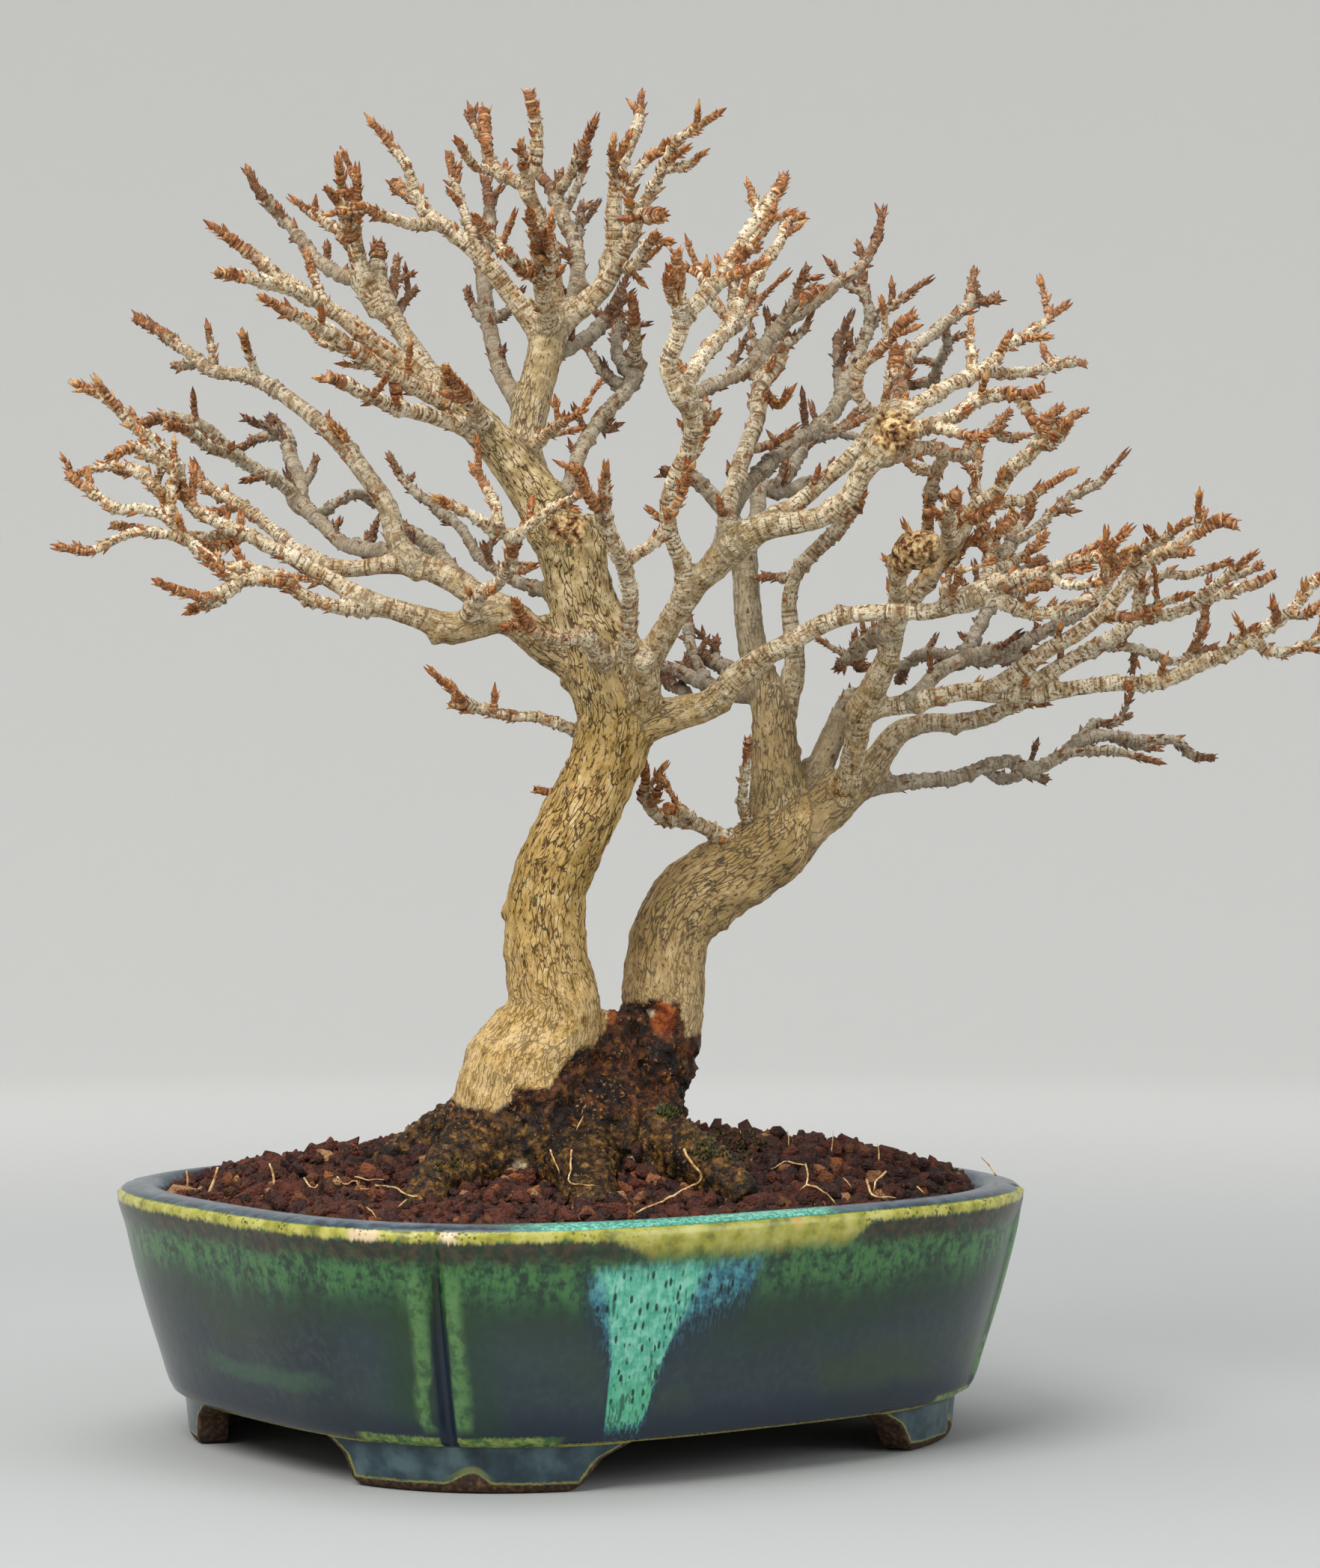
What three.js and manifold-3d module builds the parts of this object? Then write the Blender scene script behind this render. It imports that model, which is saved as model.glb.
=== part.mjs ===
// Trident maple bonsai: a bare twin-trunk tree in a glazed four-footed pot. Millimetres, +Z up.
// The pot's long side lies along X. The tree is described as it is seen from the front, on an
// upright plane through the middle of the pot, and sighted() carries each point into the pot's frame.

import * as THREE from 'three';
import { mergeVertices } from 'three/addons/utils/BufferGeometryUtils.js';
import Module from 'manifold-3d';

const wasm = await Module();
wasm.setup();

// Sizes of the pot

const rimLength = 236;
const rimWidth = 210;
const rimHeight = 69;
const lipWidth = 10.5;
const footHeight = 12;
const floorTop = 20;
const sideFullness = 3;
const potSegments = 72;
const cornerCrowding = 0.85;
const cornerRadius = 133;
const grooveDepth = 2.4;
const grooveHalfWidth = 2.2;
const ridgeHeight = 0.9;
const ridgePlace = 5.2;
const grooveShift = 0.045;
const drainRadius = 7;
const drainPlace = 46;
const drainSides = 20;

// Sizes of a foot: the angles that its sole spreads from its corner towards the long side and towards
// the end, how far its ends lean on each side, how far it stands in from the rim, how thick it is from
// face to back, and how high and how far in its lower edge is rounded off.

const footSpreadLong = 0.25;
const footSpreadEnd = 0.34;
const footLeanLong = 0.1;
const footLeanEnd = 0.06;
const footInsetSole = 18.8;
const footInsetTop = 17.5;
const footTread = 8;
const footSteps = 12;
const heelHeight = 3;
const heelInset = 2;
const heelSpread = 0.03;

// Sizes of the soil, the screens and their clips

const clearance = 0.35;
const soilEdgeHeight = 68;
const shoulderHeight = 6.5;
const moundHeight = 8.5;
const heapTilt = 0.016;
const shoulderPower = 8;
const frontDip = 5.5;
const frontPower = 6;
const frontStart = -5;
const frontEnd = 50;
const grainRelief = 1.5;
const screenSide = 28;
const screenThickness = 1;
const screenPitch = 8;
const screenHole = 6;
const wireRadius = 0.6;
const clipHalfSpan = 2;
const clipTail = 9;
const clipBend = 2;
const clipShoulder = 1.6;
const clipSteps = 18;
const wireSides = 3;

// Where the tree's points are seen from: the eye's distance from the middle of the pot, its height,
// its offset to the right, and how far the pot is turned away from it.

const eye = { distance: 1208, height: 188.3, across: 24.9, turn: THREE.MathUtils.degToRad(35.7) };

// A repeatable stream of numbers between 0 and 1.
function drawFrom(seed) {
  let state = seed;
  return () => {
    state = (state * 1664525 + 1013904223) % 4294967296;
    return state / 4294967296;
  };
}

function sighted(across, up, toward) {
  const nearer = 1 - toward / eye.distance;
  const side = eye.across + (across - eye.across) * nearer;
  const height = eye.height + (up - eye.height) * nearer;
  const cos = Math.cos(eye.turn);
  const sin = Math.sin(eye.turn);
  return new THREE.Vector3(side * cos - toward * sin, -side * sin - toward * cos, height);
}

// Joining and cutting

function solid(geometry) {
  const bare = geometry.clone();
  bare.deleteAttribute('normal');
  bare.deleteAttribute('uv');
  const merged = mergeVertices(bare);
  const mesh = new wasm.Mesh({
    numProp: 3,
    vertProperties: new Float32Array(merged.attributes.position.array),
    triVerts: new Uint32Array(merged.index.array),
  });
  mesh.merge();
  return new wasm.Manifold(mesh);
}

function joined(solids) {
  return solids.reduce((whole, piece) => whole.add(piece));
}

// The largest connected surface of a solid, without loose scraps or sealed hollows.
function largestBody(body) {
  const { vertProperties, triVerts } = body.getMesh();
  const owner = Array.from({ length: vertProperties.length / 3 }, (_, i) => i);
  const find = (i) => {
    while (owner[i] !== i) {
      owner[i] = owner[owner[i]];
      i = owner[i];
    }
    return i;
  };
  const corners = (t) => [triVerts[3 * t], triVerts[3 * t + 1], triVerts[3 * t + 2]];
  const count = triVerts.length / 3;
  for (let t = 0; t < count; t += 1) {
    const [a, b, c] = corners(t);
    owner[find(a)] = find(b);
    owner[find(b)] = find(c);
  }
  const sizes = new Map();
  for (let t = 0; t < count; t += 1) {
    const root = find(triVerts[3 * t]);
    sizes.set(root, (sizes.get(root) ?? 0) + 1);
  }
  const main = [...sizes].sort((p, q) => q[1] - p[1])[0][0];
  const kept = [];
  for (let t = 0; t < count; t += 1) {
    if (find(triVerts[3 * t]) === main) kept.push(...corners(t));
  }
  const geometry = new THREE.BufferGeometry();
  geometry.setAttribute('position', new THREE.BufferAttribute(vertProperties, 3));
  geometry.setIndex(kept);
  const flat = geometry.toNonIndexed();
  flat.computeVertexNormals();
  return flat;
}

// Pot

// A point of the pot's rounded outline: reach is its half length along X, corner angles are at
// odd multiples of 45 degrees.
function outline(angle, reach) {
  const cos = Math.cos(angle);
  const sin = Math.sin(angle);
  const round = (Math.abs(cos) ** sideFullness + Math.abs(sin) ** sideFullness) ** (-1 / sideFullness);
  return new THREE.Vector2(reach * round * cos, reach * (rimWidth / rimLength) * round * sin);
}

// Turns evenly spaced angles into angles that crowd towards the four corners.
function crowded(angle) {
  return angle + (cornerCrowding / 4) * Math.sin(4 * angle);
}

function cornerDistance(angle) {
  const quarter = Math.PI / 2;
  const past = THREE.MathUtils.euclideanModulo(angle, quarter) - quarter / 2;
  return past * cornerRadius;
}

// How far the wall is drawn in at a corner: a groove between two soft ridges, which stay below the rim.
function cornerGroove(angle, share) {
  const off = Math.abs(cornerDistance(angle));
  const groove = grooveDepth * share * Math.exp(-((off / grooveHalfWidth) ** 2));
  const ridge = ridgeHeight * share ** 4 * Math.exp(-(((off - ridgePlace) / grooveHalfWidth) ** 2));
  return groove - ridge;
}

// Sweeps a profile of [reach, height, groove share] round the pot's outline. Each corner groove lies a
// little towards the pot's ends.
function potSweep(profile, segments) {
  const points = profile.map(([reach, height]) => new THREE.Vector2(reach, height));
  const geometry = new THREE.LatheGeometry(points, segments);
  const position = geometry.attributes.position;
  for (let i = 0; i < position.count; i += 1) {
    const turn = Math.floor(i / points.length);
    const [reach, height, share = 0] = profile[i % points.length];
    const angle = crowded(((turn % segments) / segments) * 2 * Math.PI);
    const shifted = angle - grooveShift * Math.sin(2 * angle);
    const place = outline(shifted, reach - cornerGroove(angle, share));
    position.setXYZ(i, place.x, place.y, height);
  }
  return geometry;
}

function outward(geometry) {
  const body = solid(geometry);
  if (body.volume() > 0) return body;
  const flipped = mergeVertices(geometry.clone().deleteAttribute('normal').deleteAttribute('uv'));
  flipped.index.array.reverse();
  return solid(flipped);
}

const half = rimLength / 2;

const potProfile = [
  [0, footHeight],
  [half - 21, footHeight],
  [half - 16, footHeight + 0.8, 0.6],
  [half - 13.2, footHeight + 4, 1],
  [half - 7.6, 36, 1],
  [half - 1.9, 60, 1],
  [half - 0.4, 64.5, 0.7],
  [half, rimHeight - 1, 0.7],
  [half - 0.9, rimHeight, 0.6],
  [half - 5, rimHeight + 1.4, 0.2],
  [half - lipWidth + 0.6, rimHeight + 1.5],
  [half - lipWidth - 0.8, 64],
  [half - 17, 32],
  [half - 24, floorTop],
  [0, floorTop],
];

// A corner foot: a block bent along the pot's outline, with ends that lean in towards the sole and a
// lower edge that is rounded off on the face and at both ends.
function foot(corner) {
  const top = footHeight + 1;
  const heights = [0, heelHeight, top];
  const block = new THREE.BoxGeometry(1, 1, 1, footSteps, 2, 1);
  const position = block.attributes.position;
  for (let i = 0; i < position.count; i += 1) {
    const height = heights[Math.round(2 * position.getY(i) + 1)];
    const high = height / top;
    const under = height === 0 ? 1 : 0;
    const side = 2 * position.getX(i);
    const behind = 0.5 - position.getZ(i);
    const towardEnd = side * Math.sin(2 * corner) < 0;
    const spread = towardEnd ? footSpreadEnd : footSpreadLong;
    const lean = towardEnd ? footLeanEnd : footLeanLong;
    const angle = corner + side * (spread + lean * high - heelSpread * under);
    const inset = THREE.MathUtils.lerp(footInsetSole, footInsetTop, high) + footTread * behind;
    const place = outline(angle, half - inset - heelInset * under * (1 - behind));
    position.setXYZ(i, place.x, place.y, height);
  }
  return outward(block);
}

function drainHole(side) {
  const length = 2 * (floorTop - footHeight);
  const bore = new THREE.CylinderGeometry(drainRadius, drainRadius, length, drainSides);
  bore.rotateX(Math.PI / 2);
  bore.translate(side * drainPlace, 0, (floorTop + footHeight) / 2);
  return solid(bore);
}

function potGeometry() {
  const bowl = outward(potSweep(potProfile, potSegments));
  const corners = [1, 3, 5, 7].map((odd) => foot((odd * Math.PI) / 4));
  const holes = [-1, 1].map(drainHole);
  return largestBody(joined([bowl, ...corners]).subtract(joined(holes)));
}

// Screens and clips

function boxAt(width, depth, height, x, y, z) {
  const box = new THREE.BoxGeometry(width, depth, height);
  box.translate(x, y, z);
  return solid(box);
}

function screenGeometry() {
  const sheet = boxAt(screenSide, screenSide, screenThickness, 0, 0, screenThickness / 2);
  const places = [-screenPitch, 0, screenPitch];
  const depth = 4 * screenThickness;
  const holes = places.flatMap((x) => places.map((y) => boxAt(screenHole, screenHole, depth, x, y, 0)));
  return largestBody(sheet.subtract(joined(holes)));
}

const screenBottom = floorTop + clearance;
const wireTop = screenBottom + screenThickness + clearance + wireRadius;
const wireBottom = footHeight - clearance - wireRadius;

// A staple that lies on the screen, goes down through the drain hole and spreads under the floor.
function clipGeometry() {
  const line = new THREE.CatmullRomCurve3(
    [
      [-clipTail - clipHalfSpan, wireBottom],
      [-clipHalfSpan - clipBend, wireBottom],
      [-clipHalfSpan, wireBottom + clipBend],
      [-clipHalfSpan, wireTop - clipShoulder],
      [-clipHalfSpan + clipShoulder, wireTop],
      [clipHalfSpan - clipShoulder, wireTop],
      [clipHalfSpan, wireTop - clipShoulder],
      [clipHalfSpan, wireBottom + clipBend],
      [clipHalfSpan + clipBend, wireBottom],
      [clipHalfSpan + clipTail, wireBottom],
    ].map(([x, z]) => new THREE.Vector3(x, 0, z)),
  );
  const section = new THREE.Shape();
  section.absarc(0, 0, wireRadius, 0, 2 * Math.PI);
  return new THREE.ExtrudeGeometry(section, {
    steps: clipSteps,
    curveSegments: wireSides,
    bevelEnabled: false,
    extrudePath: line,
  });
}

// Tree

// Each limb is [name, the limb it grows from, how far its end leans toward the eye, end, line].
// A line's points are [across, up] in the sight plane, with a third number where the radius is
// given. 'bud' ends in a point and 'cut' ends blunt. The two trunks and the root crown give the
// leaning of their foot as well.
const limbs = [
  ['frontTrunk', 4, 15, 'cut', [[-11, 62, 28], [-11, 80, 25], [-12, 93, 20.5], [-11, 102, 18.6],
    [-7.5, 110, 16], [-5, 118, 13.2], [-6.2, 128, 12], [-7.3, 140, 11.4], [-6.3, 150, 11.1],
    [-3, 161, 11], [2.5, 172, 10.3], [8, 183, 10.1], [11.5, 193, 10.3], [12.5, 202, 11],
    [11, 211, 12.2], [8, 220, 11], [4, 229, 9.6], [1.5, 239, 9.3], [0.5, 248, 9.6], [0, 256, 7.5]]],
  ['rearTrunk', -6, -22, 'cut', [[14, 64, 24], [16, 84, 18], [19, 96, 13], [22.5, 105, 12.2],
    [25, 113, 11.7], [26, 122, 11.6], [26.5, 132, 11.2], [28.6, 141, 11.2], [34, 148.5, 11.8],
    [42, 154, 11.6], [50, 159, 11], [57, 164.5, 10.4], [61, 171, 8]]],
  ['rootCrown', 0, -2, 'cut', [[-4, 52, 34], [-3, 66, 35], [-1, 76, 32], [2, 86, 25], [5, 97, 18],
    [8.5, 107, 12], [12, 117, 5]]],

  ['leftRoot', 'rootCrown', 8, 'cut', [[-16, 90, 13], [-30, 84.5, 9], [-42, 79, 7], [-56, 70, 5],
    [-66, 62, 3]]],
  ['nearLeftRoot', 'rootCrown', 62, 'cut', [[-16, 82, 15], [-26, 76, 12], [-36, 69, 8], [-44, 60, 5]]],
  ['nearRoot', 'rootCrown', 70, 'cut', [[-2, 82, 15], [0, 77, 13], [4, 70, 9], [6, 61, 5.5]]],
  ['nearRightRoot', 'rootCrown', 56, 'cut', [[14, 84, 13], [26, 79, 10.5], [38, 73, 8], [50, 64, 5]]],
  ['rightRoot', 'rootCrown', -8, 'cut', [[18, 84, 11], [34, 77, 7.5], [50, 73, 5.5], [66, 66, 3.5]]],
  ['farRightRoot', 'rootCrown', -58, 'cut', [[14, 84, 12], [24, 79, 8], [34, 76, 6], [42, 71, 3.5]]],
  ['farLeftRoot', 'rootCrown', -60, 'cut', [[-16, 84, 12], [-26, 80, 9], [-36, 77, 6], [-46, 71, 3.5]]],

  ['lowLeft', 'frontTrunk', 24, 'cut', [[6, 214, 7], [-6, 219, 5.2], [-18, 227.5, 4.6], [-28, 225.5, 4.4],
    [-34, 224.5, 4.6], [-42, 227.5, 3.4], [-52, 230.5, 3], [-59, 232.5, 2.8]]],
  ['lowLeftUpper', 'lowLeft', 26, 'bud', [[-57, 232, 2.6], [-66, 237.5, 2.6], [-75, 242.5, 2.2],
    [-84, 247.5, 2], [-91, 251, 1.9], [-99, 254.5, 1.8], [-105, 258, 1.7], [-108.5, 264, 1.6],
    [-110, 270, 1.5], [-115, 276, 1.4], [-120, 279.5, 1.4], [-125, 284.5, 1.4], [-130, 289, 1.3],
    [-137.5, 292.5, 1]]],
  ['lowLeftUnder', 'lowLeft', 44, 'bud', [[-56, 230, 2.2], [-68, 231, 1.9], [-75, 234, 1.9],
    [-80, 237.5, 1.9],
    [-90, 238, 1.6], [-96, 235.5, 1.5], [-102, 233, 1.4], [-108, 234.5, 1.4], [-115, 237.5, 1]]],
  ['greenLeft', 'lowLeftUnder', 30, 'bud', [[-79, 238, 1.8], [-88, 241, 2], [-98, 242, 1.9],
    [-107, 248.5, 1.7],
    [-111, 254, 1.5], [-118, 257.8, 1.6], [-127, 258, 1.5], [-133, 262, 1.5], [-139.5, 266.8, 1]]],
  ['leftmost', 'greenLeft', 44, 'bud', [[-107, 249, 1.5], [-114, 251, 1.3], [-121, 251.5, 1.2],
    [-129, 248.5, 1.2],
    [-134, 246, 1.2], [-142.5, 247.2, 0.9]]],
  ['leftTop', 'lowLeftUpper', 6, 'bud', [[-108, 262, 1.6], [-115, 263, 1.7], [-120, 268, 1.6],
    [-125, 269.5, 1.3],
    [-129, 270, 1.2], [-139, 267, 0.9]]],
  ['leftKnuckle', 'lowLeftUpper', 38, 'bud', [[-109, 268, 1.6], [-117, 272, 1.6], [-122, 275, 1.5],
    [-128, 272.5, 1]]],

  ['midLeft', 'lowLeft', 12, 'cut', [[-16, 228, 4.2], [-25, 233, 3.8], [-34, 238.5, 3.4], [-42, 242, 3],
    [-50, 242.3, 2.7], [-60, 241.3, 2.5], [-68, 241, 2.5]]],
  ['midLeftEnd', 'midLeft', -14, 'bud', [[-66, 241, 2.4], [-75, 245.5, 2], [-83, 251.5, 1.8],
    [-90, 257.5, 1.8],
    [-97, 261, 1.8], [-103, 265, 1.6], [-105, 270, 1]]],
  ['pale', 'midLeft', -26, 'cut', [[-44, 243, 3.4], [-48.5, 249, 3.2], [-51, 258, 3], [-57, 267, 2.8],
    [-64, 276, 2.7], [-72, 283.5, 2.5], [-80, 289.5, 2.3], [-88, 294.5, 2], [-98, 296, 1.9],
    [-105, 299.5, 1.8], [-112, 305.5, 1.7], [-121.5, 311.2, 1.3]]],
  ['rearLeft', 'midLeft', -48, 'cut', [[-38, 241, 2.8], [-50, 245.5, 2.5], [-58, 246.5, 2.4],
    [-64, 248.5, 2.3],
    [-70, 254.5, 2.2], [-76, 259.5, 2.4]]],
  ['rearLeftLong', 'rearLeft', -30, 'cut', [[-75, 259, 2.1], [-80, 264.5, 2], [-88, 268.8, 1.9],
    [-95, 274, 2],
    [-102, 280, 1.9], [-109, 283, 1.7], [-116, 283, 1.5], [-121, 280, 1.2]]],
  ['rearLeftLow', 'rearLeftLong', -12, 'cut', [[-94, 273, 1.6], [-100, 274.5, 1.6], [-107, 279.5, 1.4],
    [-113, 281.5, 1.2]]],
  ['rearLeftUp', 'rearLeft', -78, 'cut', [[-76, 259, 2.5], [-75.5, 265, 2.5], [-78, 272, 2.2],
    [-80, 279, 1.9],
    [-84, 283.5, 1.6]]],
  ['rearLeftTwig', 'rearLeftUp', -88, 'cut', [[-80, 278, 1.3], [-86, 278, 1.2], [-92, 275, 1.1]]],
  ['rearLink', 'rearLeft', -66, 'cut', [[-70, 256.5, 1.4], [-65, 259.5, 1.3], [-60, 262, 1.5],
    [-53.5, 259, 1.6]]],
  ['rearSpur', 'midLeft', -36, 'bud', [[-31, 238, 2.4], [-38, 246.5, 2.2], [-44, 250.5, 1.8],
    [-47, 253.5, 1]]],
  ['slender', 'frontTrunk', -46, 'bud', [[-2, 234, 2.6], [-12, 236.5, 1.9], [-20, 240.5, 1.6],
    [-26, 245, 1.5],
    [-30, 252, 1.5], [-37, 257.5, 1.4], [-44, 263, 1.2], [-48, 268, 1.1], [-50.5, 272.5, 0.8]]],
  ['nearLeft', 'lowLeft', 62, 'cut', [[-29, 226, 2.3], [-26, 233, 2], [-20, 237, 1.7], [-17, 243.5, 1.8],
    [-15.5, 250.5, 1.9]]],
  ['nearLeftOut', 'nearLeft', 78, 'bud', [[-15.5, 250, 1.8], [-22, 252.5, 1.7], [-27.5, 256, 1.4],
    [-37, 260.5, 0.9]]],
  ['nearLeftUp', 'nearLeftOut', 58, 'bud', [[-20, 252.5, 1.5], [-22, 261, 1.4], [-27, 268.8, 0.9]]],
  ['nearLeftIn', 'nearLeft', 74, 'bud', [[-15.5, 250, 1.5], [-6, 257.5, 1.3], [1, 261, 1.2],
    [4, 264, 1.2], [1.5, 269, 0.9]]],
  ['lowTwig', 'frontTrunk', 34, 'bud', [[6, 195, 2.4], [-2, 197.5, 1.6], [-10, 199.5, 1.5],
    [-20, 200.5, 1.4],
    [-29, 204, 1.2], [-38.5, 212, 0.7]]],

  ['nearShoot', 'frontTrunk', 62, 'bud', [[13, 208, 4], [9, 216, 3.2], [4, 222, 2.5], [-3, 221, 1.8],
    [-9, 223, 1.6],
    [-13, 227, 1.5], [-15.5, 231.5, 1]]],
  ['nearUp', 'frontTrunk', 84, 'bud', [[15, 206, 4.6], [16.5, 214, 3.4], [16, 222, 2.5], [16.5, 232, 2.1],
    [15.5, 240, 2.2], [12.5, 248, 2], [10, 255, 1.7], [9.5, 262, 1.4], [9.8, 269.5, 0.9]]],
  ['nearUpLeft', 'nearUp', 92, 'bud', [[9.5, 256, 1.4], [5, 261, 1.3], [1.5, 269, 0.9]]],
  ['nearUpRight', 'nearUp', 66, 'bud', [[14.5, 243, 1.9], [20, 246, 1.6], [25, 250.5, 1.5],
    [28.5, 256.5, 1.4],
    [31, 263, 1.3], [32.5, 270.5, 0.9]]],
  ['nearCallus', 'frontTrunk', 34, 'cut', [[17, 200, 5.5], [20, 206, 5], [21, 212, 4], [20.5, 217, 2.8]]],

  ['bigLeft', 'frontTrunk', 8, 'cut', [[-3, 250, 8], [-9, 260, 6.6], [-15, 268, 6], [-20, 275, 5.6],
    [-26, 282, 5], [-32, 287.5, 4.4]]],
  ['bigLeftRise', 'bigLeft', -22, 'cut', [[-31, 287, 4], [-38, 294, 3.2], [-43, 301, 2.9],
    [-48, 308.5, 2.8],
    [-52, 316, 3.2], [-54, 324, 2.8], [-53.5, 332, 1.6]]],
  ['leftFan', 'bigLeftRise', -4, 'bud', [[-53, 312, 3.2], [-57.5, 320, 3.1], [-59.5, 328, 2.6],
    [-60.5, 336, 2.2],
    [-60, 344, 1.6], [-59.5, 352, 0.9]]],
  ['fanTall', 'leftFan', 12, 'bud', [[-60, 332, 2], [-63, 339, 1.7], [-63.5, 346, 1.5], [-64.8, 355, 0.9]]],
  ['fanLeft', 'leftFan', -16, 'bud', [[-59, 329, 1.8], [-64.5, 335, 1.6], [-70, 339, 1.4],
    [-76.5, 343.5, 0.8]]],
  ['fanLong', 'leftFan', -40, 'bud', [[-57, 321, 2.1], [-66, 324, 2], [-72, 329, 1.8], [-78, 336, 1.6],
    [-83, 342, 1.5], [-87.5, 347, 1.3], [-90, 352.5, 0.8]]],
  ['reach', 'bigLeft', 28, 'bud', [[-31, 287.5, 3.8], [-40, 293, 3.2], [-49, 300, 3], [-56, 305, 2.7],
    [-64, 311.5, 2.4], [-72, 316.5, 2.3], [-80, 321.5, 2.1], [-87, 327, 1.8], [-93, 332, 1.6],
    [-100, 336.8, 0.9]]],
  ['reachLow', 'reach', 50, 'cut', [[-72, 316.5, 1.9], [-79, 319, 1.8], [-86, 321.5, 1.7],
    [-98.5, 323.8, 1.1]]],
  ['reachUnder', 'bigLeft', 52, 'bud', [[-31, 286, 3], [-42, 291, 2.4], [-50, 295.5, 2.3],
    [-58, 300.5, 2.3],
    [-66, 306, 2], [-74, 310.5, 1.7], [-80, 313.5, 1.5], [-86, 316.8, 0.8]]],
  ['lowReach', 'bigLeft', 60, 'cut', [[-24, 278, 3.2], [-32, 281.5, 2.6], [-40, 284, 2.3], [-48, 286, 2.2],
    [-56, 289, 1.8], [-62, 292.5, 1.5], [-68, 294.8, 1.5]]],
  ['frontSpur', 'bigLeft', 46, 'bud', [[-23, 279, 2.6], [-27, 286, 2.1], [-31, 291, 1.7], [-35, 297, 0.9]]],

  ['leader', 'frontTrunk', -12, 'cut', [[-4, 252, 6.5], [-10, 264, 5.6], [-13, 275, 5], [-11, 286, 5],
    [-8.5, 296, 5], [-6.5, 305, 4.8], [-5, 312, 4.6]]],
  ['leaderLeft', 'leader', 6, 'bud', [[-7, 305, 3.6], [-14, 314, 3], [-20, 322, 2.8], [-27, 330, 2.6],
    [-34, 336, 2.4], [-40, 340, 2.2], [-43.5, 346, 1.8], [-46, 354, 1.5], [-50.5, 360, 1.3],
    [-55.5, 365.8, 0.8]]],
  ['leaderLeftLow', 'leaderLeft', 34, 'bud', [[-36, 337, 1.8], [-44, 337.5, 1.6], [-52, 339.5, 1.4],
    [-59, 342.5, 0.9]]],
  ['leaderBack', 'leader', -54, 'cut', [[-12, 284, 3], [-18, 293, 2.6], [-21.5, 303, 2.5],
    [-23.5, 314, 2.4],
    [-24.5, 325, 2.3], [-23, 335, 1.9], [-22.5, 343, 1.7], [-24, 350, 1.2]]],
  ['leaderHook', 'leaderLeft', -18, 'cut', [[-27, 331, 1.6], [-29.5, 340, 1.3], [-32.5, 349, 1.2],
    [-34, 357, 1]]],
  ['leaderMid', 'leader', 10, 'cut', [[-5, 310, 3.6], [-5, 320, 3], [-6, 331, 2.6], [-9.5, 341, 2.2],
    [-12.5, 348, 2.4],
    [-10, 356, 1.9], [-9.5, 364, 1.6], [-11.5, 374.5, 1.6]]],
  ['leaderMidLeft', 'leaderMid', -16, 'cut', [[-12.5, 348.5, 2], [-19, 350.5, 1.8], [-22.5, 355, 1.7],
    [-24, 362, 1.7],
    [-24, 369, 1.5]]],
  ['leaderMidTip', 'leaderMidLeft', 10, 'bud', [[-22, 352.5, 1.4], [-27, 353.5, 1.3], [-31.5, 360.5, 0.8]]],
  ['orangeUp', 'leader', 58, 'bud', [[-6, 308, 3], [-8, 320, 2.6], [-9, 330, 2], [-11.5, 341, 0.9]]],
  ['orangeLeft', 'orangeUp', 66, 'bud', [[-8, 321, 1.8], [-15, 326, 1.5], [-20, 331.5, 1.4],
    [-26.5, 339, 0.9]]],
  ['orangeRight', 'orangeUp', 50, 'bud', [[-8, 319, 1.8], [-5.5, 327, 1.5], [-7, 334.5, 0.9]]],
  ['slimCentre', 'leader', -40, 'cut', [[-3, 311, 2.6], [1.5, 320, 2.5], [1.5, 330, 2.1], [-2, 339, 2],
    [-5, 346.5, 2],
    [-9, 352, 1.3]]],
  ['slimRight', 'slimCentre', -22, 'bud', [[-4, 345, 1.7], [0.5, 352, 1.5], [4, 360, 1.5],
    [6.5, 365.5, 0.9]]],
  ['leaderRight', 'leader', -4, 'cut', [[-4, 309, 3.6], [4, 315, 3.3], [10, 321.5, 3.1],
    [12, 331, 2.6], [12, 342, 2.4],
    [13, 351, 2.2]]],
  ['rightPeak', 'leaderRight', -20, 'bud', [[13, 350, 1.9], [15.5, 358, 1.8], [18.5, 364.5, 1.7],
    [19.7, 373.3, 0.8]]],
  ['outerRight', 'leaderRight', 34, 'bud', [[12, 325, 2.3], [17, 333, 2.1], [19.5, 341, 1.9],
    [24, 349, 1.6], [27, 356, 1.5],
    [29.5, 360.5, 1.4], [35, 364, 1.2], [41.3, 368.2, 0.8]]],
  ['outerRightIn', 'outerRight', 10, 'cut', [[16, 331, 1.5], [16.5, 341, 1.3], [17, 349, 1.4],
    [22, 355.5, 1.3], [28, 360, 1.2]]],
  ['roundKnob', 'outerRight', 26, 'cut', [[19.5, 340, 1.8], [22.5, 339.5, 2.2], [25.5, 339.8, 1.5]]],
  ['backBundle', 'leader', -56, 'bud', [[-7, 300, 2.8], [1, 303.5, 2.1], [8, 308.5, 1.9], [15, 317, 0.9]]],
  ['shortRight', 'bigLeft', 40, 'bud', [[-10, 276, 2], [-4, 281, 1.3], [3.2, 285, 0.8]]],

  ['olive', 'leader', -34, 'cut', [[-7, 259, 3], [-1, 264, 2.4], [3, 274.5, 2.1], [9, 284, 2],
    [16, 291.5, 2.2], [19, 299, 2.4]]],
  ['oliveUp', 'olive', -12, 'bud', [[18, 296, 1.9], [18, 305, 1.8], [17.5, 312, 1.5], [17, 317, 0.9]]],
  ['oliveBack', 'olive', -60, 'bud', [[15, 291, 1.8], [10, 295, 1.5], [4, 303.5, 0.9]]],
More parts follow.
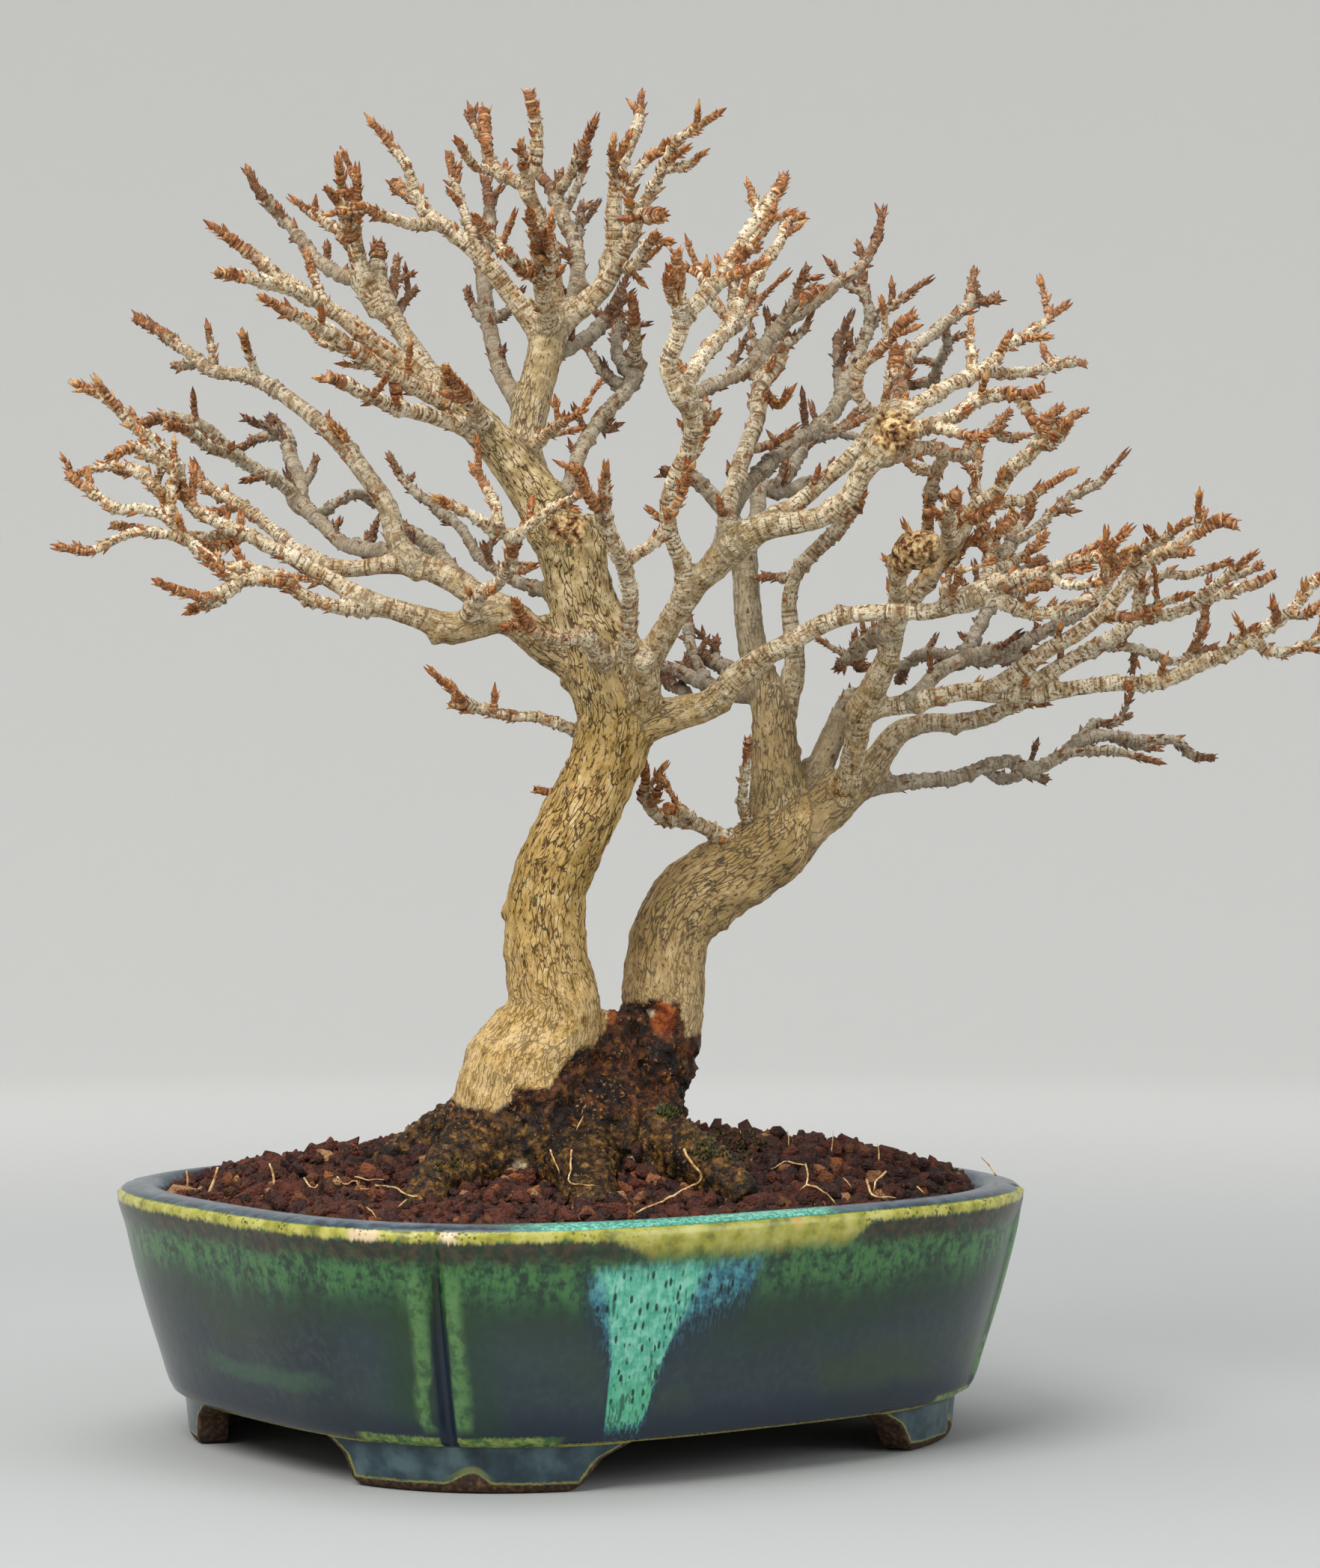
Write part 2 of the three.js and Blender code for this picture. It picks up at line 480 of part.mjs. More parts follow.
  ['oliveDark', 'olive', -64, 'cut', [[18, 294, 2], [14, 299, 1.9], [12.5, 306, 1.7], [14, 312, 1.3]]],

  ['rise', 'frontTrunk', 34, 'cut', [[16, 206, 5], [22, 216, 4], [28, 226.5, 3.7], [34, 236, 3.6],
    [41, 242.5, 3.8],
    [47.5, 249, 4.2]]],
  ['riseNear', 'rise', 62, 'cut', [[32, 233, 3], [31, 242.5, 2.6], [28, 250.5, 2.3], [27, 259, 2.4],
    [29.5, 268, 2.2],
    [33, 275, 2.4], [34, 283, 2.8], [31, 292, 3]]],
  ['star', 'riseNear', 70, 'cut', [[32, 288, 2.8], [27, 298, 2.6], [30, 306, 2.5], [31, 312.5, 2.6]]],
  ['starMast', 'star', 78, 'cut', [[31, 311, 2], [30, 321, 1.7], [29.3, 330, 1.2]]],
  ['starRight', 'star', 50, 'cut', [[32, 312, 2.2], [39, 319, 2.3], [45, 327, 2.1], [51, 336.5, 1.8],
    [56, 344, 1.7],
    [60, 350.5, 1.1]]],
  ['starRightIn', 'starRight', 64, 'bud', [[43, 324, 1.6], [50, 330.5, 1.5], [54, 336, 1.4],
    [56.5, 341.5, 0.9]]],
  ['starRightLow', 'starRight', 72, 'bud', [[41, 321, 1.5], [47, 323.5, 1.4], [54, 326.5, 0.9]]],
  ['plume', 'riseNear', -6, 'cut', [[31, 290, 2.4], [38, 302.5, 2], [44, 309, 2], [48, 317, 1.7],
    [53, 325, 1.6],
    [58, 332, 1.5], [61.5, 339, 1.3], [65, 339.5, 0.9]]],
  ['plumeLow', 'plume', -22, 'bud', [[36, 299, 1.7], [42, 305.5, 1.4], [47, 309, 1.3], [53.2, 316.8, 0.8]]],
  ['riseRight', 'rise', 46, 'cut', [[46, 248, 3.8], [54, 252.5, 3.6], [63, 254, 3.2], [71, 256, 3],
    [78, 262, 2.9],
    [82, 269, 3.2], [88, 276, 3.6]]],
  ['crossRight', 'rise', 22, 'cut', [[47, 250, 3.2], [56, 255.5, 2.6], [64, 260, 2.4], [72, 267, 2.4],
    [79, 273, 2.6],
    [85, 280, 3.2], [89, 287, 3], [90.5, 295, 2.6], [91, 303, 1.8]]],
  ['crossTwig', 'crossRight', 40, 'cut', [[86, 283, 1.8], [80, 290, 1.6], [81, 297, 1.7],
    [87, 303, 1.6], [92, 309, 1.5],
    [96, 312, 1.4]]],
  ['spray', 'riseRight', 10, 'bud', [[87, 275, 2.6], [95, 285, 2.2], [103, 291, 2.1], [111, 294.5, 2],
    [117, 297.5, 2],
    [120.5, 302.5, 1.5], [127, 306.5, 1.3], [132, 310, 1.2], [137.5, 314.2, 0.8]]],
  ['sprayOut', 'spray', -16, 'bud', [[116, 296.5, 1.6], [123, 295.5, 1.5], [130, 296.5, 1.4],
    [138, 298.5, 1.2],
    [143.3, 298.5, 0.9]]],
  ['sprayLow', 'riseRight', 54, 'cut', [[89, 276, 2.4], [98, 280.5, 2.2], [107, 283.5, 2.1],
    [114, 288.5, 1.9],
    [120, 290, 1.9], [126, 289.5, 1.6], [132, 291.8, 1.4]]],
  ['sprayLowFork', 'sprayLow', 66, 'bud', [[101, 281.5, 1.6], [107, 279, 1.4], [114.5, 277.5, 0.9]]],
  ['sprayTall', 'spray', -34, 'bud', [[90, 279, 2.2], [92, 293, 1.9], [95, 302, 1.7], [101, 307, 1.6],
    [106, 310.5, 1.5],
    [111, 315.5, 1.4], [112.5, 324, 0.8]]],
  ['sprayDrop', 'sprayTall', -52, 'cut', [[104, 309.5, 1.3], [105, 303, 1.3], [102, 297, 1.3],
    [101, 291, 1.3]]],
  ['ladder', 'riseRight', -8, 'cut', [[88, 272, 2.2], [97, 274.5, 2], [104, 274, 1.9], [101, 266, 1.7],
    [100, 257, 1.7],
    [99.5, 250, 1.5]]],
  ['ladderOut', 'ladder', -22, 'bud', [[103, 274, 1.5], [109, 272.5, 1.4], [114, 277.5, 1.3],
    [122.5, 284.8, 0.8]]],
  ['tower', 'rise', -18, 'cut', [[45, 247, 3], [43.5, 257, 2.7], [46, 266, 2.6], [49, 275, 2.5],
    [52, 283, 2.5],
    [53, 292, 2.6], [58, 299, 2.2], [59.5, 307, 1.6]]],
  ['veil', 'rise', -48, 'cut', [[40, 243, 2.4], [46, 259, 2.4], [53, 268.5, 2.2], [61, 275.5, 2.1],
    [69, 280.5, 2],
    [75, 288, 2.2], [77, 295, 2.3], [81, 303, 1.8], [83.5, 311, 1.7], [82, 318, 1.4], [80.5, 325, 1.2]]],
  ['veilTwig', 'veil', -34, 'bud', [[83, 310, 1.5], [88, 313.5, 1.5], [92, 316, 1.2], [98.8, 321, 0.7]]],
  ['veilSpur', 'veil', -20, 'bud', [[70, 281, 1.5], [76, 280.5, 1.2], [83, 284, 0.9]]],
  ['long', 'tower', -40, 'bud', [[33, 289, 1.9], [42, 293.5, 2], [50, 297.5, 2.1], [55, 304.5, 2.1],
    [61, 311, 2.1],
    [68, 315.5, 2], [75, 321, 1.6], [81, 325.5, 1.6], [84.5, 331, 1.5], [87, 340, 0.8]]],
  ['longBack', 'long', -24, 'cut', [[61, 311, 1.9], [66, 316.5, 1.8], [70.5, 319.8, 1.2]]],

  ['lowRight', 'frontTrunk', 40, 'cut', [[12, 196, 6.5], [22, 198.5, 5.6], [31, 201, 4.8], [39, 203.5, 4.2],
    [46, 210.5, 3.7], [53, 216, 3.3], [62, 221, 2.9], [71, 226, 2.7], [80, 228.5, 2.5], [92, 229, 2.5],
    [101, 229.3, 2.5], [108, 231.5, 2.6], [114, 233.5, 2.7]]],
  ['lowRightUp', 'lowRight', 54, 'bud', [[110, 232.5, 2.3], [116, 236.5, 2.1], [125, 238.3, 1.9],
    [133, 240, 1.8],
    [139, 243, 1.6], [146, 244.5, 1.5], [150, 247, 1.3], [154.7, 251, 0.8]]],
  ['lowRightFork', 'lowRightUp', 66, 'bud', [[134, 240, 1.4], [138, 237, 1.3], [145, 237, 1.2],
    [149, 240, 1.3],
    [149.3, 250.5, 0.7]]],
  ['lowRightDown', 'lowRight', 34, 'bud', [[112, 233, 2.3], [120, 232, 2.2], [127, 229, 2], [135, 229, 1.8],
    [142, 231.5, 1.8], [148, 235, 1.8], [151, 240, 1.6], [154, 243, 0.9]]],
  ['lowRightGreen', 'lowRight', 22, 'cut', [[112, 233.5, 1.9], [120, 234.5, 1.8], [128, 235.5, 1.5],
    [134, 237, 1.2]]],

  ['mast', 'rearTrunk', -30, 'cut', [[55, 163, 9], [57, 172, 8.6], [57.5, 181, 7.8], [57, 190, 7],
    [56.5, 199, 6.2],
    [57, 208, 5.8]]],
  ['mastLeft', 'mast', -44, 'cut', [[56, 204, 5], [52, 214, 4.4], [50, 224, 4.1], [49, 235, 4],
    [48, 246, 3.6],
    [44, 256, 3], [38, 263, 2.4], [32, 268, 1.9], [25, 268, 1.5]]],
  ['mastBack', 'mastLeft', -76, 'bud', [[48, 244, 3], [52, 256, 2.6], [53, 264, 2.4], [58, 262.5, 2],
    [66, 265, 1.8],
    [71, 266, 1.4], [73, 271, 0.8]]],
  ['mastBackUp', 'mastBack', -92, 'cut', [[57, 262, 2], [62, 270, 2], [66, 277, 1.7], [74, 279.5, 1.4],
    [80, 285, 1]]],
  ['mastRight', 'mast', -20, 'cut', [[59, 202, 4], [62.5, 213, 3.2], [61.5, 224, 2.6], [61, 233, 2.3],
    [63.5, 241, 2.2],
    [70, 248, 2.2], [76, 254, 2.2], [80, 260, 2], [81.5, 267, 1.6]]],
  ['veryBackLeft', 'mast', -58, 'cut', [[54, 207, 3.2], [46, 206, 2.6], [38, 209, 2.2], [30, 212.5, 2],
    [24, 213.5, 2]]],
  ['backStalk', 'veryBackLeft', -72, 'cut', [[38, 209.5, 1.8], [35, 215, 1.7], [33, 222, 1.5],
    [33, 229, 1]]],
  ['backKnob', 'mastLeft', -66, 'cut', [[50, 212, 2.2], [43, 213.5, 2], [37, 216.5, 2]]],

  ['whip', 'rearTrunk', 4, 'cut', [[52, 161, 3], [43, 166.3, 2.4], [34, 170, 2], [25, 171.8, 1.8],
    [20.5, 177, 1.5],
    [20.8, 183, 1.3], [19.5, 189, 1]]],
  ['whipKnob', 'whip', 12, 'cut', [[34, 170.5, 1.6], [31.5, 173.3, 1.6], [27, 174, 1.4]]],
  ['sidePole', 'rearTrunk', 4, 'cut', [[52, 168, 2], [48, 174.5, 1.6], [48.5, 183, 1.3], [49.5, 193.5, 1]]],

  ['fork', 'rearTrunk', -30, 'cut', [[58, 164, 8.6], [66, 170.5, 7.4], [73, 176, 6.6], [79, 182, 5.6]]],
  ['shortFat', 'mast', -52, 'cut', [[61, 174, 4.6], [68, 183, 4], [73, 194, 3.8], [77, 203, 3.3],
    [79, 207, 2.4]]],
  ['pillar', 'fork', 14, 'cut', [[73, 174, 4.6], [77.5, 183, 3.8], [79.5, 192, 3.4], [81, 201, 4],
    [85, 209, 3.9],
    [89, 218, 3.2], [90, 229, 2.6]]],
  ['callus', 'pillar', 56, 'cut', [[89, 222, 2.6], [91, 234, 2.3], [92, 242, 3], [96.5, 246.5, 5.2],
    [101, 247, 4]]],
  ['arm', 'pillar', 34, 'cut', [[89, 224, 2.6], [97, 235, 2.6], [103, 243, 2.8], [108.5, 251, 2.6],
    [113, 258.5, 2.5],
    [119, 262.5, 2.3], [122, 268, 2.2], [128, 273, 2.1], [131.5, 278, 2], [132.5, 284, 1.5]]],
  ['armThumb', 'arm', 56, 'cut', [[107, 248, 2.3], [105, 255, 2], [107.5, 262, 1.7]]],
  ['armTip', 'arm', 18, 'bud', [[132, 279.5, 1.5], [136, 281.5, 1.3], [143.2, 285.3, 0.8]]],
  ['armTipLow', 'arm', 48, 'bud', [[130, 276, 1.6], [134, 276, 1.5], [137, 279, 1.2], [139.2, 282, 0.8]]],
  ['armSide', 'arm', 16, 'bud', [[112, 258, 1.9], [119, 259.3, 1.7], [126, 260, 1.5], [132, 264, 1.3],
    [139.5, 268.2, 0.8]]],
  ['armHook', 'arm', 8, 'cut', [[106, 247.5, 1.6], [113, 249.3, 1.4], [119.5, 251.5, 1.4],
    [124, 256.5, 1.5]]],
  ['ghost', 'lowRight', -20, 'cut', [[110, 232, 2.4], [118, 239.5, 2.2], [122, 247, 2],
    [125, 253, 1.8], [128.5, 258, 1.3]]],
  ['ghostOut', 'ghost', -34, 'bud', [[123, 248.5, 1.5], [130, 252.5, 1.4], [136, 258.5, 1.2],
    [144.2, 265, 0.7]]],
  ['ghostNear', 'ghost', 0, 'bud', [[119, 241, 1.4], [125, 244, 1.3], [132.5, 250.5, 0.8]]],
  ['prop', 'lowRight', -12, 'cut', [[114, 234, 1.8], [117, 242, 1.8], [115.5, 251, 1.6],
    [113, 258, 1.4], [113, 267, 1.2],
    [114, 275, 1]]],

  ['rightLong', 'pillar', 12, 'cut', [[81, 202, 3.4], [90, 202.8, 2.8], [100, 204.8, 2.7],
    [110, 206.8, 2.7],
    [120, 206.8, 3], [130, 206, 2.7], [139, 207.5, 2.4], [150, 209, 2.2], [160, 209, 2.2], [168, 211, 2.1],
    [178, 215.5, 2.1], [188, 220, 2.2], [196, 225.5, 1.8], [202, 230.5, 1.6], [208, 238, 1.4],
    [214, 241.5, 1]]],
  ['rightLongTip', 'rightLong', -8, 'bud', [[190, 221, 1.7], [196, 217.8, 1.5], [203, 219, 1.3],
    [215, 224.5, 0.8]]],
  ['rightUpper', 'rightLong', 20, 'cut', [[118, 207, 2.8], [126, 213.5, 2.6], [134, 219, 2.4],
    [142, 223.5, 2.3],
    [150, 230.5, 2.3], [156, 238, 2.2], [161, 243, 1.9], [170, 248, 1.7], [177, 252.5, 1.6],
    [182, 254.5, 2],
    [186, 253.5, 1.3]]],
  ['rightUpperTwig', 'rightUpper', 40, 'bud', [[155, 242, 1.5], [162, 248, 1.4], [167, 250.5, 1.2],
    [172.2, 254.5, 0.7]]],
  ['rightUpperSide', 'rightUpper', 2, 'cut', [[158, 241, 1.5], [165, 245, 1.4], [173, 246, 1.3]]],
  ['rightMiddle', 'rightLong', -12, 'cut', [[127, 207, 2.6], [135, 213, 2.4], [144, 218, 2.2],
    [152, 222.5, 2.1],
    [158, 227, 1.9], [166, 228, 1.7], [174, 231, 1.7], [181, 234, 1.7], [189, 236, 1.5],
    [196.5, 239.8, 1.2]]],
  ['rightMiddleUp', 'rightMiddle', 6, 'bud', [[174, 231.5, 1.5], [180, 236.5, 1.4], [185, 241, 1.2],
    [190.2, 245, 0.7]]],
  ['rightMiddleLow', 'rightMiddle', -30, 'cut', [[147, 219.5, 1.5], [155, 219.3, 1.4], [163, 217, 1.3],
    [168, 215.3, 1.3],
    [175, 217.5, 1.1], [180, 219.5, 0.9]]],
  ['rightInner', 'rightMiddle', 10, 'bud', [[159, 228.5, 1.3], [160.5, 236, 1.3], [165, 239.3, 1.3],
    [172, 239.5, 1.3],
    [183.2, 242.8, 0.7]]],
  ['rightRear', 'rightLong', -44, 'bud', [[95, 204, 2.5], [103, 212.5, 2.3], [110, 216, 2.2],
    [119, 218.5, 2],
    [128, 221.5, 1.9], [136, 225.5, 1.8], [144, 230.5, 1.6], [150, 238, 0.9]]],
  ['rightRearUp', 'rightRear', -62, 'cut', [[108, 214.5, 2], [112, 221, 1.9], [115.5, 228, 1.7],
    [120, 234, 1.3]]],
  ['rightRearLow', 'rightRear', -56, 'cut', [[110, 216, 1.7], [116, 215.3, 1.7], [123, 217.3, 1.6],
    [128, 217.5, 1.2]]],
  ['rightRearLeft', 'rightRear', -70, 'cut', [[108, 216.5, 1.5], [100, 217.5, 1.5], [94, 214.5, 1.4],
    [92, 210, 1.4]]],
  ['darkLeaf', 'pillar', -36, 'cut', [[89, 224, 2], [83, 221, 2.4], [79, 217.5, 2.2], [74.5, 213.3, 1]]],
  ['lowArm', 'fork', -24, 'cut', [[77, 179, 5], [85, 187, 4.2], [91, 195, 3.6], [99, 198, 2.9],
    [108, 198.3, 2.8],
    [116, 199.8, 2.6], [124, 203.3, 2.4], [133, 204.5, 1.6]]],
  ['lowest', 'fork', -46, 'cut', [[79, 180.5, 3.6], [90, 181, 2.6], [99, 182, 2.1], [107, 182.3, 2],
    [114, 185.3, 2],
    [122, 187.3, 2], [129, 185.3, 2], [136, 188.5, 2], [142, 192.8, 2.1], [149, 194.5, 1.8],
    [158, 193.3, 1.5],
    [169, 193, 1.4], [173, 189.3, 1.3], [180, 188.2, 1.1]]],
  ['lowestUp', 'lowest', -60, 'bud', [[141, 193, 1.5], [147, 198, 1.3], [150, 197.5, 1.2],
    [155.5, 200, 0.7]]],
  ['lowestDown', 'lowest', -34, 'bud', [[137, 189.5, 1.5], [145, 190.3, 1.3], [152, 190, 1.3],
    [164, 187.2, 0.7]]],
  ['lowestLoop', 'lowest', -62, 'cut', [[115, 185.5, 1.5], [121, 182.3, 1.5], [127, 184, 1.4],
    [132.5, 182.3, 1.3]]],
];

const rootNames = ['frontTrunk', 'rearTrunk', 'rootCrown', 'leftRoot', 'nearLeftRoot', 'nearRoot',
  'nearRightRoot', 'rightRoot', 'farRightRoot', 'farLeftRoot'];

// The leaning of a traced limb at the point of its line nearest to a place in the sight plane.
function leanAt(trace, [across, up]) {
  let best = trace[0];
  let least = Infinity;
  for (const point of trace) {
    const off = Math.hypot(point.across - across, point.up - up);
    if (off < least) {
      least = off;
      best = point;
    }
  }
  return best.toward;
}

// Fills in every line's radii and leanings.
function traceLimbs() {
  const traces = new Map();
  for (const [name, origin, lean, end, line] of limbs) {
    const start = typeof origin === 'number' ? origin : leanAt(traces.get(origin), line[0]);
    const along = [0];
    for (let i = 1; i < line.length; i += 1) {
      along.push(along[i - 1] + Math.hypot(line[i][0] - line[i - 1][0], line[i][1] - line[i - 1][1]));
    }
    const whole = along[along.length - 1];
    const trace = line.map(([across, up, radius], i) => {
      const toward = THREE.MathUtils.lerp(start, lean, along[i] / whole);
      return { across, up, radius, toward };
    });
    trace.end = end;
    traces.set(name, trace);
  }
  return traces;
}

// The number of sides of a limb by its foot's radius: [more than this radius, sides].
const sidesByRadius = [[19, 10], [4.4, 6], [3.1, 5], [0, 3]];

function sidesFor(radius) {
  return sidesByRadius.find(([least]) => radius > least)[1];
}

// How far a ring of few sides is widened, so that it looks as wide as the round limb it stands for.
function widened(sides) {
  return Math.PI / (sides * Math.sin(Math.PI / sides));
}

const trunkSpacing = 10;
const ringSpacing = 17;
const trunkRadius = 19;
const pointRadius = 0.3;
const knuckledBelow = 4.4;
const knuckleSwell = 0.1;
const knuckleWaist = 0.06;

// A closed cylinder bent along a curve, with its own radius at each ring.
function bentCylinder(curve, radii, sides, stretch = 0) {
  const rings = radii.length - 1;
  const frames = curve.computeFrenetFrames(rings, false);
  const geometry = new THREE.CylinderGeometry(1, 1, 1, sides, rings);
  const position = geometry.attributes.position;
  for (let i = 0; i < position.count; i += 1) {
    const ring = Math.round((position.getY(i) + 0.5) * rings);
    const centre = curve.getPointAt(ring / rings);
    const past = ring === 0 ? -stretch : ring === rings ? stretch : 0;
    centre.addScaledVector(frames.tangents[ring], past);
    centre.addScaledVector(frames.normals[ring], position.getX(i) * radii[ring]);
    centre.addScaledVector(frames.binormals[ring], -position.getZ(i) * radii[ring]);
    position.setXYZ(i, centre.x, centre.y, centre.z);
  }
  return outward(geometry);
}

// Radii at evenly spaced rings, with a knuckle at every second ring of a thin limb.
function ringRadii(curve, trace, grow) {
  const length = curve.getLength();
  const thick = trace[0].radius;
  const spacing = thick > trunkRadius ? trunkSpacing : ringSpacing;
  const rings = Math.max(1, Math.round(length / spacing));
  const width = widened(sidesFor(thick));
  const radii = [];
  for (let ring = 0; ring <= rings; ring += 1) {
    const place = curve.getUtoTmapping(ring / rings) * (trace.length - 1);
    const before = Math.min(Math.floor(place), trace.length - 2);
    const radius = THREE.MathUtils.lerp(trace[before].radius, trace[before + 1].radius, place - before);
    const knuckle = ring % 2 ? knuckleSwell : -knuckleWaist;
    const swell = thick < knuckledBelow ? 1 + knuckle : 1;
    radii.push(radius * swell * width + grow);
  }
  if (trace.end === 'bud') radii[rings] = pointRadius;
  return radii;
}

function limbSolid(trace, grow = 0) {
  const curve = new THREE.CatmullRomCurve3(trace.map((p) => sighted(p.across, p.up, p.toward)));
  return bentCylinder(curve, ringRadii(curve, trace, grow), sidesFor(trace[0].radius), grow);
}

const traces = traceLimbs();

// Short shoots on every side of the thin limbs, each turned a quarter round the limb from the last.

const twigSpacing = 84;
const twigSeed = 7;
const twigRadius = 1.4;
const twigShortest = 9;
const twigSpread = 9;
const twigSlant = 0.75;
const twigRise = 0.22;
const twigFrames = 24;
const bareEnd = 6;
const thinnestBearer = 1.3;
const thickestBearer = 3;

function twigSolids() {
  const draw = drawFrom(twigSeed);
  const solids = [];
  for (const [name, trace] of traces) {
    const radius = trace[0].radius;
    if (rootNames.includes(name) || radius < thinnestBearer || radius > thickestBearer) continue;
    const curve = new THREE.CatmullRomCurve3(trace.map((p) => sighted(p.across, p.up, p.toward)));
    const length = curve.getLength();
    const frames = curve.computeFrenetFrames(twigFrames, false);
    let turn = draw() * Math.PI;
    let at = 0.45 * twigSpacing;
    while (at < length - bareEnd) {
      const frame = Math.round((at / length) * twigFrames);
      const side = turn + (draw() < 0.5 ? 0 : Math.PI);
      const way = frames.normals[frame].clone().multiplyScalar(Math.cos(side));
      way.addScaledVector(frames.binormals[frame], Math.sin(side));
      way.addScaledVector(frames.tangents[frame], twigSlant).normalize();
      const start = curve.getPointAt(at / length);
      const reach = twigShortest + twigSpread * draw();
      const middle = start.clone().addScaledVector(way, 0.55 * reach);
      const tip = start.clone().addScaledVector(way, reach);
      tip.z += twigRise * reach;
      const shoot = new THREE.CatmullRomCurve3([start, middle, tip]);
      solids.push(bentCylinder(shoot, [twigRadius, twigRadius, pointRadius], sidesFor(twigRadius)));
      turn += Math.PI / 2;
      at += twigSpacing * (0.75 + 0.5 * draw());
    }
  }
  return solids;
}

function treeGeometry() {
  const solids = [...traces.values()].map((trace) => limbSolid(trace));
  return largestBody(joined([...solids, ...twigSolids()]));
}

// Soil

const soilProfile = [
  [0, floorTop + clearance],
  [half - 24.4 - clearance, floorTop + clearance],
  [half - 17.2 - clearance, 32],
  [half - lipWidth - 0.9 - clearance, soilEdgeHeight - 2],
];
const soilRings = 12;
const soilSegments = 56;
const soilSeed = 3;

// The height of the soil at a share of the way from its middle to its edge: a steep shoulder inside
// the lip, then a low mound towards the trunks, which is flatter on the side that faces the eye.
function mound(share) {
  const shoulder = shoulderHeight * (1 - share ** shoulderPower);
  const middle = moundHeight * 0.5 * (1 + Math.cos(Math.PI * share));
  return soilEdgeHeight + shoulder + middle;
}

function soilGeometry() {
  const edge = soilProfile[soilProfile.length - 1][0];
  const surface = [];
  for (let ring = 1; ring <= soilRings; ring += 1) {
    const share = 1 - ring / soilRings;
    surface.push([edge * Math.max(share, 0), mound(share)]);
  }
  const geometry = potSweep([...soilProfile, ...surface], soilSegments);
  const draw = drawFrom(soilSeed);
  const position = geometry.attributes.position;
  const rows = soilProfile.length + surface.length;
  const lifts = Array.from({ length: soilSegments * rows }, () => (draw() - 0.5) * 2 * grainRelief);
  const soilShares = [...soilProfile, ...surface].map(([reach]) => Math.min(1, Math.abs(reach) / edge));
  for (let i = 0; i < position.count; i += 1) {
    const row = i % rows;
    const turn = Math.floor(i / rows) % soilSegments;
    if (row >= soilProfile.length && row < rows - 1) {
      const across = position.getX(i) * Math.cos(eye.turn) - position.getY(i) * Math.sin(eye.turn);
      const toward = -position.getX(i) * Math.sin(eye.turn) - position.getY(i) * Math.cos(eye.turn);
      const share = soilShares[row];
      const near = THREE.MathUtils.smoothstep(toward, frontStart, frontEnd);
      const dip = frontDip * near * (1 - share ** frontPower);
      const lift = lifts[turn * rows + row];
      position.setZ(i, position.getZ(i) + across * heapTilt - dip + lift);
    }
  }
  const hollows = [-1, 1].map((side) => {
    const width = screenSide + 2 * clearance;
    const height = wireTop + wireRadius + clearance - floorTop;
    return boxAt(width, width, 2 * height, side * drainPlace, 0, floorTop);
  });
  const roots = rootNames.map((name) => limbSolid(traces.get(name), clearance));
  return largestBody(outward(geometry).subtract(joined([...roots, ...hollows])));
}

// Materials, as seen

const glaze = new THREE.MeshStandardMaterial({ color: 0x2f4a45, roughness: 0.18, metalness: 0 });
const grit = new THREE.MeshStandardMaterial({ color: 0x4a2f26, roughness: 0.95, metalness: 0 });
const bark = new THREE.MeshStandardMaterial({ color: 0xb7a17c, roughness: 0.85, metalness: 0 });
const net = new THREE.MeshStandardMaterial({ color: 0x1c1e1c, roughness: 0.6, metalness: 0 });
const wire = new THREE.MeshStandardMaterial({ color: 0x8a5a3a, roughness: 0.4, metalness: 0.9 });

function named(name, geometry, material) {
  const mesh = new THREE.Mesh(geometry, material);
  mesh.name = name;
  return mesh;
}

const bonsai = new THREE.Group();
bonsai.add(named('pot', potGeometry(), glaze));
bonsai.add(named('soil', soilGeometry(), grit));
bonsai.add(named('tree', treeGeometry(), bark));
for (const [label, side] of [['left', -1], ['right', 1]]) {
  const screen = named(`drain_screen_${label}`, screenGeometry(), net);
  screen.position.set(side * drainPlace, 0, screenBottom);
  const clip = named(`screen_clip_${label}`, clipGeometry(), wire);
  clip.position.set(side * drainPlace, 0, 0);
  bonsai.add(screen, clip);
}

// The origin lies on the ground under the middle of the whole part's outline.
const bounds = new THREE.Box3().setFromObject(bonsai);
const middle = bounds.getCenter(new THREE.Vector3());
bonsai.position.set(-middle.x, -middle.y, -bounds.min.z);
bonsai.updateMatrixWorld(true);

export default bonsai;
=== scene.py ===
"""A bare two-trunk trident maple in a glazed four-footed pot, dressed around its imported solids.

Lengths are millimetres in the pot's own frame until in_row() carries them to the row frame in metres.
The pot's middle is that frame's origin, +X runs along the pot's long side and +Z is up.
"""

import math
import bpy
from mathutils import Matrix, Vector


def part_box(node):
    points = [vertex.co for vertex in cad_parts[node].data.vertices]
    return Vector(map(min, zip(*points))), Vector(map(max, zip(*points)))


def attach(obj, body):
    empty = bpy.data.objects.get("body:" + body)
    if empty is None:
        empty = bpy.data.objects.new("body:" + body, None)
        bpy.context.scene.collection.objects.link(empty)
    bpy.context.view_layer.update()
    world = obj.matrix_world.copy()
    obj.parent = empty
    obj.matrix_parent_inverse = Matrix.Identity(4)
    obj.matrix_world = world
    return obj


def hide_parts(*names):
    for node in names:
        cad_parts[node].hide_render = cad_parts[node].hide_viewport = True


bl_info = {
    "name": "Trident Maple Bonsai",
    "version": (1, 0, 0),
    "blender": (4, 5, 0),
    "location": "View3D > Sidebar > Bonsai",
    "description": "Builds a bare two-trunk maple in a glazed pot around its packed solids",
    "category": "Object",
}

from functools import reduce
from operator import mul

import bmesh
import bpy
import numpy as np
from mathutils import Matrix, Vector, noise
from mathutils.bvhtree import BVHTree
from mathutils.kdtree import KDTree

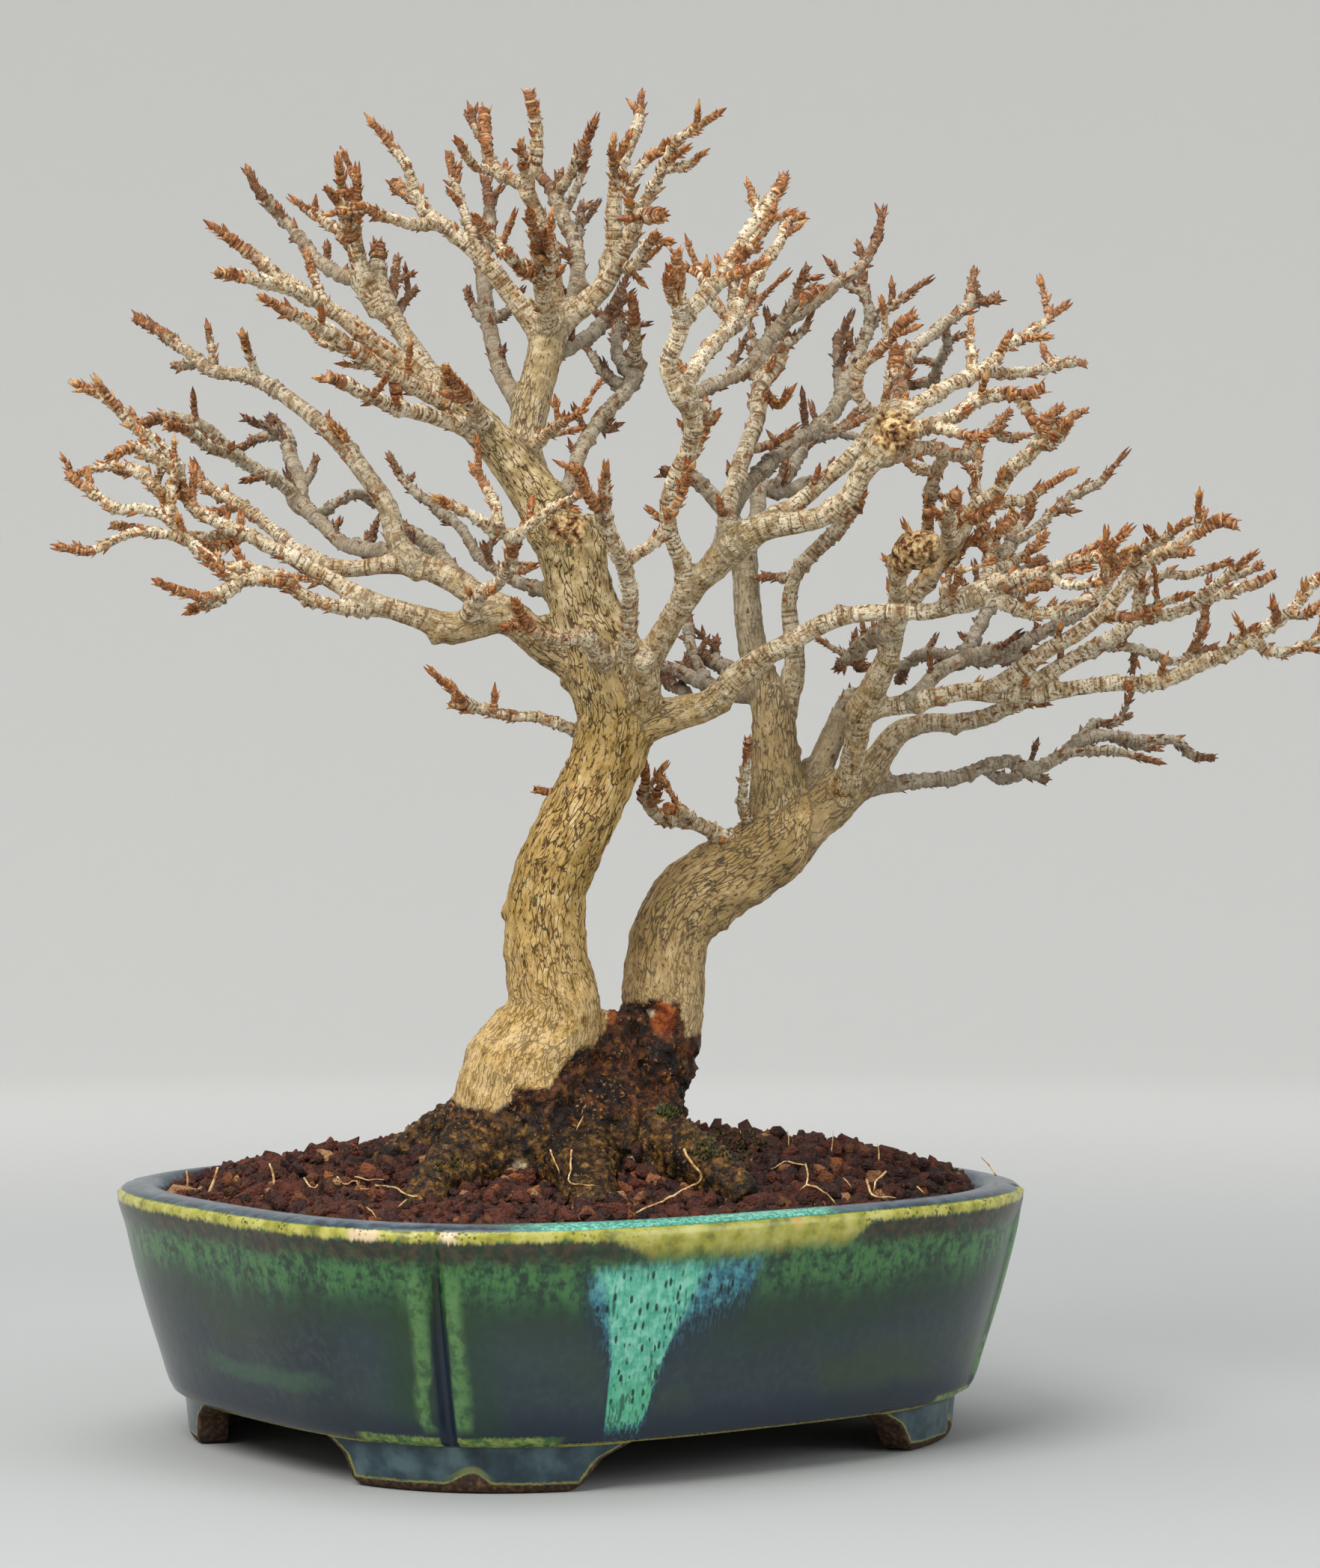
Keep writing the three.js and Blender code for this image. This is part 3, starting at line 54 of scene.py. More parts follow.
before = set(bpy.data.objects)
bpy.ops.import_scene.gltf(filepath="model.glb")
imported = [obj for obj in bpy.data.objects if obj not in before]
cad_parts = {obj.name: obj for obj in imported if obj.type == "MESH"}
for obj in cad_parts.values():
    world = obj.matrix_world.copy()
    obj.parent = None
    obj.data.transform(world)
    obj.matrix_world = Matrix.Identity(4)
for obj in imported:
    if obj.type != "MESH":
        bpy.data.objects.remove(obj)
# Without a seed, noise_vector() takes its offsets from the clock
noise.seed_set(1)

MM = 0.001
POT_LOW, POT_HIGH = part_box("pot")
RIM_LENGTH = (POT_HIGH.x - POT_LOW.x) / MM
RIM_WIDTH = (POT_HIGH.y - POT_LOW.y) / MM
HALF = RIM_LENGTH / 2
POT_MIDDLE = np.array([(POT_LOW.x + POT_HIGH.x) / 2, (POT_LOW.y + POT_HIGH.y) / 2, 0.0])

# Where the tree's lines are seen from, in the pot's frame: the eye's distance, height and place to the
# right of the pot's middle, how far the pot is turned from it, and how far it looks down.
EYE_DISTANCE = 1208.0
EYE_HEIGHT = 188.3
EYE_ACROSS = 24.9
EYE_TURN = math.radians(35.7)
EYE_DIP = 0.006
EYE_LENS = 99.34
COS, SIN = math.cos(EYE_TURN), math.sin(EYE_TURN)


def in_row(points):
    """Points of the pot's frame, in millimetres, as points of the row frame in metres."""
    return np.asarray(points, float) * MM + POT_MIDDLE


def from_row(points):
    return (np.asarray(points, float) - POT_MIDDLE) / MM


def sighted(across, up, toward):
    """The place of a point that is seen at (across, up) on the upright plane through the pot's middle."""
    across, up, toward = np.broadcast_arrays(*np.asarray([across, up, toward], object))
    across, up, toward = (np.asarray(v, float) for v in (across, up, toward))
    nearer = 1 - toward / EYE_DISTANCE
    side = EYE_ACROSS + (across - EYE_ACROSS) * nearer
    height = EYE_HEIGHT + (up - EYE_HEIGHT) * nearer
    return np.stack([side * COS - toward * SIN, -side * SIN - toward * COS, height], -1)


def seen(points):
    """How far across, up and toward the eye points lie: the reverse of sighted()."""
    x, y, z = np.asarray(points, float).T
    side = x * COS - y * SIN
    toward = -x * SIN - y * COS
    nearer = 1 - toward / EYE_DISTANCE
    return EYE_ACROSS + (side - EYE_ACROSS) / nearer, EYE_HEIGHT + (z - EYE_HEIGHT) / nearer, toward


def draw_from(seed):
    """A repeatable stream of numbers between 0 and 1."""
    state = seed

    def draw():
        nonlocal state
        state = (state * 1664525 + 1013904223) % 4294967296
        return state / 4294967296

    return draw


def paint(code):
    """A colour written as six hexadecimal digits, in linear light."""
    shares = [int(code[i : i + 2], 16) / 255 for i in (0, 2, 4)]
    return tuple(s / 12.92 if s <= 0.04045 else ((s + 0.055) / 1.055) ** 2.4 for s in shares) + (1.0,)


def smoothstep(value, low, high):
    share = np.clip((value - low) / (high - low), 0, 1)
    return share * share * (3 - 2 * share)


def bell(value, width):
    return np.exp(-((value / width) ** 2))


# Meshes


def linked(name, mesh):
    made = bpy.data.objects.new(name, mesh)
    bpy.context.scene.collection.objects.link(made)
    return made


def from_bmesh(name, bm):
    mesh = bpy.data.meshes.new(name)
    bm.to_mesh(mesh)
    bm.free()
    return linked(name, mesh)


def applied(made):
    """Applies an object's modifiers or curve settings, and leaves it a plain mesh."""
    bpy.context.view_layer.update()
    depsgraph = bpy.context.evaluated_depsgraph_get()
    mesh = bpy.data.meshes.new_from_object(made.evaluated_get(depsgraph))
    name = made.name
    bpy.data.objects.remove(made)
    mesh.name = name
    return linked(name, mesh)


def vectors_of(items, field):
    """A vector field of all the vertices or faces of a mesh, as rows."""
    values = np.empty(len(items) * 3, np.float32)
    items.foreach_get(field, values)
    return values.reshape(-1, 3).astype(float)


def places_of(mesh):
    return vectors_of(mesh.vertices, "co")


def set_places(mesh, places):
    mesh.vertices.foreach_set("co", np.ascontiguousarray(places, np.float32).ravel())
    mesh.update()


def runs_of(count, size):
    """Slices that cover a count in runs of a size, so that no table grows too large."""
    return [slice(start, start + size) for start in range(0, count, size)]


def set_attribute(mesh, name, values):
    """Stores a number or a vector at each vertex, for the finishes to read."""
    values = np.ascontiguousarray(values, np.float32)
    kind, field = ("FLOAT", "value") if values.ndim == 1 else ("FLOAT_VECTOR", "vector")
    mesh.attributes.new(name, kind, "POINT").data.foreach_set(field, values.ravel())


def weld(mesh, distance=1e-6):
    bm = bmesh.new()
    bm.from_mesh(mesh)
    bmesh.ops.remove_doubles(bm, verts=bm.verts, dist=distance)
    bmesh.ops.recalc_face_normals(bm, faces=bm.faces)
    bm.to_mesh(mesh)
    bm.free()


def seated(piece, finish, slot, *nodes):
    """Gives a finished piece its material, hides the nodes it stands for, and rides it. Its slot is not used.
    """
    piece.data.materials.clear()
    piece.data.materials.append(finish)
    piece.data.shade_smooth()
    if nodes:
        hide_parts(*nodes)
    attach(piece, "root")
    return piece


def scattered(name, prototypes, kinds, matrices, **values):
    """One mesh of many copies: copy i is prototype kinds[i] moved by matrices[i]. Each value is kept at
    all the vertices of its copy, and "high" keeps each vertex's own height in its prototype."""
    shapes = []
    for prototype in prototypes:
        places = places_of(prototype.data)
        faces = np.array([tuple(face.vertices) for face in prototype.data.polygons])
        shapes.append((places, faces))
    places, faces, owner, high, first = [], [], [], [], 0
    for i, (kind, matrix) in enumerate(zip(kinds, matrices)):
        shape, corners = shapes[kind]
        places.append(shape @ matrix[:3, :3].T + matrix[:3, 3])
        faces.append(corners + first)
        owner.append(np.full(len(shape), i))
        high.append(shape[:, 2])
        first += len(shape)
    owner = np.concatenate(owner)
    mesh = bpy.data.meshes.new(name)
    mesh.from_pydata(np.concatenate(places).tolist(), [], np.concatenate(faces).tolist())
    set_attribute(mesh, "high", np.concatenate(high))
    for key, value in values.items():
        set_attribute(mesh, key, np.asarray(value)[owner])
    return linked(name, mesh)


def turned(direction, spin, size, place):
    """A matrix that points +Z along a direction, spins about it, sizes and places, in metres."""
    turn = Vector(direction).to_track_quat("Z", "Y").to_matrix() @ Matrix.Rotation(spin, 3, "Z")
    matrix = np.eye(4)
    matrix[:3, :3] = np.array(turn) * np.asarray(size, float)
    matrix[:3, 3] = place
    return matrix


class Line:
    """A smooth line through points, measured along its length, as a centripetal spline."""

    divisions = 200

    def __init__(self, points):
        self.points = np.asarray(points, float)
        self.shares = np.linspace(0, 1, self.divisions + 1)
        steps = np.diff(self.at_share(self.shares), axis=0)
        self.lengths = np.concatenate([[0], np.cumsum(np.linalg.norm(steps, axis=1))])
        self.length = self.lengths[-1]

    def at_share(self, shares):
        points, last = self.points, len(self.points) - 1
        place = np.atleast_1d(np.clip(shares, 0, 1)) * last
        before = np.minimum(place.astype(int), last - 1)
        weight = (place - before)[:, None]
        ends = np.vstack([2 * points[0] - points[1], points, 2 * points[-1] - points[-2]])
        p0, p1, p2, p3 = (ends[before + i] for i in range(4))
        d0, d1, d2 = (
            np.sqrt(np.linalg.norm(b - a, axis=1))[:, None] for a, b in ((p0, p1), (p1, p2), (p2, p3))
        )
        t1 = ((p1 - p0) / d0 - (p2 - p0) / (d0 + d1) + (p2 - p1) / d1) * d1
        t2 = ((p2 - p1) / d1 - (p3 - p1) / (d1 + d2) + (p3 - p2) / d2) * d1
        square, cube = weight**2, weight**3
        bend = -3 * p1 + 3 * p2 - 2 * t1 - t2
        return p1 + t1 * weight + bend * square + (2 * p1 - 2 * p2 + t1 + t2) * cube

    def share(self, distances):
        return np.interp(distances, self.lengths, self.shares)

    def at(self, distances):
        return self.at_share(self.share(distances))

    def frames(self, distances):
        """Tangents, normals and binormals that turn as little as they can along the line."""
        small = 1e-4
        shares = self.share(distances)
        ahead = self.at_share(np.minimum(shares + small, 1))
        tangents = ahead - self.at_share(np.maximum(shares - small, 0))
        tangents /= np.linalg.norm(tangents, axis=1)[:, None]
        start = np.zeros(3)
        start[2 - int(np.argmin(np.abs(tangents[0])[::-1]))] = 1
        across = np.cross(tangents[0], start)
        across /= np.linalg.norm(across)
        normals = [np.cross(tangents[0], across)]
        for before, after in zip(tangents[:-1], tangents[1:]):
            axis = np.cross(before, after)
            size = np.linalg.norm(axis)
            normal = Vector(normals[-1])
            if size > 1e-12:
                angle = math.acos(float(np.clip(before @ after, -1, 1)))
                normal.rotate(Matrix.Rotation(angle, 3, Vector(axis / size)))
            normals.append(np.array(normal))
        normals = np.array(normals)
        return tangents, normals, np.cross(tangents, normals)


def spun(name, points, steps):
    """A section of (reach, height) points spun once round the upright axis into a skin."""
    bm = bmesh.new()
    verts = [bm.verts.new((reach, 0, high)) for reach, high in points]
    edges = [bm.edges.new(pair) for pair in zip(verts, verts[1:])]
    section = verts + edges
    bmesh.ops.spin(
        bm, geom=section, cent=(0, 0, 0), axis=(0, 0, 1), angle=math.tau, steps=steps, use_merge=True
    )
    return from_bmesh(name, bm)


def tubes(name, strands, sides):
    """Round tubes along lines of (places, radii), in millimetres, as one mesh in the row frame."""
    curve = bpy.data.curves.new(name, "CURVE")
    curve.dimensions = "3D"
    curve.bevel_depth = MM
    curve.bevel_resolution = (sides - 4) // 2
    curve.use_fill_caps = True
    for places, radii in strands:
        spline = curve.splines.new("POLY")
        spline.points.add(len(places) - 1)
        rows = np.ones((len(places), 4), np.float32)
        rows[:, :3] = in_row(places)
        spline.points.foreach_set("co", rows.ravel())
        spline.points.foreach_set("radius", np.asarray(radii, np.float32))
    made = applied(linked(name, curve))
    bpy.data.curves.remove(curve)
    return made


# Each limb is its name, the limb it grows from or its first lean, its last lean, its end, and the points
# of its line, ended by a semicolon. A point is across, up and radius in tenths of a millimetre, as seen
# from the eye on an upright plane through the pot's middle. A lean is how far a point lies toward the eye.

LIMBS = """
frontTrunk 4 15 cut -110,620,280 -110,800,250 -120,930,205 -110,1020,186 -75,1100,160 -50,1180,132
  -62,1280,120 -73,1400,114 -63,1500,111 -30,1610,110 25,1720,103 80,1830,101 115,1930,103 125,2020,110
  110,2110,122 80,2200,110 40,2290,96 15,2390,93 5,2480,96 0,2560,75;
rearTrunk -6 -22 cut 140,640,240 160,840,180 190,960,130 225,1050,122 250,1130,117 260,1220,116 265,1320,112
  286,1410,112 340,1485,118 420,1540,116 500,1590,110 570,1645,104 610,1710,80;
rootCrown 0 -2 cut -40,520,340 -30,660,350 -10,760,320 20,860,250 50,970,180 85,1070,120 120,1170,50;
leftRoot rootCrown 8 cut -160,900,130 -300,845,90 -420,790,70 -560,700,50 -660,620,30;
nearLeftRoot rootCrown 62 cut -160,820,150 -260,760,120 -360,690,80 -440,600,50;
nearRoot rootCrown 70 cut -20,820,150 0,770,130 40,700,90 60,610,55;
nearRightRoot rootCrown 56 cut 140,840,130 260,790,105 380,730,80 500,640,50;
rightRoot rootCrown -8 cut 180,840,110 340,770,75 500,730,55 660,660,35;
farRightRoot rootCrown -58 cut 140,840,120 240,790,80 340,760,60 420,710,35;
farLeftRoot rootCrown -60 cut -160,840,120 -260,800,90 -360,770,60 -460,710,35;
lowLeft frontTrunk 24 cut 60,2140,70 -60,2190,52 -180,2275,46 -280,2255,44 -340,2245,46 -420,2275,34
  -520,2305,30 -590,2325,28;
lowLeftUpper lowLeft 26 bud -570,2320,26 -660,2375,26 -750,2425,22 -840,2475,20 -910,2510,19 -990,2545,18
  -1050,2580,17 -1085,2640,16 -1100,2700,15 -1150,2760,14 -1200,2795,14 -1250,2845,14 -1300,2890,13
  -1375,2925,10;
lowLeftUnder lowLeft 44 bud -560,2300,22 -680,2310,19 -750,2340,19 -800,2375,19 -900,2380,16 -960,2355,15
  -1020,2330,14 -1080,2345,14 -1150,2375,10;
greenLeft lowLeftUnder 30 bud -790,2380,18 -880,2410,20 -980,2420,19 -1070,2485,17 -1110,2540,15 -1180,2578,16
  -1270,2580,15 -1330,2620,15 -1395,2668,10;
leftmost greenLeft 44 bud -1070,2490,15 -1140,2510,13 -1210,2515,12 -1290,2485,12 -1340,2460,12 -1425,2472,9;
leftTop lowLeftUpper 6 bud -1080,2620,16 -1150,2630,17 -1200,2680,16 -1250,2695,13 -1290,2700,12 -1390,2670,9;
leftKnuckle lowLeftUpper 38 bud -1090,2680,16 -1170,2720,16 -1220,2750,15 -1280,2725,10;
midLeft lowLeft 12 cut -160,2280,42 -250,2330,38 -340,2385,34 -420,2420,30 -500,2423,27 -600,2413,25
  -680,2410,25;
midLeftEnd midLeft -14 bud -660,2410,24 -750,2455,20 -830,2515,18 -900,2575,18 -970,2610,18 -1030,2650,16
  -1050,2700,10;
pale midLeft -26 cut -440,2430,34 -485,2490,32 -510,2580,30 -570,2670,28 -640,2760,27 -720,2835,25
  -800,2895,23 -880,2945,20 -980,2960,19 -1050,2995,18 -1120,3055,17 -1215,3112,13;
rearLeft midLeft -48 cut -380,2410,28 -500,2455,25 -580,2465,24 -640,2485,23 -700,2545,22 -760,2595,24;
rearLeftLong rearLeft -30 cut -750,2590,21 -800,2645,20 -880,2688,19 -950,2740,20 -1020,2800,19 -1090,2830,17
  -1160,2830,15 -1210,2800,12;
rearLeftLow rearLeftLong -12 cut -940,2730,16 -1000,2745,16 -1070,2795,14 -1130,2815,12;
rearLeftUp rearLeft -78 cut -760,2590,25 -755,2650,25 -780,2720,22 -800,2790,19 -840,2835,16;
rearLeftTwig rearLeftUp -88 cut -800,2780,13 -860,2780,12 -920,2750,11;
rearLink rearLeft -66 cut -700,2565,14 -650,2595,13 -600,2620,15 -535,2590,16;
rearSpur midLeft -36 bud -310,2380,24 -380,2465,22 -440,2505,18 -470,2535,10;
slender frontTrunk -46 bud -20,2340,26 -120,2365,19 -200,2405,16 -260,2450,15 -300,2520,15 -370,2575,14
  -440,2630,12 -480,2680,11 -505,2725,8;
nearLeft lowLeft 62 cut -290,2260,23 -260,2330,20 -200,2370,17 -170,2435,18 -155,2505,19;
nearLeftOut nearLeft 78 bud -155,2500,18 -220,2525,17 -275,2560,14 -370,2605,9;
nearLeftUp nearLeftOut 58 bud -200,2525,15 -220,2610,14 -270,2688,9;
nearLeftIn nearLeft 74 bud -155,2500,15 -60,2575,13 10,2610,12 40,2640,12 15,2690,9;
lowTwig frontTrunk 34 bud 60,1950,24 -20,1975,16 -100,1995,15 -200,2005,14 -290,2040,12 -385,2120,7;
nearShoot frontTrunk 62 bud 130,2080,40 90,2160,32 40,2220,25 -30,2210,18 -90,2230,16 -130,2270,15
  -155,2315,10;
nearUp frontTrunk 84 bud 150,2060,46 165,2140,34 160,2220,25 165,2320,21 155,2400,22 125,2480,20 100,2550,17
  95,2620,14 98,2695,9;
nearUpLeft nearUp 92 bud 95,2560,14 50,2610,13 15,2690,9;
nearUpRight nearUp 66 bud 145,2430,19 200,2460,16 250,2505,15 285,2565,14 310,2630,13 325,2705,9;
nearCallus frontTrunk 34 cut 170,2000,55 200,2060,50 210,2120,40 205,2170,28;
bigLeft frontTrunk 8 cut -30,2500,80 -90,2600,66 -150,2680,60 -200,2750,56 -260,2820,50 -320,2875,44;
bigLeftRise bigLeft -22 cut -310,2870,40 -380,2940,32 -430,3010,29 -480,3085,28 -520,3160,32 -540,3240,28
  -535,3320,16;
leftFan bigLeftRise -4 bud -530,3120,32 -575,3200,31 -595,3280,26 -605,3360,22 -600,3440,16 -595,3520,9;
fanTall leftFan 12 bud -600,3320,20 -630,3390,17 -635,3460,15 -648,3550,9;
fanLeft leftFan -16 bud -590,3290,18 -645,3350,16 -700,3390,14 -765,3435,8;
fanLong leftFan -40 bud -570,3210,21 -660,3240,20 -720,3290,18 -780,3360,16 -830,3420,15 -875,3470,13
  -900,3525,8;
reach bigLeft 28 bud -310,2875,38 -400,2930,32 -490,3000,30 -560,3050,27 -640,3115,24 -720,3165,23
  -800,3215,21 -870,3270,18 -930,3320,16 -1000,3368,9;
reachLow reach 50 cut -720,3165,19 -790,3190,18 -860,3215,17 -985,3238,11;
reachUnder bigLeft 52 bud -310,2860,30 -420,2910,24 -500,2955,23 -580,3005,23 -660,3060,20 -740,3105,17
  -800,3135,15 -860,3168,8;
lowReach bigLeft 60 cut -240,2780,32 -320,2815,26 -400,2840,23 -480,2860,22 -560,2890,18 -620,2925,15
  -680,2948,15;
frontSpur bigLeft 46 bud -230,2790,26 -270,2860,21 -310,2910,17 -350,2970,9;
leader frontTrunk -12 cut -40,2520,65 -100,2640,56 -130,2750,50 -110,2860,50 -85,2960,50 -65,3050,48
  -50,3120,46;
leaderLeft leader 6 bud -70,3050,36 -140,3140,30 -200,3220,28 -270,3300,26 -340,3360,24 -400,3400,22
  -435,3460,18 -460,3540,15 -505,3600,13 -555,3658,8;
leaderLeftLow leaderLeft 34 bud -360,3370,18 -440,3375,16 -520,3395,14 -590,3425,9;
leaderBack leader -54 cut -120,2840,30 -180,2930,26 -215,3030,25 -235,3140,24 -245,3250,23 -230,3350,19
  -225,3430,17 -240,3500,12;
leaderHook leaderLeft -18 cut -270,3310,16 -295,3400,13 -325,3490,12 -340,3570,10;
leaderMid leader 10 cut -50,3100,36 -50,3200,30 -60,3310,26 -95,3410,22 -125,3480,24 -100,3560,19 -95,3640,16
  -115,3745,16;
leaderMidLeft leaderMid -16 cut -125,3485,20 -190,3505,18 -225,3550,17 -240,3620,17 -240,3690,15;
leaderMidTip leaderMidLeft 10 bud -220,3525,14 -270,3535,13 -315,3605,8;
orangeUp leader 58 bud -60,3080,30 -80,3200,26 -90,3300,20 -115,3410,9;
orangeLeft orangeUp 66 bud -80,3210,18 -150,3260,15 -200,3315,14 -265,3390,9;
orangeRight orangeUp 50 bud -80,3190,18 -55,3270,15 -70,3345,9;
slimCentre leader -40 cut -30,3110,26 15,3200,25 15,3300,21 -20,3390,20 -50,3465,20 -90,3520,13;
slimRight slimCentre -22 bud -40,3450,17 5,3520,15 40,3600,15 65,3655,9;
leaderRight leader -4 cut -40,3090,36 40,3150,33 100,3215,31 120,3310,26 120,3420,24 130,3510,22;
rightPeak leaderRight -20 bud 130,3500,19 155,3580,18 185,3645,17 197,3733,8;
outerRight leaderRight 34 bud 120,3250,23 170,3330,21 195,3410,19 240,3490,16 270,3560,15 295,3605,14
  350,3640,12 413,3682,8;
outerRightIn outerRight 10 cut 160,3310,15 165,3410,13 170,3490,14 220,3555,13 280,3600,12;
roundKnob outerRight 26 cut 195,3400,18 225,3395,22 255,3398,15;
backBundle leader -56 bud -70,3000,28 10,3035,21 80,3085,19 150,3170,9;
shortRight bigLeft 40 bud -100,2760,20 -40,2810,13 32,2850,8;
olive leader -34 cut -70,2590,30 -10,2640,24 30,2745,21 90,2840,20 160,2915,22 190,2990,24;
oliveUp olive -12 bud 180,2960,19 180,3050,18 175,3120,15 170,3170,9;
oliveBack olive -60 bud 150,2910,18 100,2950,15 40,3035,9;
oliveDark olive -64 cut 180,2940,20 140,2990,19 125,3060,17 140,3120,13;
rise frontTrunk 34 cut 160,2060,50 220,2160,40 280,2265,37 340,2360,36 410,2425,38 475,2490,42;
riseNear rise 62 cut 320,2330,30 310,2425,26 280,2505,23 270,2590,24 295,2680,22 330,2750,24 340,2830,28
  310,2920,30;
star riseNear 70 cut 320,2880,28 270,2980,26 300,3060,25 310,3125,26;
starMast star 78 cut 310,3110,20 300,3210,17 293,3300,12;
starRight star 50 cut 320,3120,22 390,3190,23 450,3270,21 510,3365,18 560,3440,17 600,3505,11;
starRightIn starRight 64 bud 430,3240,16 500,3305,15 540,3360,14 565,3415,9;
starRightLow starRight 72 bud 410,3210,15 470,3235,14 540,3265,9;
plume riseNear -6 cut 310,2900,24 380,3025,20 440,3090,20 480,3170,17 530,3250,16 580,3320,15 615,3390,13
  650,3395,9;
plumeLow plume -22 bud 360,2990,17 420,3055,14 470,3090,13 532,3168,8;
riseRight rise 46 cut 460,2480,38 540,2525,36 630,2540,32 710,2560,30 780,2620,29 820,2690,32 880,2760,36;
crossRight rise 22 cut 470,2500,32 560,2555,26 640,2600,24 720,2670,24 790,2730,26 850,2800,32 890,2870,30
  905,2950,26 910,3030,18;
crossTwig crossRight 40 cut 860,2830,18 800,2900,16 810,2970,17 870,3030,16 920,3090,15 960,3120,14;
spray riseRight 10 bud 870,2750,26 950,2850,22 1030,2910,21 1110,2945,20 1170,2975,20 1205,3025,15
  1270,3065,13 1320,3100,12 1375,3142,8;
sprayOut spray -16 bud 1160,2965,16 1230,2955,15 1300,2965,14 1380,2985,12 1433,2985,9;
sprayLow riseRight 54 cut 890,2760,24 980,2805,22 1070,2835,21 1140,2885,19 1200,2900,19 1260,2895,16
  1320,2918,14;
sprayLowFork sprayLow 66 bud 1010,2815,16 1070,2790,14 1145,2775,9;
sprayTall spray -34 bud 900,2790,22 920,2930,19 950,3020,17 1010,3070,16 1060,3105,15 1110,3155,14
  1125,3240,8;
sprayDrop sprayTall -52 cut 1040,3095,13 1050,3030,13 1020,2970,13 1010,2910,13;
ladder riseRight -8 cut 880,2720,22 970,2745,20 1040,2740,19 1010,2660,17 1000,2570,17 995,2500,15;
ladderOut ladder -22 bud 1030,2740,15 1090,2725,14 1140,2775,13 1225,2848,8;
tower rise -18 cut 450,2470,30 435,2570,27 460,2660,26 490,2750,25 520,2830,25 530,2920,26 580,2990,22
  595,3070,16;
veil rise -48 cut 400,2430,24 460,2590,24 530,2685,22 610,2755,21 690,2805,20 750,2880,22 770,2950,23
  810,3030,18 835,3110,17 820,3180,14 805,3250,12;
veilTwig veil -34 bud 830,3100,15 880,3135,15 920,3160,12 988,3210,7;
veilSpur veil -20 bud 700,2810,15 760,2805,12 830,2840,9;
long tower -40 bud 330,2890,19 420,2935,20 500,2975,21 550,3045,21 610,3110,21 680,3155,20 750,3210,16
  810,3255,16 845,3310,15 870,3400,8;
longBack long -24 cut 610,3110,19 660,3165,18 705,3198,12;
lowRight frontTrunk 40 cut 120,1960,65 220,1985,56 310,2010,48 390,2035,42 460,2105,37 530,2160,33 620,2210,29
  710,2260,27 800,2285,25 920,2290,25 1010,2293,25 1080,2315,26 1140,2335,27;
lowRightUp lowRight 54 bud 1100,2325,23 1160,2365,21 1250,2383,19 1330,2400,18 1390,2430,16 1460,2445,15
  1500,2470,13 1547,2510,8;
lowRightFork lowRightUp 66 bud 1340,2400,14 1380,2370,13 1450,2370,12 1490,2400,13 1493,2505,7;
lowRightDown lowRight 34 bud 1120,2330,23 1200,2320,22 1270,2290,20 1350,2290,18 1420,2315,18 1480,2350,18
  1510,2400,16 1540,2430,9;
lowRightGreen lowRight 22 cut 1120,2335,19 1200,2345,18 1280,2355,15 1340,2370,12;
mast rearTrunk -30 cut 550,1630,90 570,1720,86 575,1810,78 570,1900,70 565,1990,62 570,2080,58;
mastLeft mast -44 cut 560,2040,50 520,2140,44 500,2240,41 490,2350,40 480,2460,36 440,2560,30 380,2630,24
  320,2680,19 250,2680,15;
mastBack mastLeft -76 bud 480,2440,30 520,2560,26 530,2640,24 580,2625,20 660,2650,18 710,2660,14 730,2710,8;
mastBackUp mastBack -92 cut 570,2620,20 620,2700,20 660,2770,17 740,2795,14 800,2850,10;
mastRight mast -20 cut 590,2020,40 625,2130,32 615,2240,26 610,2330,23 635,2410,22 700,2480,22 760,2540,22
  800,2600,20 815,2670,16;
veryBackLeft mast -58 cut 540,2070,32 460,2060,26 380,2090,22 300,2125,20 240,2135,20;
backStalk veryBackLeft -72 cut 380,2095,18 350,2150,17 330,2220,15 330,2290,10;
backKnob mastLeft -66 cut 500,2120,22 430,2135,20 370,2165,20;
whip rearTrunk 4 cut 520,1610,30 430,1663,24 340,1700,20 250,1718,18 205,1770,15 208,1830,13 195,1890,10;
whipKnob whip 12 cut 340,1705,16 315,1733,16 270,1740,14;
sidePole rearTrunk 4 cut 520,1680,20 480,1745,16 485,1830,13 495,1935,10;
fork rearTrunk -30 cut 580,1640,86 660,1705,74 730,1760,66 790,1820,56;
shortFat mast -52 cut 610,1740,46 680,1830,40 730,1940,38 770,2030,33 790,2070,24;
pillar fork 14 cut 730,1740,46 775,1830,38 795,1920,34 810,2010,40 850,2090,39 890,2180,32 900,2290,26;
callus pillar 56 cut 890,2220,26 910,2340,23 920,2420,30 965,2465,52 1010,2470,40;
arm pillar 34 cut 890,2240,26 970,2350,26 1030,2430,28 1085,2510,26 1130,2585,25 1190,2625,23 1220,2680,22
  1280,2730,21 1315,2780,20 1325,2840,15;
armThumb arm 56 cut 1070,2480,23 1050,2550,20 1075,2620,17;
armTip arm 18 bud 1320,2795,15 1360,2815,13 1432,2853,8;
armTipLow arm 48 bud 1300,2760,16 1340,2760,15 1370,2790,12 1392,2820,8;
armSide arm 16 bud 1120,2580,19 1190,2593,17 1260,2600,15 1320,2640,13 1395,2682,8;
armHook arm 8 cut 1060,2475,16 1130,2493,14 1195,2515,14 1240,2565,15;
ghost lowRight -20 cut 1100,2320,24 1180,2395,22 1220,2470,20 1250,2530,18 1285,2580,13;
ghostOut ghost -34 bud 1230,2485,15 1300,2525,14 1360,2585,12 1442,2650,7;
ghostNear ghost 0 bud 1190,2410,14 1250,2440,13 1325,2505,8;
prop lowRight -12 cut 1140,2340,18 1170,2420,18 1155,2510,16 1130,2580,14 1130,2670,12 1140,2750,10;
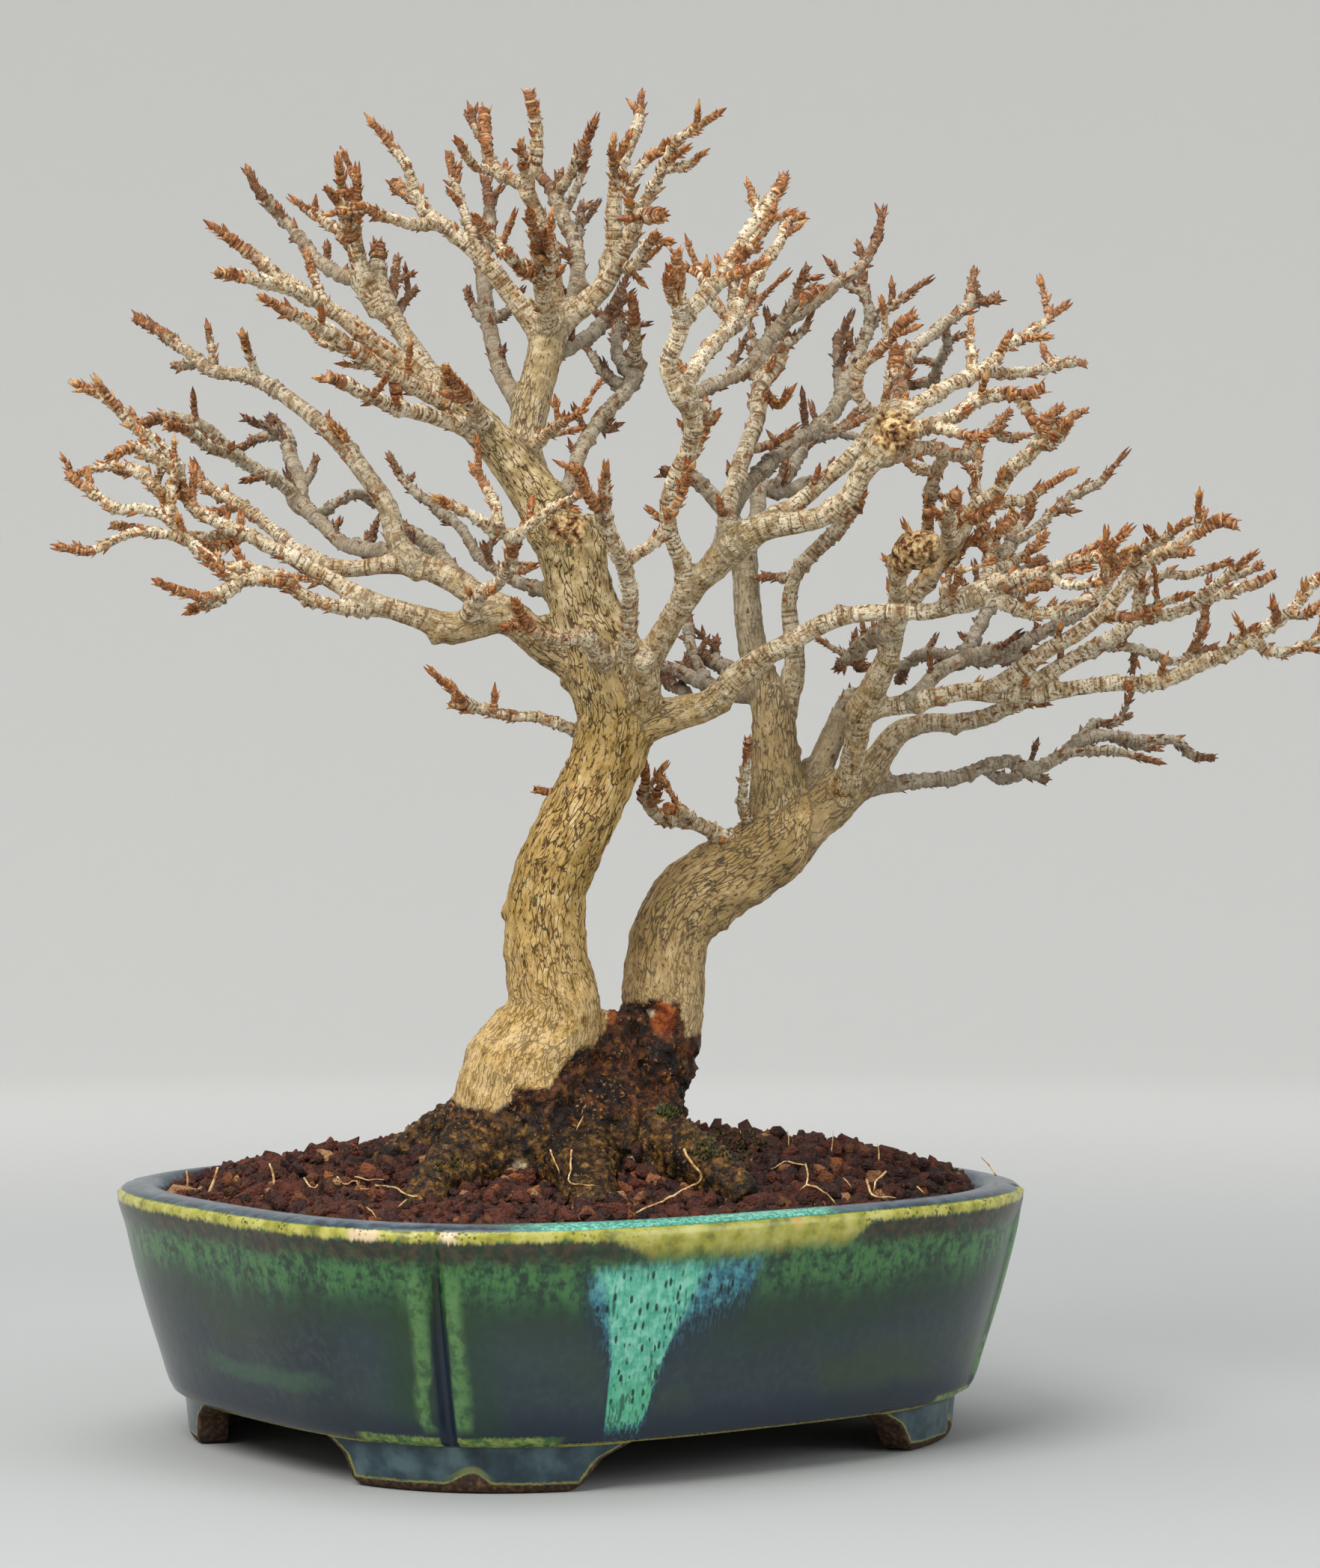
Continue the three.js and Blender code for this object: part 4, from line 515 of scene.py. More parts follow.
rightLong pillar 12 cut 810,2020,34 900,2028,28 1000,2048,27 1100,2068,27 1200,2068,30 1300,2060,27
  1390,2075,24 1500,2090,22 1600,2090,22 1680,2110,21 1780,2155,21 1880,2200,22 1960,2255,18 2020,2305,16
  2080,2380,14 2140,2415,10;
rightLongTip rightLong -8 bud 1900,2210,17 1960,2178,15 2030,2190,13 2150,2245,8;
rightUpper rightLong 20 cut 1180,2070,28 1260,2135,26 1340,2190,24 1420,2235,23 1500,2305,23 1560,2380,22
  1610,2430,19 1700,2480,17 1770,2525,16 1820,2545,20 1860,2535,13;
rightUpperTwig rightUpper 40 bud 1550,2420,15 1620,2480,14 1670,2505,12 1722,2545,7;
rightUpperSide rightUpper 2 cut 1580,2410,15 1650,2450,14 1730,2460,13;
rightMiddle rightLong -12 cut 1270,2070,26 1350,2130,24 1440,2180,22 1520,2225,21 1580,2270,19 1660,2280,17
  1740,2310,17 1810,2340,17 1890,2360,15 1965,2398,12;
rightMiddleUp rightMiddle 6 bud 1740,2315,15 1800,2365,14 1850,2410,12 1902,2450,7;
rightMiddleLow rightMiddle -30 cut 1470,2195,15 1550,2193,14 1630,2170,13 1680,2153,13 1750,2175,11
  1800,2195,9;
rightInner rightMiddle 10 bud 1590,2285,13 1605,2360,13 1650,2393,13 1720,2395,13 1832,2428,7;
rightRear rightLong -44 bud 950,2040,25 1030,2125,23 1100,2160,22 1190,2185,20 1280,2215,19 1360,2255,18
  1440,2305,16 1500,2380,9;
rightRearUp rightRear -62 cut 1080,2145,20 1120,2210,19 1155,2280,17 1200,2340,13;
rightRearLow rightRear -56 cut 1100,2160,17 1160,2153,17 1230,2173,16 1280,2175,12;
rightRearLeft rightRear -70 cut 1080,2165,15 1000,2175,15 940,2145,14 920,2100,14;
darkLeaf pillar -36 cut 890,2240,20 830,2210,24 790,2175,22 745,2133,10;
lowArm fork -24 cut 770,1790,50 850,1870,42 910,1950,36 990,1980,29 1080,1983,28 1160,1998,26 1240,2033,24
  1330,2045,16;
lowest fork -46 cut 790,1805,36 900,1810,26 990,1820,21 1070,1823,20 1140,1853,20 1220,1873,20 1290,1853,20
  1360,1885,20 1420,1928,21 1490,1945,18 1580,1933,15 1690,1930,14 1730,1893,13 1800,1882,11;
lowestUp lowest -60 bud 1410,1930,15 1470,1980,13 1500,1975,12 1555,2000,7;
lowestDown lowest -34 bud 1370,1895,15 1450,1903,13 1520,1900,13 1640,1872,7;
lowestLoop lowest -62 cut 1150,1855,15 1210,1823,15 1270,1840,14 1325,1823,13;
"""

# Short side limbs
SPURS = """
underShort lowLeftUnder 36 cut -930,2365,13 -990,2315,14 -1070,2295,13;
leftSpur leftmost 20 bud -1170,2515,12 -1230,2525,11 -1275,2535,9;
levelTwig lowLeftUpper 2 cut -900,2505,15 -980,2505,13 -1060,2500,12;
leftUpTwig lowLeftUpper 30 bud -1240,2840,12 -1280,2880,11 -1315,2928,8;
paleSpur pale -2 bud -880,2945,14 -890,2990,13 -915,3065,10;
paleHook pale -44 bud -1030,2995,12 -1060,2980,12 -1105,2978,8;
paleTuft pale 2 bud -620,2730,16 -635,2770,16 -660,2810,9;
rearLeftTip rearLeftUp -62 cut -820,2790,11 -860,2810,10 -910,2832,9;
rearLeftInner rearLeftUp -70 bud -750,2640,15 -725,2680,12 -710,2720,9;
lowTwigFork lowTwig 12 cut -240,2015,12 -290,2020,11 -335,2035,10;
stub frontTrunk 12 cut 0,1770,16 -60,1783,14 -100,1795,10;
nearShootTip nearShoot 66 bud -110,2250,13 -145,2255,12 -185,2250,8;
riseThin bigLeftRise -34 bud -500,3120,14 -495,3190,11 -485,3275,8;
riseSide bigLeftRise -46 bud -490,3110,13 -465,3155,10 -435,3188,8;
fanShort fanTall 22 bud -625,3400,13 -650,3440,12 -680,3470,8;
reachCross reach 16 cut -680,3140,14 -710,3210,12 -740,3300,11;
innerShort reachUnder 20 cut -500,2960,16 -490,2915,15 -480,2875,15;
leaderLeftStub leaderLeft -14 cut -420,3435,16 -465,3460,15 -495,3485,13;
leaderBackTwig leaderBack -72 bud -225,3090,12 -260,3120,11 -290,3185,8;
leaderMidSpur leaderMid 30 bud -120,3490,14 -130,3540,13 -140,3600,8;
leaderMidFork leaderMidLeft -34 cut -235,3610,12 -265,3640,12 -285,3685,10;
slimInner slimCentre -58 bud 15,3280,15 20,3350,14 32,3428,9;
rightPeakStub leaderRight 16 bud 125,3490,15 115,3585,9;
lowKnuckle outerRight 46 bud 150,3250,15 190,3260,16 210,3310,15 238,3345,9;
starLeft star 84 bud 305,3120,13 280,3170,13 267,3220,9;
starTuft starRight 32 bud 390,3190,14 365,3230,13 350,3260,9;
starHang riseNear 44 bud 330,2840,18 370,2860,17 390,2820,16 408,2845,9;
sprayTallTip sprayTall -48 bud 1110,3155,12 1150,3155,11 1190,3170,8;
towerTip tower -30 bud 585,3030,15 620,3050,13 660,3088,8;
towerSide tower -2 bud 540,2900,15 580,2870,14 610,2905,9;
veilStub veil -62 cut 750,2900,15 745,2990,14 748,3063,13;
longSpur long -56 bud 590,3095,13 620,3150,12 658,3250,8;
longNeedle long -28 bud 520,3000,11 510,3050,10 496,3105,6;
longHook long -48 cut 430,2940,10 450,2970,9 460,3010,9;
mastBackTip mastBack -60 bud 540,2630,14 580,2660,12 600,2705,8;
mastTwig mastRight -32 cut 610,2380,12 570,2390,11 520,2385,10;
backLoop veryBackLeft -74 cut 320,2065,18 270,2100,18 255,2130,16;
backKnobTip backKnob -76 cut 405,2145,11 405,2215,8;
armSpur arm 20 bud 1325,2825,12 1350,2850,9 1370,2860,7;
ghostDark ghost -40 cut 1180,2395,13 1250,2405,12 1320,2440,11;
whisker lowRight 18 bud 1030,2295,12 1050,2370,10 1065,2440,7;
whiskerNear lowRight 56 bud 1050,2305,12 1070,2350,10 1085,2408,7;
rightLongFork rightLong 26 cut 2010,2295,13 2040,2280,13 2080,2300,11;
rightLongSpur rightLong 28 bud 1830,2180,13 1860,2215,12 1908,2252,7;
rightLongBud rightLong 22 bud 1960,2250,12 1970,2290,11 1960,2308,9;
rightUpperBud rightUpper 8 bud 1750,2510,12 1760,2540,11 1768,2568,8;
rightMiddleTwo rightMiddle -26 cut 1820,2380,13 1870,2400,12 1925,2420,11;
rightInnerLow rightMiddle 22 bud 1600,2290,11 1660,2320,11 1730,2342,7;
lowestMid lowest -54 bud 1510,1940,12 1570,1918,11 1632,1910,7;
"""



class Flow:
    """A number on its way through a finish, which can be added to and multiplied."""

    def __init__(self, finish, socket):
        self.finish, self.socket = finish, socket

    def __add__(self, other):
        return self.finish.math("ADD", self, other)

    def __sub__(self, other):
        return self.finish.math("SUBTRACT", self, other)

    def __rsub__(self, other):
        return self.finish.math("SUBTRACT", other, self)

    def __mul__(self, other):
        return self.finish.math("MULTIPLY", self, other)

    __radd__ = __add__


class Finish:
    """A node material, built up in short steps on the piece's own object coordinates."""

    def __init__(self, name, rough=0.6, specular=0.5):
        self.material = bpy.data.materials.new(name)
        self.material.use_nodes = True
        self.tree = self.material.node_tree
        self.shader = self.tree.nodes["Principled BSDF"]
        self.shader.inputs["Roughness"].default_value = rough
        self.shader.inputs["Specular IOR Level"].default_value = specular
        self.place = self.node("TexCoord").outputs["Object"]
        self.normal = None

    def node(self, kind, feeds=(), **fields):
        made = self.tree.nodes.new("ShaderNode" + kind)
        for key, value in fields.items():
            setattr(made, key, value)
        for key, value in dict(feeds).items():
            self.feed(made.inputs[key], value)
        return made

    def feed(self, socket, value):
        value = value.socket if isinstance(value, Flow) else value
        if isinstance(value, bpy.types.NodeSocket):
            self.tree.links.new(value, socket)
        else:
            socket.default_value = paint(value) if isinstance(value, str) else value

    def flow(self, out, kind, feeds=(), **fields):
        return Flow(self, self.node(kind, feeds, **fields).outputs[out])

    def value(self, name):
        return self.flow("Fac", "Attribute", attribute_name=name)

    def vector(self, name):
        return self.node("Attribute", attribute_name=name).outputs["Vector"]

    def parts(self, vector):
        return [Flow(self, out) for out in self.node("SeparateXYZ", {"Vector": vector}).outputs]

    def scaled(self, vector, x, y, z):
        return self.node("VectorMath", {0: vector, 1: (x, y, z)}, operation="MULTIPLY").outputs[0]

    def shifted(self, vector, share, scale):
        """A place pushed about by coarse noise, so that lines through it run unevenly."""
        push = self.node("TexNoise", {"Vector": vector, "Scale": scale, "Detail": 2.0}).outputs["Color"]
        middle = self.node("VectorMath", {0: push, 1: (0.5,) * 3}, operation="SUBTRACT").outputs[0]
        moved = self.scaled(middle, share, share, share)
        return self.node("VectorMath", {0: vector, 1: moved}, operation="ADD").outputs[0]

    def noise(self, scale, detail=3.0, where=None):
        feeds = {"Vector": where or self.place, "Scale": scale, "Detail": detail, "Roughness": 0.55}
        return self.flow("Fac", "TexNoise", feeds)

    def cells(self, scale, where=None, feature="F1"):
        feeds = {"Vector": where or self.place, "Scale": scale}
        return self.flow("Distance", "TexVoronoi", feeds, feature=feature)

    def step(self, value, low, high, start=0.0, end=1.0):
        feeds = {"Value": value, "From Min": low, "From Max": high, "To Min": start, "To Max": end}
        return self.flow("Result", "MapRange", feeds, interpolation_type="SMOOTHSTEP")

    def band(self, value, low, rise, fall, high):
        """One between rise and fall, fading to nought at low and high."""
        return self.step(value, low, rise) * self.step(value, fall, high, 1.0, 0.0)

    def math(self, kind, *values):
        return self.flow(0, "Math", dict(enumerate(values)), operation=kind)

    def mix(self, share, first, second):
        return self.node("Mix", {0: share, 6: first, 7: second}, data_type="RGBA").outputs[2]

    def over(self, below, above, *shares):
        """One colour laid over another, as thickly as the product of the shares."""
        return self.mix(reduce(mul, shares), below, above)

    def ramp(self, value, *stops):
        made = self.node("ValToRGB", {"Fac": value})
        points = made.color_ramp.elements
        while len(points) < len(stops):
            points.new(1.0)
        for point, (place, colour) in zip(points, stops):
            point.position = place
            point.color = paint(colour) if isinstance(colour, str) else colour
        return made.outputs["Color"]

    def line(self, value, *points):
        """A number that follows a smooth graph through points, both ways between 0 and 1."""
        made = self.node("FloatCurve", {"Value": value})
        graph = made.mapping.curves[0]
        while len(graph.points) < len(points):
            graph.points.new(0.5, 0.5)
        for point, place in zip(graph.points, points):
            point.location = place
        made.mapping.update()
        return Flow(self, made.outputs[0])

    def relief(self, height, distance, strength=1.0):
        feeds = {"Height": height, "Distance": distance, "Strength": strength}
        if self.normal:
            feeds["Normal"] = self.normal
        self.normal = self.node("Bump", feeds).outputs["Normal"]

    def done(self, colour, rough=None):
        self.feed(self.shader.inputs["Base Color"], colour)
        if rough is not None:
            self.feed(self.shader.inputs["Roughness"], rough)
        if self.normal:
            self.feed(self.shader.inputs["Normal"], self.normal)
        return self.material


# Pot

FULLNESS = 3.0
CROWDING = 0.6
POT_STEPS = 344
CORNER_RADIUS = 133.0
DRAIN_RADIUS = 7.0
DRAIN_PLACE = 46.0
FOOT_SPREAD_LONG = 0.25
FOOT_SPREAD_END = 0.34
FOOT_LEAN_LONG = 0.1
FOOT_LEAN_END = 0.06
FOOT_TOP = 13.0
FOOT_FLARE = 0.05
HEEL_HEIGHT = 3.0
GROOVE_SHIFT = 0.045

# The pot's section: how far in from the rim's outer edge, how high, and how deep the corner grooves are.
POT_SECTION = (
    (HALF, 12.0, 0.0),
    (70.0, 12.0, 0.0),
    (26.0, 12.0, 0.1),
    (20.5, 12.0, 0.3),
    (17.0, 12.3, 0.6),
    (14.9, 13.5, 0.9),
    (13.4, 16.2, 1.0),
    (11.4, 23.0, 1.0),
    (7.6, 36.0, 1.0),
    (4.5, 48.0, 1.0),
    (2.0, 59.5, 1.0),
    (0.7, 63.8, 0.75),
    (0.1, 66.4, 0.7),
    (0.0, 68.0, 0.7),
    (0.45, 69.0, 0.6),
    (1.8, 69.7, 0.45),
    (5.0, 70.4, 0.2),
    (8.2, 70.6, 0.0),
    (9.6, 70.2, 0.0),
    (10.5, 69.0, 0.0),
    (11.3, 64.5, 0.0),
    (13.4, 52.0, 0.0),
    (17.0, 32.0, 0.0),
    (19.6, 24.5, 0.0),
    (26.0, 20.3, 0.0),
    (HALF, 20.0, 0.0),
)
SECTION_EDGE = 13


def outline(angle, reach):
    """A point of the pot's rounded outline, whose corners lie at odd multiples of 45 degrees."""
    cos, sin = np.cos(angle), np.sin(angle)
    round_by = (np.abs(cos) ** FULLNESS + np.abs(sin) ** FULLNESS) ** (-1 / FULLNESS)
    return reach * round_by * cos, reach * (RIM_WIDTH / RIM_LENGTH) * round_by * sin


def inside_outline(x, y):
    """The outline angle and reach of points: the reverse of outline()."""
    wide = y * RIM_LENGTH / RIM_WIDTH
    return np.arctan2(wide, x), (np.abs(x) ** FULLNESS + np.abs(wide) ** FULLNESS) ** (1 / FULLNESS)


def corner_distance(angle):
    return (np.mod(angle, math.pi / 2) - math.pi / 4) * CORNER_RADIUS


def corner_groove(angle, share):
    off = np.abs(corner_distance(angle))
    return 2.4 * share * bell(off, 2.2) - 0.9 * share**4 * bell(off - 5.2, 2.2)


def section_line():
    """The pot's section as evenly spaced points: reach, height, groove share and length along it."""
    section = Line([(HALF - inset, high, share) for inset, high, share in POT_SECTION])
    flat = np.hypot(*np.diff(section.at_share(section.shares)[:, :2], axis=0).T)
    edge = np.interp(SECTION_EDGE / (len(POT_SECTION) - 1), section.shares, np.r_[0, np.cumsum(flat)])
    wall = np.linspace(0, section.length, 120)
    points = section.at(wall)
    points[0, 0] = points[-1, 0] = 0
    along = np.r_[0, np.cumsum(np.hypot(*np.diff(points[:, :2], axis=0).T))]
    return points, along - edge


def foot_spread(high, toward_end):
    """How far round a foot reaches from its corner at a share of its height, as an outline angle."""
    spread = np.where(toward_end, FOOT_SPREAD_END, FOOT_SPREAD_LONG)
    lean = np.where(toward_end, FOOT_LEAN_END, FOOT_LEAN_LONG)
    return spread + lean * high + FOOT_FLARE * smoothstep(high, 0.6, 1.0)


def foot_shape(corner):
    """A corner foot: a softened block bent along the outline, with ends that lean in towards the sole, a
    rounded lower edge and a shallow dent in the middle of its face."""
    bm = bmesh.new()
    bmesh.ops.create_cube(bm, size=1.0)
    bmesh.ops.scale(bm, vec=(60, 9, 14), verts=bm.verts)
    rounding = {"affect": "EDGES", "profile": 0.5, "material": -1}
    bmesh.ops.bevel(bm, geom=bm.edges[:], offset=0.7, segments=2, clamp_overlap=True, **rounding)
    for axis, places in ((0, np.arange(-28, 29, 1.4)), (2, np.r_[-6.0:-2.9:0.5, -2:6:1.4])):
        for place in places:
            across = [0, 0, 0]
            across[axis] = 1
            spot = [0, 0, 0]
            spot[axis] = place
            bmesh.ops.bisect_plane(
                bm, geom=bm.verts[:] + bm.edges[:] + bm.faces[:], plane_co=spot, plane_no=across, dist=1e-5
            )
    made = from_bmesh("foot", bm)
    x, y, z = places_of(made.data).T
    side, behind, high = x / 30, 0.5 + y / 9, 0.5 + z / 14
    height = FOOT_TOP * high
    under = 1 - np.sqrt(1 - np.clip(1 - height / HEEL_HEIGHT, 0, 1) ** 2)
    angle = corner + side * (foot_spread(high, side * math.sin(2 * corner) < 0) - 0.03 * under)
    inset = 18.8 - 1.3 * high + 8 * behind + 2 * under * (1 - behind)
    dent = 1.2 * bell(side, 0.09) * (1 - behind) * smoothstep(height, 0.5, 6)
    flat_x, flat_y = outline(angle, HALF - inset - dent)
    set_places(made.data, in_row(np.stack([flat_x, flat_y, height], -1)))
    weld(made.data)
    return made


def joined(made, others, operation):
    for other in others:
        change = made.modifiers.new("join", "BOOLEAN")
        change.solver = "MANIFOLD"
        change.operation = operation
        change.object = other
    result = applied(made)
    for other in others:
        bpy.data.objects.remove(other)
    return result


def pot_shape():
    points = section_line()[0]
    made = spun("bowl", points[:, :2], POT_STEPS)
    places = places_of(made.data)
    reach = np.hypot(places[:, 0], places[:, 1])
    share = np.empty(len(places))
    for part in runs_of(len(places), 5000):
        off = np.hypot(reach[part, None] - points[:, 0], places[part, 2, None] - points[:, 1])
        share[part] = points[np.argmin(off, axis=1), 2]
    angle = np.arctan2(places[:, 1], places[:, 0])
    angle += CROWDING / 4 * np.sin(4 * angle)
    shifted = angle - GROOVE_SHIFT * np.sin(2 * angle)
    x, y = outline(shifted, reach - np.where(reach > 1, corner_groove(angle, share), 0))
    set_places(made.data, in_row(np.stack([x, y, places[:, 2]], -1)))
    weld(made.data)
    made = joined(made, [foot_shape(odd * math.pi / 4) for odd in (1, 3, 5, 7)], "UNION")
    bores = []
    for side in (-1, 1):
        bm = bmesh.new()
        bmesh.ops.create_cone(
            bm, cap_ends=True, segments=40, radius1=DRAIN_RADIUS, radius2=DRAIN_RADIUS, depth=20
        )
        bore = from_bmesh("bore", bm)
        set_places(bore.data, in_row(places_of(bore.data) + (side * DRAIN_PLACE, 0, 16)))
        bores.append(bore)
    return joined(made, bores, "DIFFERENCE")


def pot_piece(settings):
    made = pot_shape()
    made.name = made.data.name = "glazed_pot"
    points, along = section_line()
    x, y, z = from_row(places_of(made.data)).T
    shifted, reach = inside_outline(x, y)
    angle = shifted.copy()
    for _ in range(4):
        angle = shifted + GROOVE_SHIFT * np.sin(2 * angle)
    roll = np.empty(len(x))
    for part in runs_of(len(x), 5000):
        cut = corner_groove(angle[part, None], points[:, 2])
        off = np.hypot(reach[part, None] - points[:, 0] + cut, z[part, None] - points[:, 1])
        roll[part] = along[np.argmin(off, axis=1)]
    down = vectors_of(made.data.vertices, "normal")[:, 2]
    inset = HALF - reach
    clay = smoothstep(-down, 0.8, 0.95) * smoothstep(inset, 18.5, 21.0) * (z > 11)
    inner = smoothstep(roll, 16.0, 22.0)
    turn = corner_distance(shifted) / CORNER_RADIUS
    nearest = shifted - turn
    high = z / FOOT_TOP
    side = turn / foot_spread(high, turn * np.sin(2 * nearest) < 0)
    set_attribute(made.data, "roll", roll)
    set_attribute(made.data, "corner", np.clip(corner_distance(angle), -60, 60))
    set_attribute(made.data, "beside", np.abs(corner_distance(angle)))
    set_attribute(made.data, "clay", np.maximum(clay, inner * 0.85))
    set_attribute(made.data, "side", np.abs(side))
    set_attribute(made.data, "behind", inset - (18.8 - 1.3 * high))
    seated(made, glaze_finish(settings), "glaze", "pot")


def glaze_finish(settings):
    """Runs of glaze that follow the wall: a speckled lime edge over a brown band, green that sinks into a
    dark slate body, a turquoise run on the front, dark grooves between green ridges, and bare clay under
    the wall and at the soles and ends of the feet."""
    f = Finish("pot_glaze", rough=0.2, specular=0.4)
    f_x, f_y, f_z = f.parts(f.place)[:3]
    x = f_x * (1 / MM) - POT_MIDDLE[0] / MM
    y = f_y * (1 / MM) - POT_MIDDLE[1] / MM
    z = f_z * (1 / MM)
    roll, corner, beside, clay = (f.value(name) for name in ("roll", "corner", "beside", "clay"))
    by_corner = f.step(beside, 50, 40)
    upright = f.scaled(f.place, 1, 1, 0.22)
    fibres = f.noise(1100, 2, f.scaled(f.place, 1, 1, 0.1)) - 0.5
    streaks = f.noise(260, 3, upright) - 0.5
    broad = f.noise(70, 2, upright) - 0.5
    fine = f.noise(1500, 3, f.scaled(f.place, 1, 1, 0.4)) - 0.5
    mottle = f.noise(420, 4)
    cloud = f.noise(38, 4)
    front = f.step(y, -40, -60)

    body = f.ramp(cloud, (0.36, "202b33"), (0.5, settings.slate), (0.64, "2c3937"))
    body = f.over(body, "414d50", f.step(mottle, 0.42, 0.7, 0.0, 0.35))
    body = f.over(body, "3a4b50", front, 0.4)
    navy = f.band(z + broad * 6, 10, 13, 17, 25)
    body = f.over(body, "1e2a38", navy, 0.8)
    olive = f.band(z + broad * 8, 18, 24, 27, 38) * f.step(cloud + x * 0.002, 0.42, 0.6)
    body = f.over(body, "37462a", olive, 0.55)

    # Green under the rim, deepest beside the corners, that sinks into the body
    hang = roll + broad * 14 + streaks * 6
    deep = f.step(hang + beside * 0.08, -34, -14) * 0.7
    body = f.over(body, settings.deep_green, deep)
    glow = f.band(corner + broad * 10, -26, -9, -5, -1) * f.step(z, 16, 24)
    glow = f.math("MAXIMUM", glow, f.band(corner + broad * 10, 1, 5, 9, 22) * 0.6)
    body = f.over(body, "24401f", glow, f.step(roll, 0, -4), by_corner, 0.7)
    green = f.step(hang, -25, -12) * f.step(mottle + streaks * 0.6, 0.32, 0.55)
    body = f.over(body, settings.green, green, 0.85)
    bright = f.band(hang, -20, -12, -7, -5) * f.step(mottle + streaks + fine, 0.44, 0.66)
    body = f.over(body, "56844a", bright, 0.5)
    smear = f.band(z + broad * 5, 23, 26, 28, 31) * f.band(y, -48, -30, 2, 22) * f.step(x, -60, -80)
    body = f.over(body, "3d6a45", smear, 0.4)

    # The turquoise run on the front wall: how low it hangs, by its place along the wall
    along = (x + 70) * (1 / 70)
    depth = f.line(
        along, (0.0, 0.95), (0.09, 0.84), (0.12, 0.76), (0.19, 0.66), (0.235, 0.55), (0.26, 0.38),
        (0.275, 0.235), (0.3, 0.24), (0.41, 0.25), (0.435, 0.36), (0.465, 0.5), (0.5, 0.6), (0.56, 0.655),
        (0.64, 0.69), (0.757, 0.735), (0.814, 0.78), (0.87, 0.86), (1.0, 1.0),
    )
    low = depth * 68 + fibres * 17 + streaks * 5
    crown = roll + (f.noise(900, 2, upright) - 0.5) * 5 + broad * 4
    sides = f.band(x + fibres * 5 + streaks * 5, -63, -58, -14, -7)
    inside = z - low
    run = f.step(inside, -0.8, 1.6) * sides * f.step(crown, -7.0, -12.5) * front
    halo = f.step(inside, -14, 1) * f.band(x, -70, -58, -16, 2) * f.step(crown, -7.0, -12) * front
    body = f.over(body, "1f2c3c", halo, 0.55)
    edge = inside - 1 - f.step(x, -50, -58) * 10 - f.step(x, -38, -26) * 13 + fibres * 18
    sea = f.ramp(mottle + fibres * 0.5, (0.34, "48a08a"), (0.5, "63b79c"), (0.66, "86ccb4"))
    sea = f.over(sea, "4fae7e", f.step(z + streaks * 14, 38, 22, 0.0, 0.6))
    shade = f.mix(
        f.step(edge, 2, -6), sea, f.ramp(mottle, (0.36, "28505e"), (0.5, "3f7c8a"), (0.66, "5fa3a6"))
    )
    fringe = f.step(inside, -11, 1) * f.step(fibres, 0.03, 0.12) * sides * f.step(crown, -7.0, -12) * front
    body = f.over(body, "37708a", fringe, 0.7)
    strands = f.step(fibres + streaks * 0.7 + inside * 0.006, -0.14, 0.02, 0.3, 1.0)
    body = f.over(body, shade, run, strands)
    pits = f.cells(600, f.scaled(f.place, 1, 1, 0.32))
    pits = f.step(pits + fine * 0.3, 0.32, 0.2) * f.step(f.noise(160, 2), 0.34, 0.46)
    pits = pits * run * f.step(z, 16, 24)
    body = f.over(body, "10231f", pits, 0.9)

    # Grooves at the corners, with soft green ridges beside them
    wavy = beside + f.noise(120, 3, upright) * 3.2 - 1.6
    blob = f.band(z, 17, 20, 26, 33) * f.step(corner, 0, -1) * 1.8
    ridge = f.band(wavy - blob, 1.8, 3.4, 5.6, 9.2) * f.step(roll, -6.0, -18.0)
    ridge = ridge * f.step(z, 15.5, 18.5) * f.step(mottle + streaks, 0.3, 0.55, 0.45, 1.0)
    body = f.over(body, f.mix(mottle, "376a34", "76a062"), ridge, 0.75)
    taper = f.step(z, 62, 24, 1.0, 2.5)
    groove = beside + fine * 1.2 - taper
    groove = f.step(groove, 0.7, -0.5) * f.step(roll, -8.0, -12.0) * f.step(z, 11.5, 13.0)
    body = f.over(body, f.mix(f.step(z, 55, 30), "1b241c", "1d2a3a"), groove, 0.92)

    # The wall's lower edge: a bright green band beside the corners, a thin lime line elsewhere
    base = z + fine * 1.6
    foot_edge = f.band(base, 11.9, 12.4, 14.6, 15.6) * f.step(beside, 36, 30) * f.step(groove, 0.4, 0.1)
    foot_edge = foot_edge * f.step(roll, -30, -40) * f.step(z, 12.05, 12.25)
    body = f.over(body, f.ramp(mottle, (0.36, "3f6f3c"), (0.5, "7d9b48"), (0.62, "aebb62")), foot_edge, 0.8)
    line = f.band(base, 11.7, 12.0, 12.5, 13.2) * f.step(roll, -30, -40) * f.step(beside, 30, 36)
    body = f.over(body, "b2ac4e", line, 0.85)
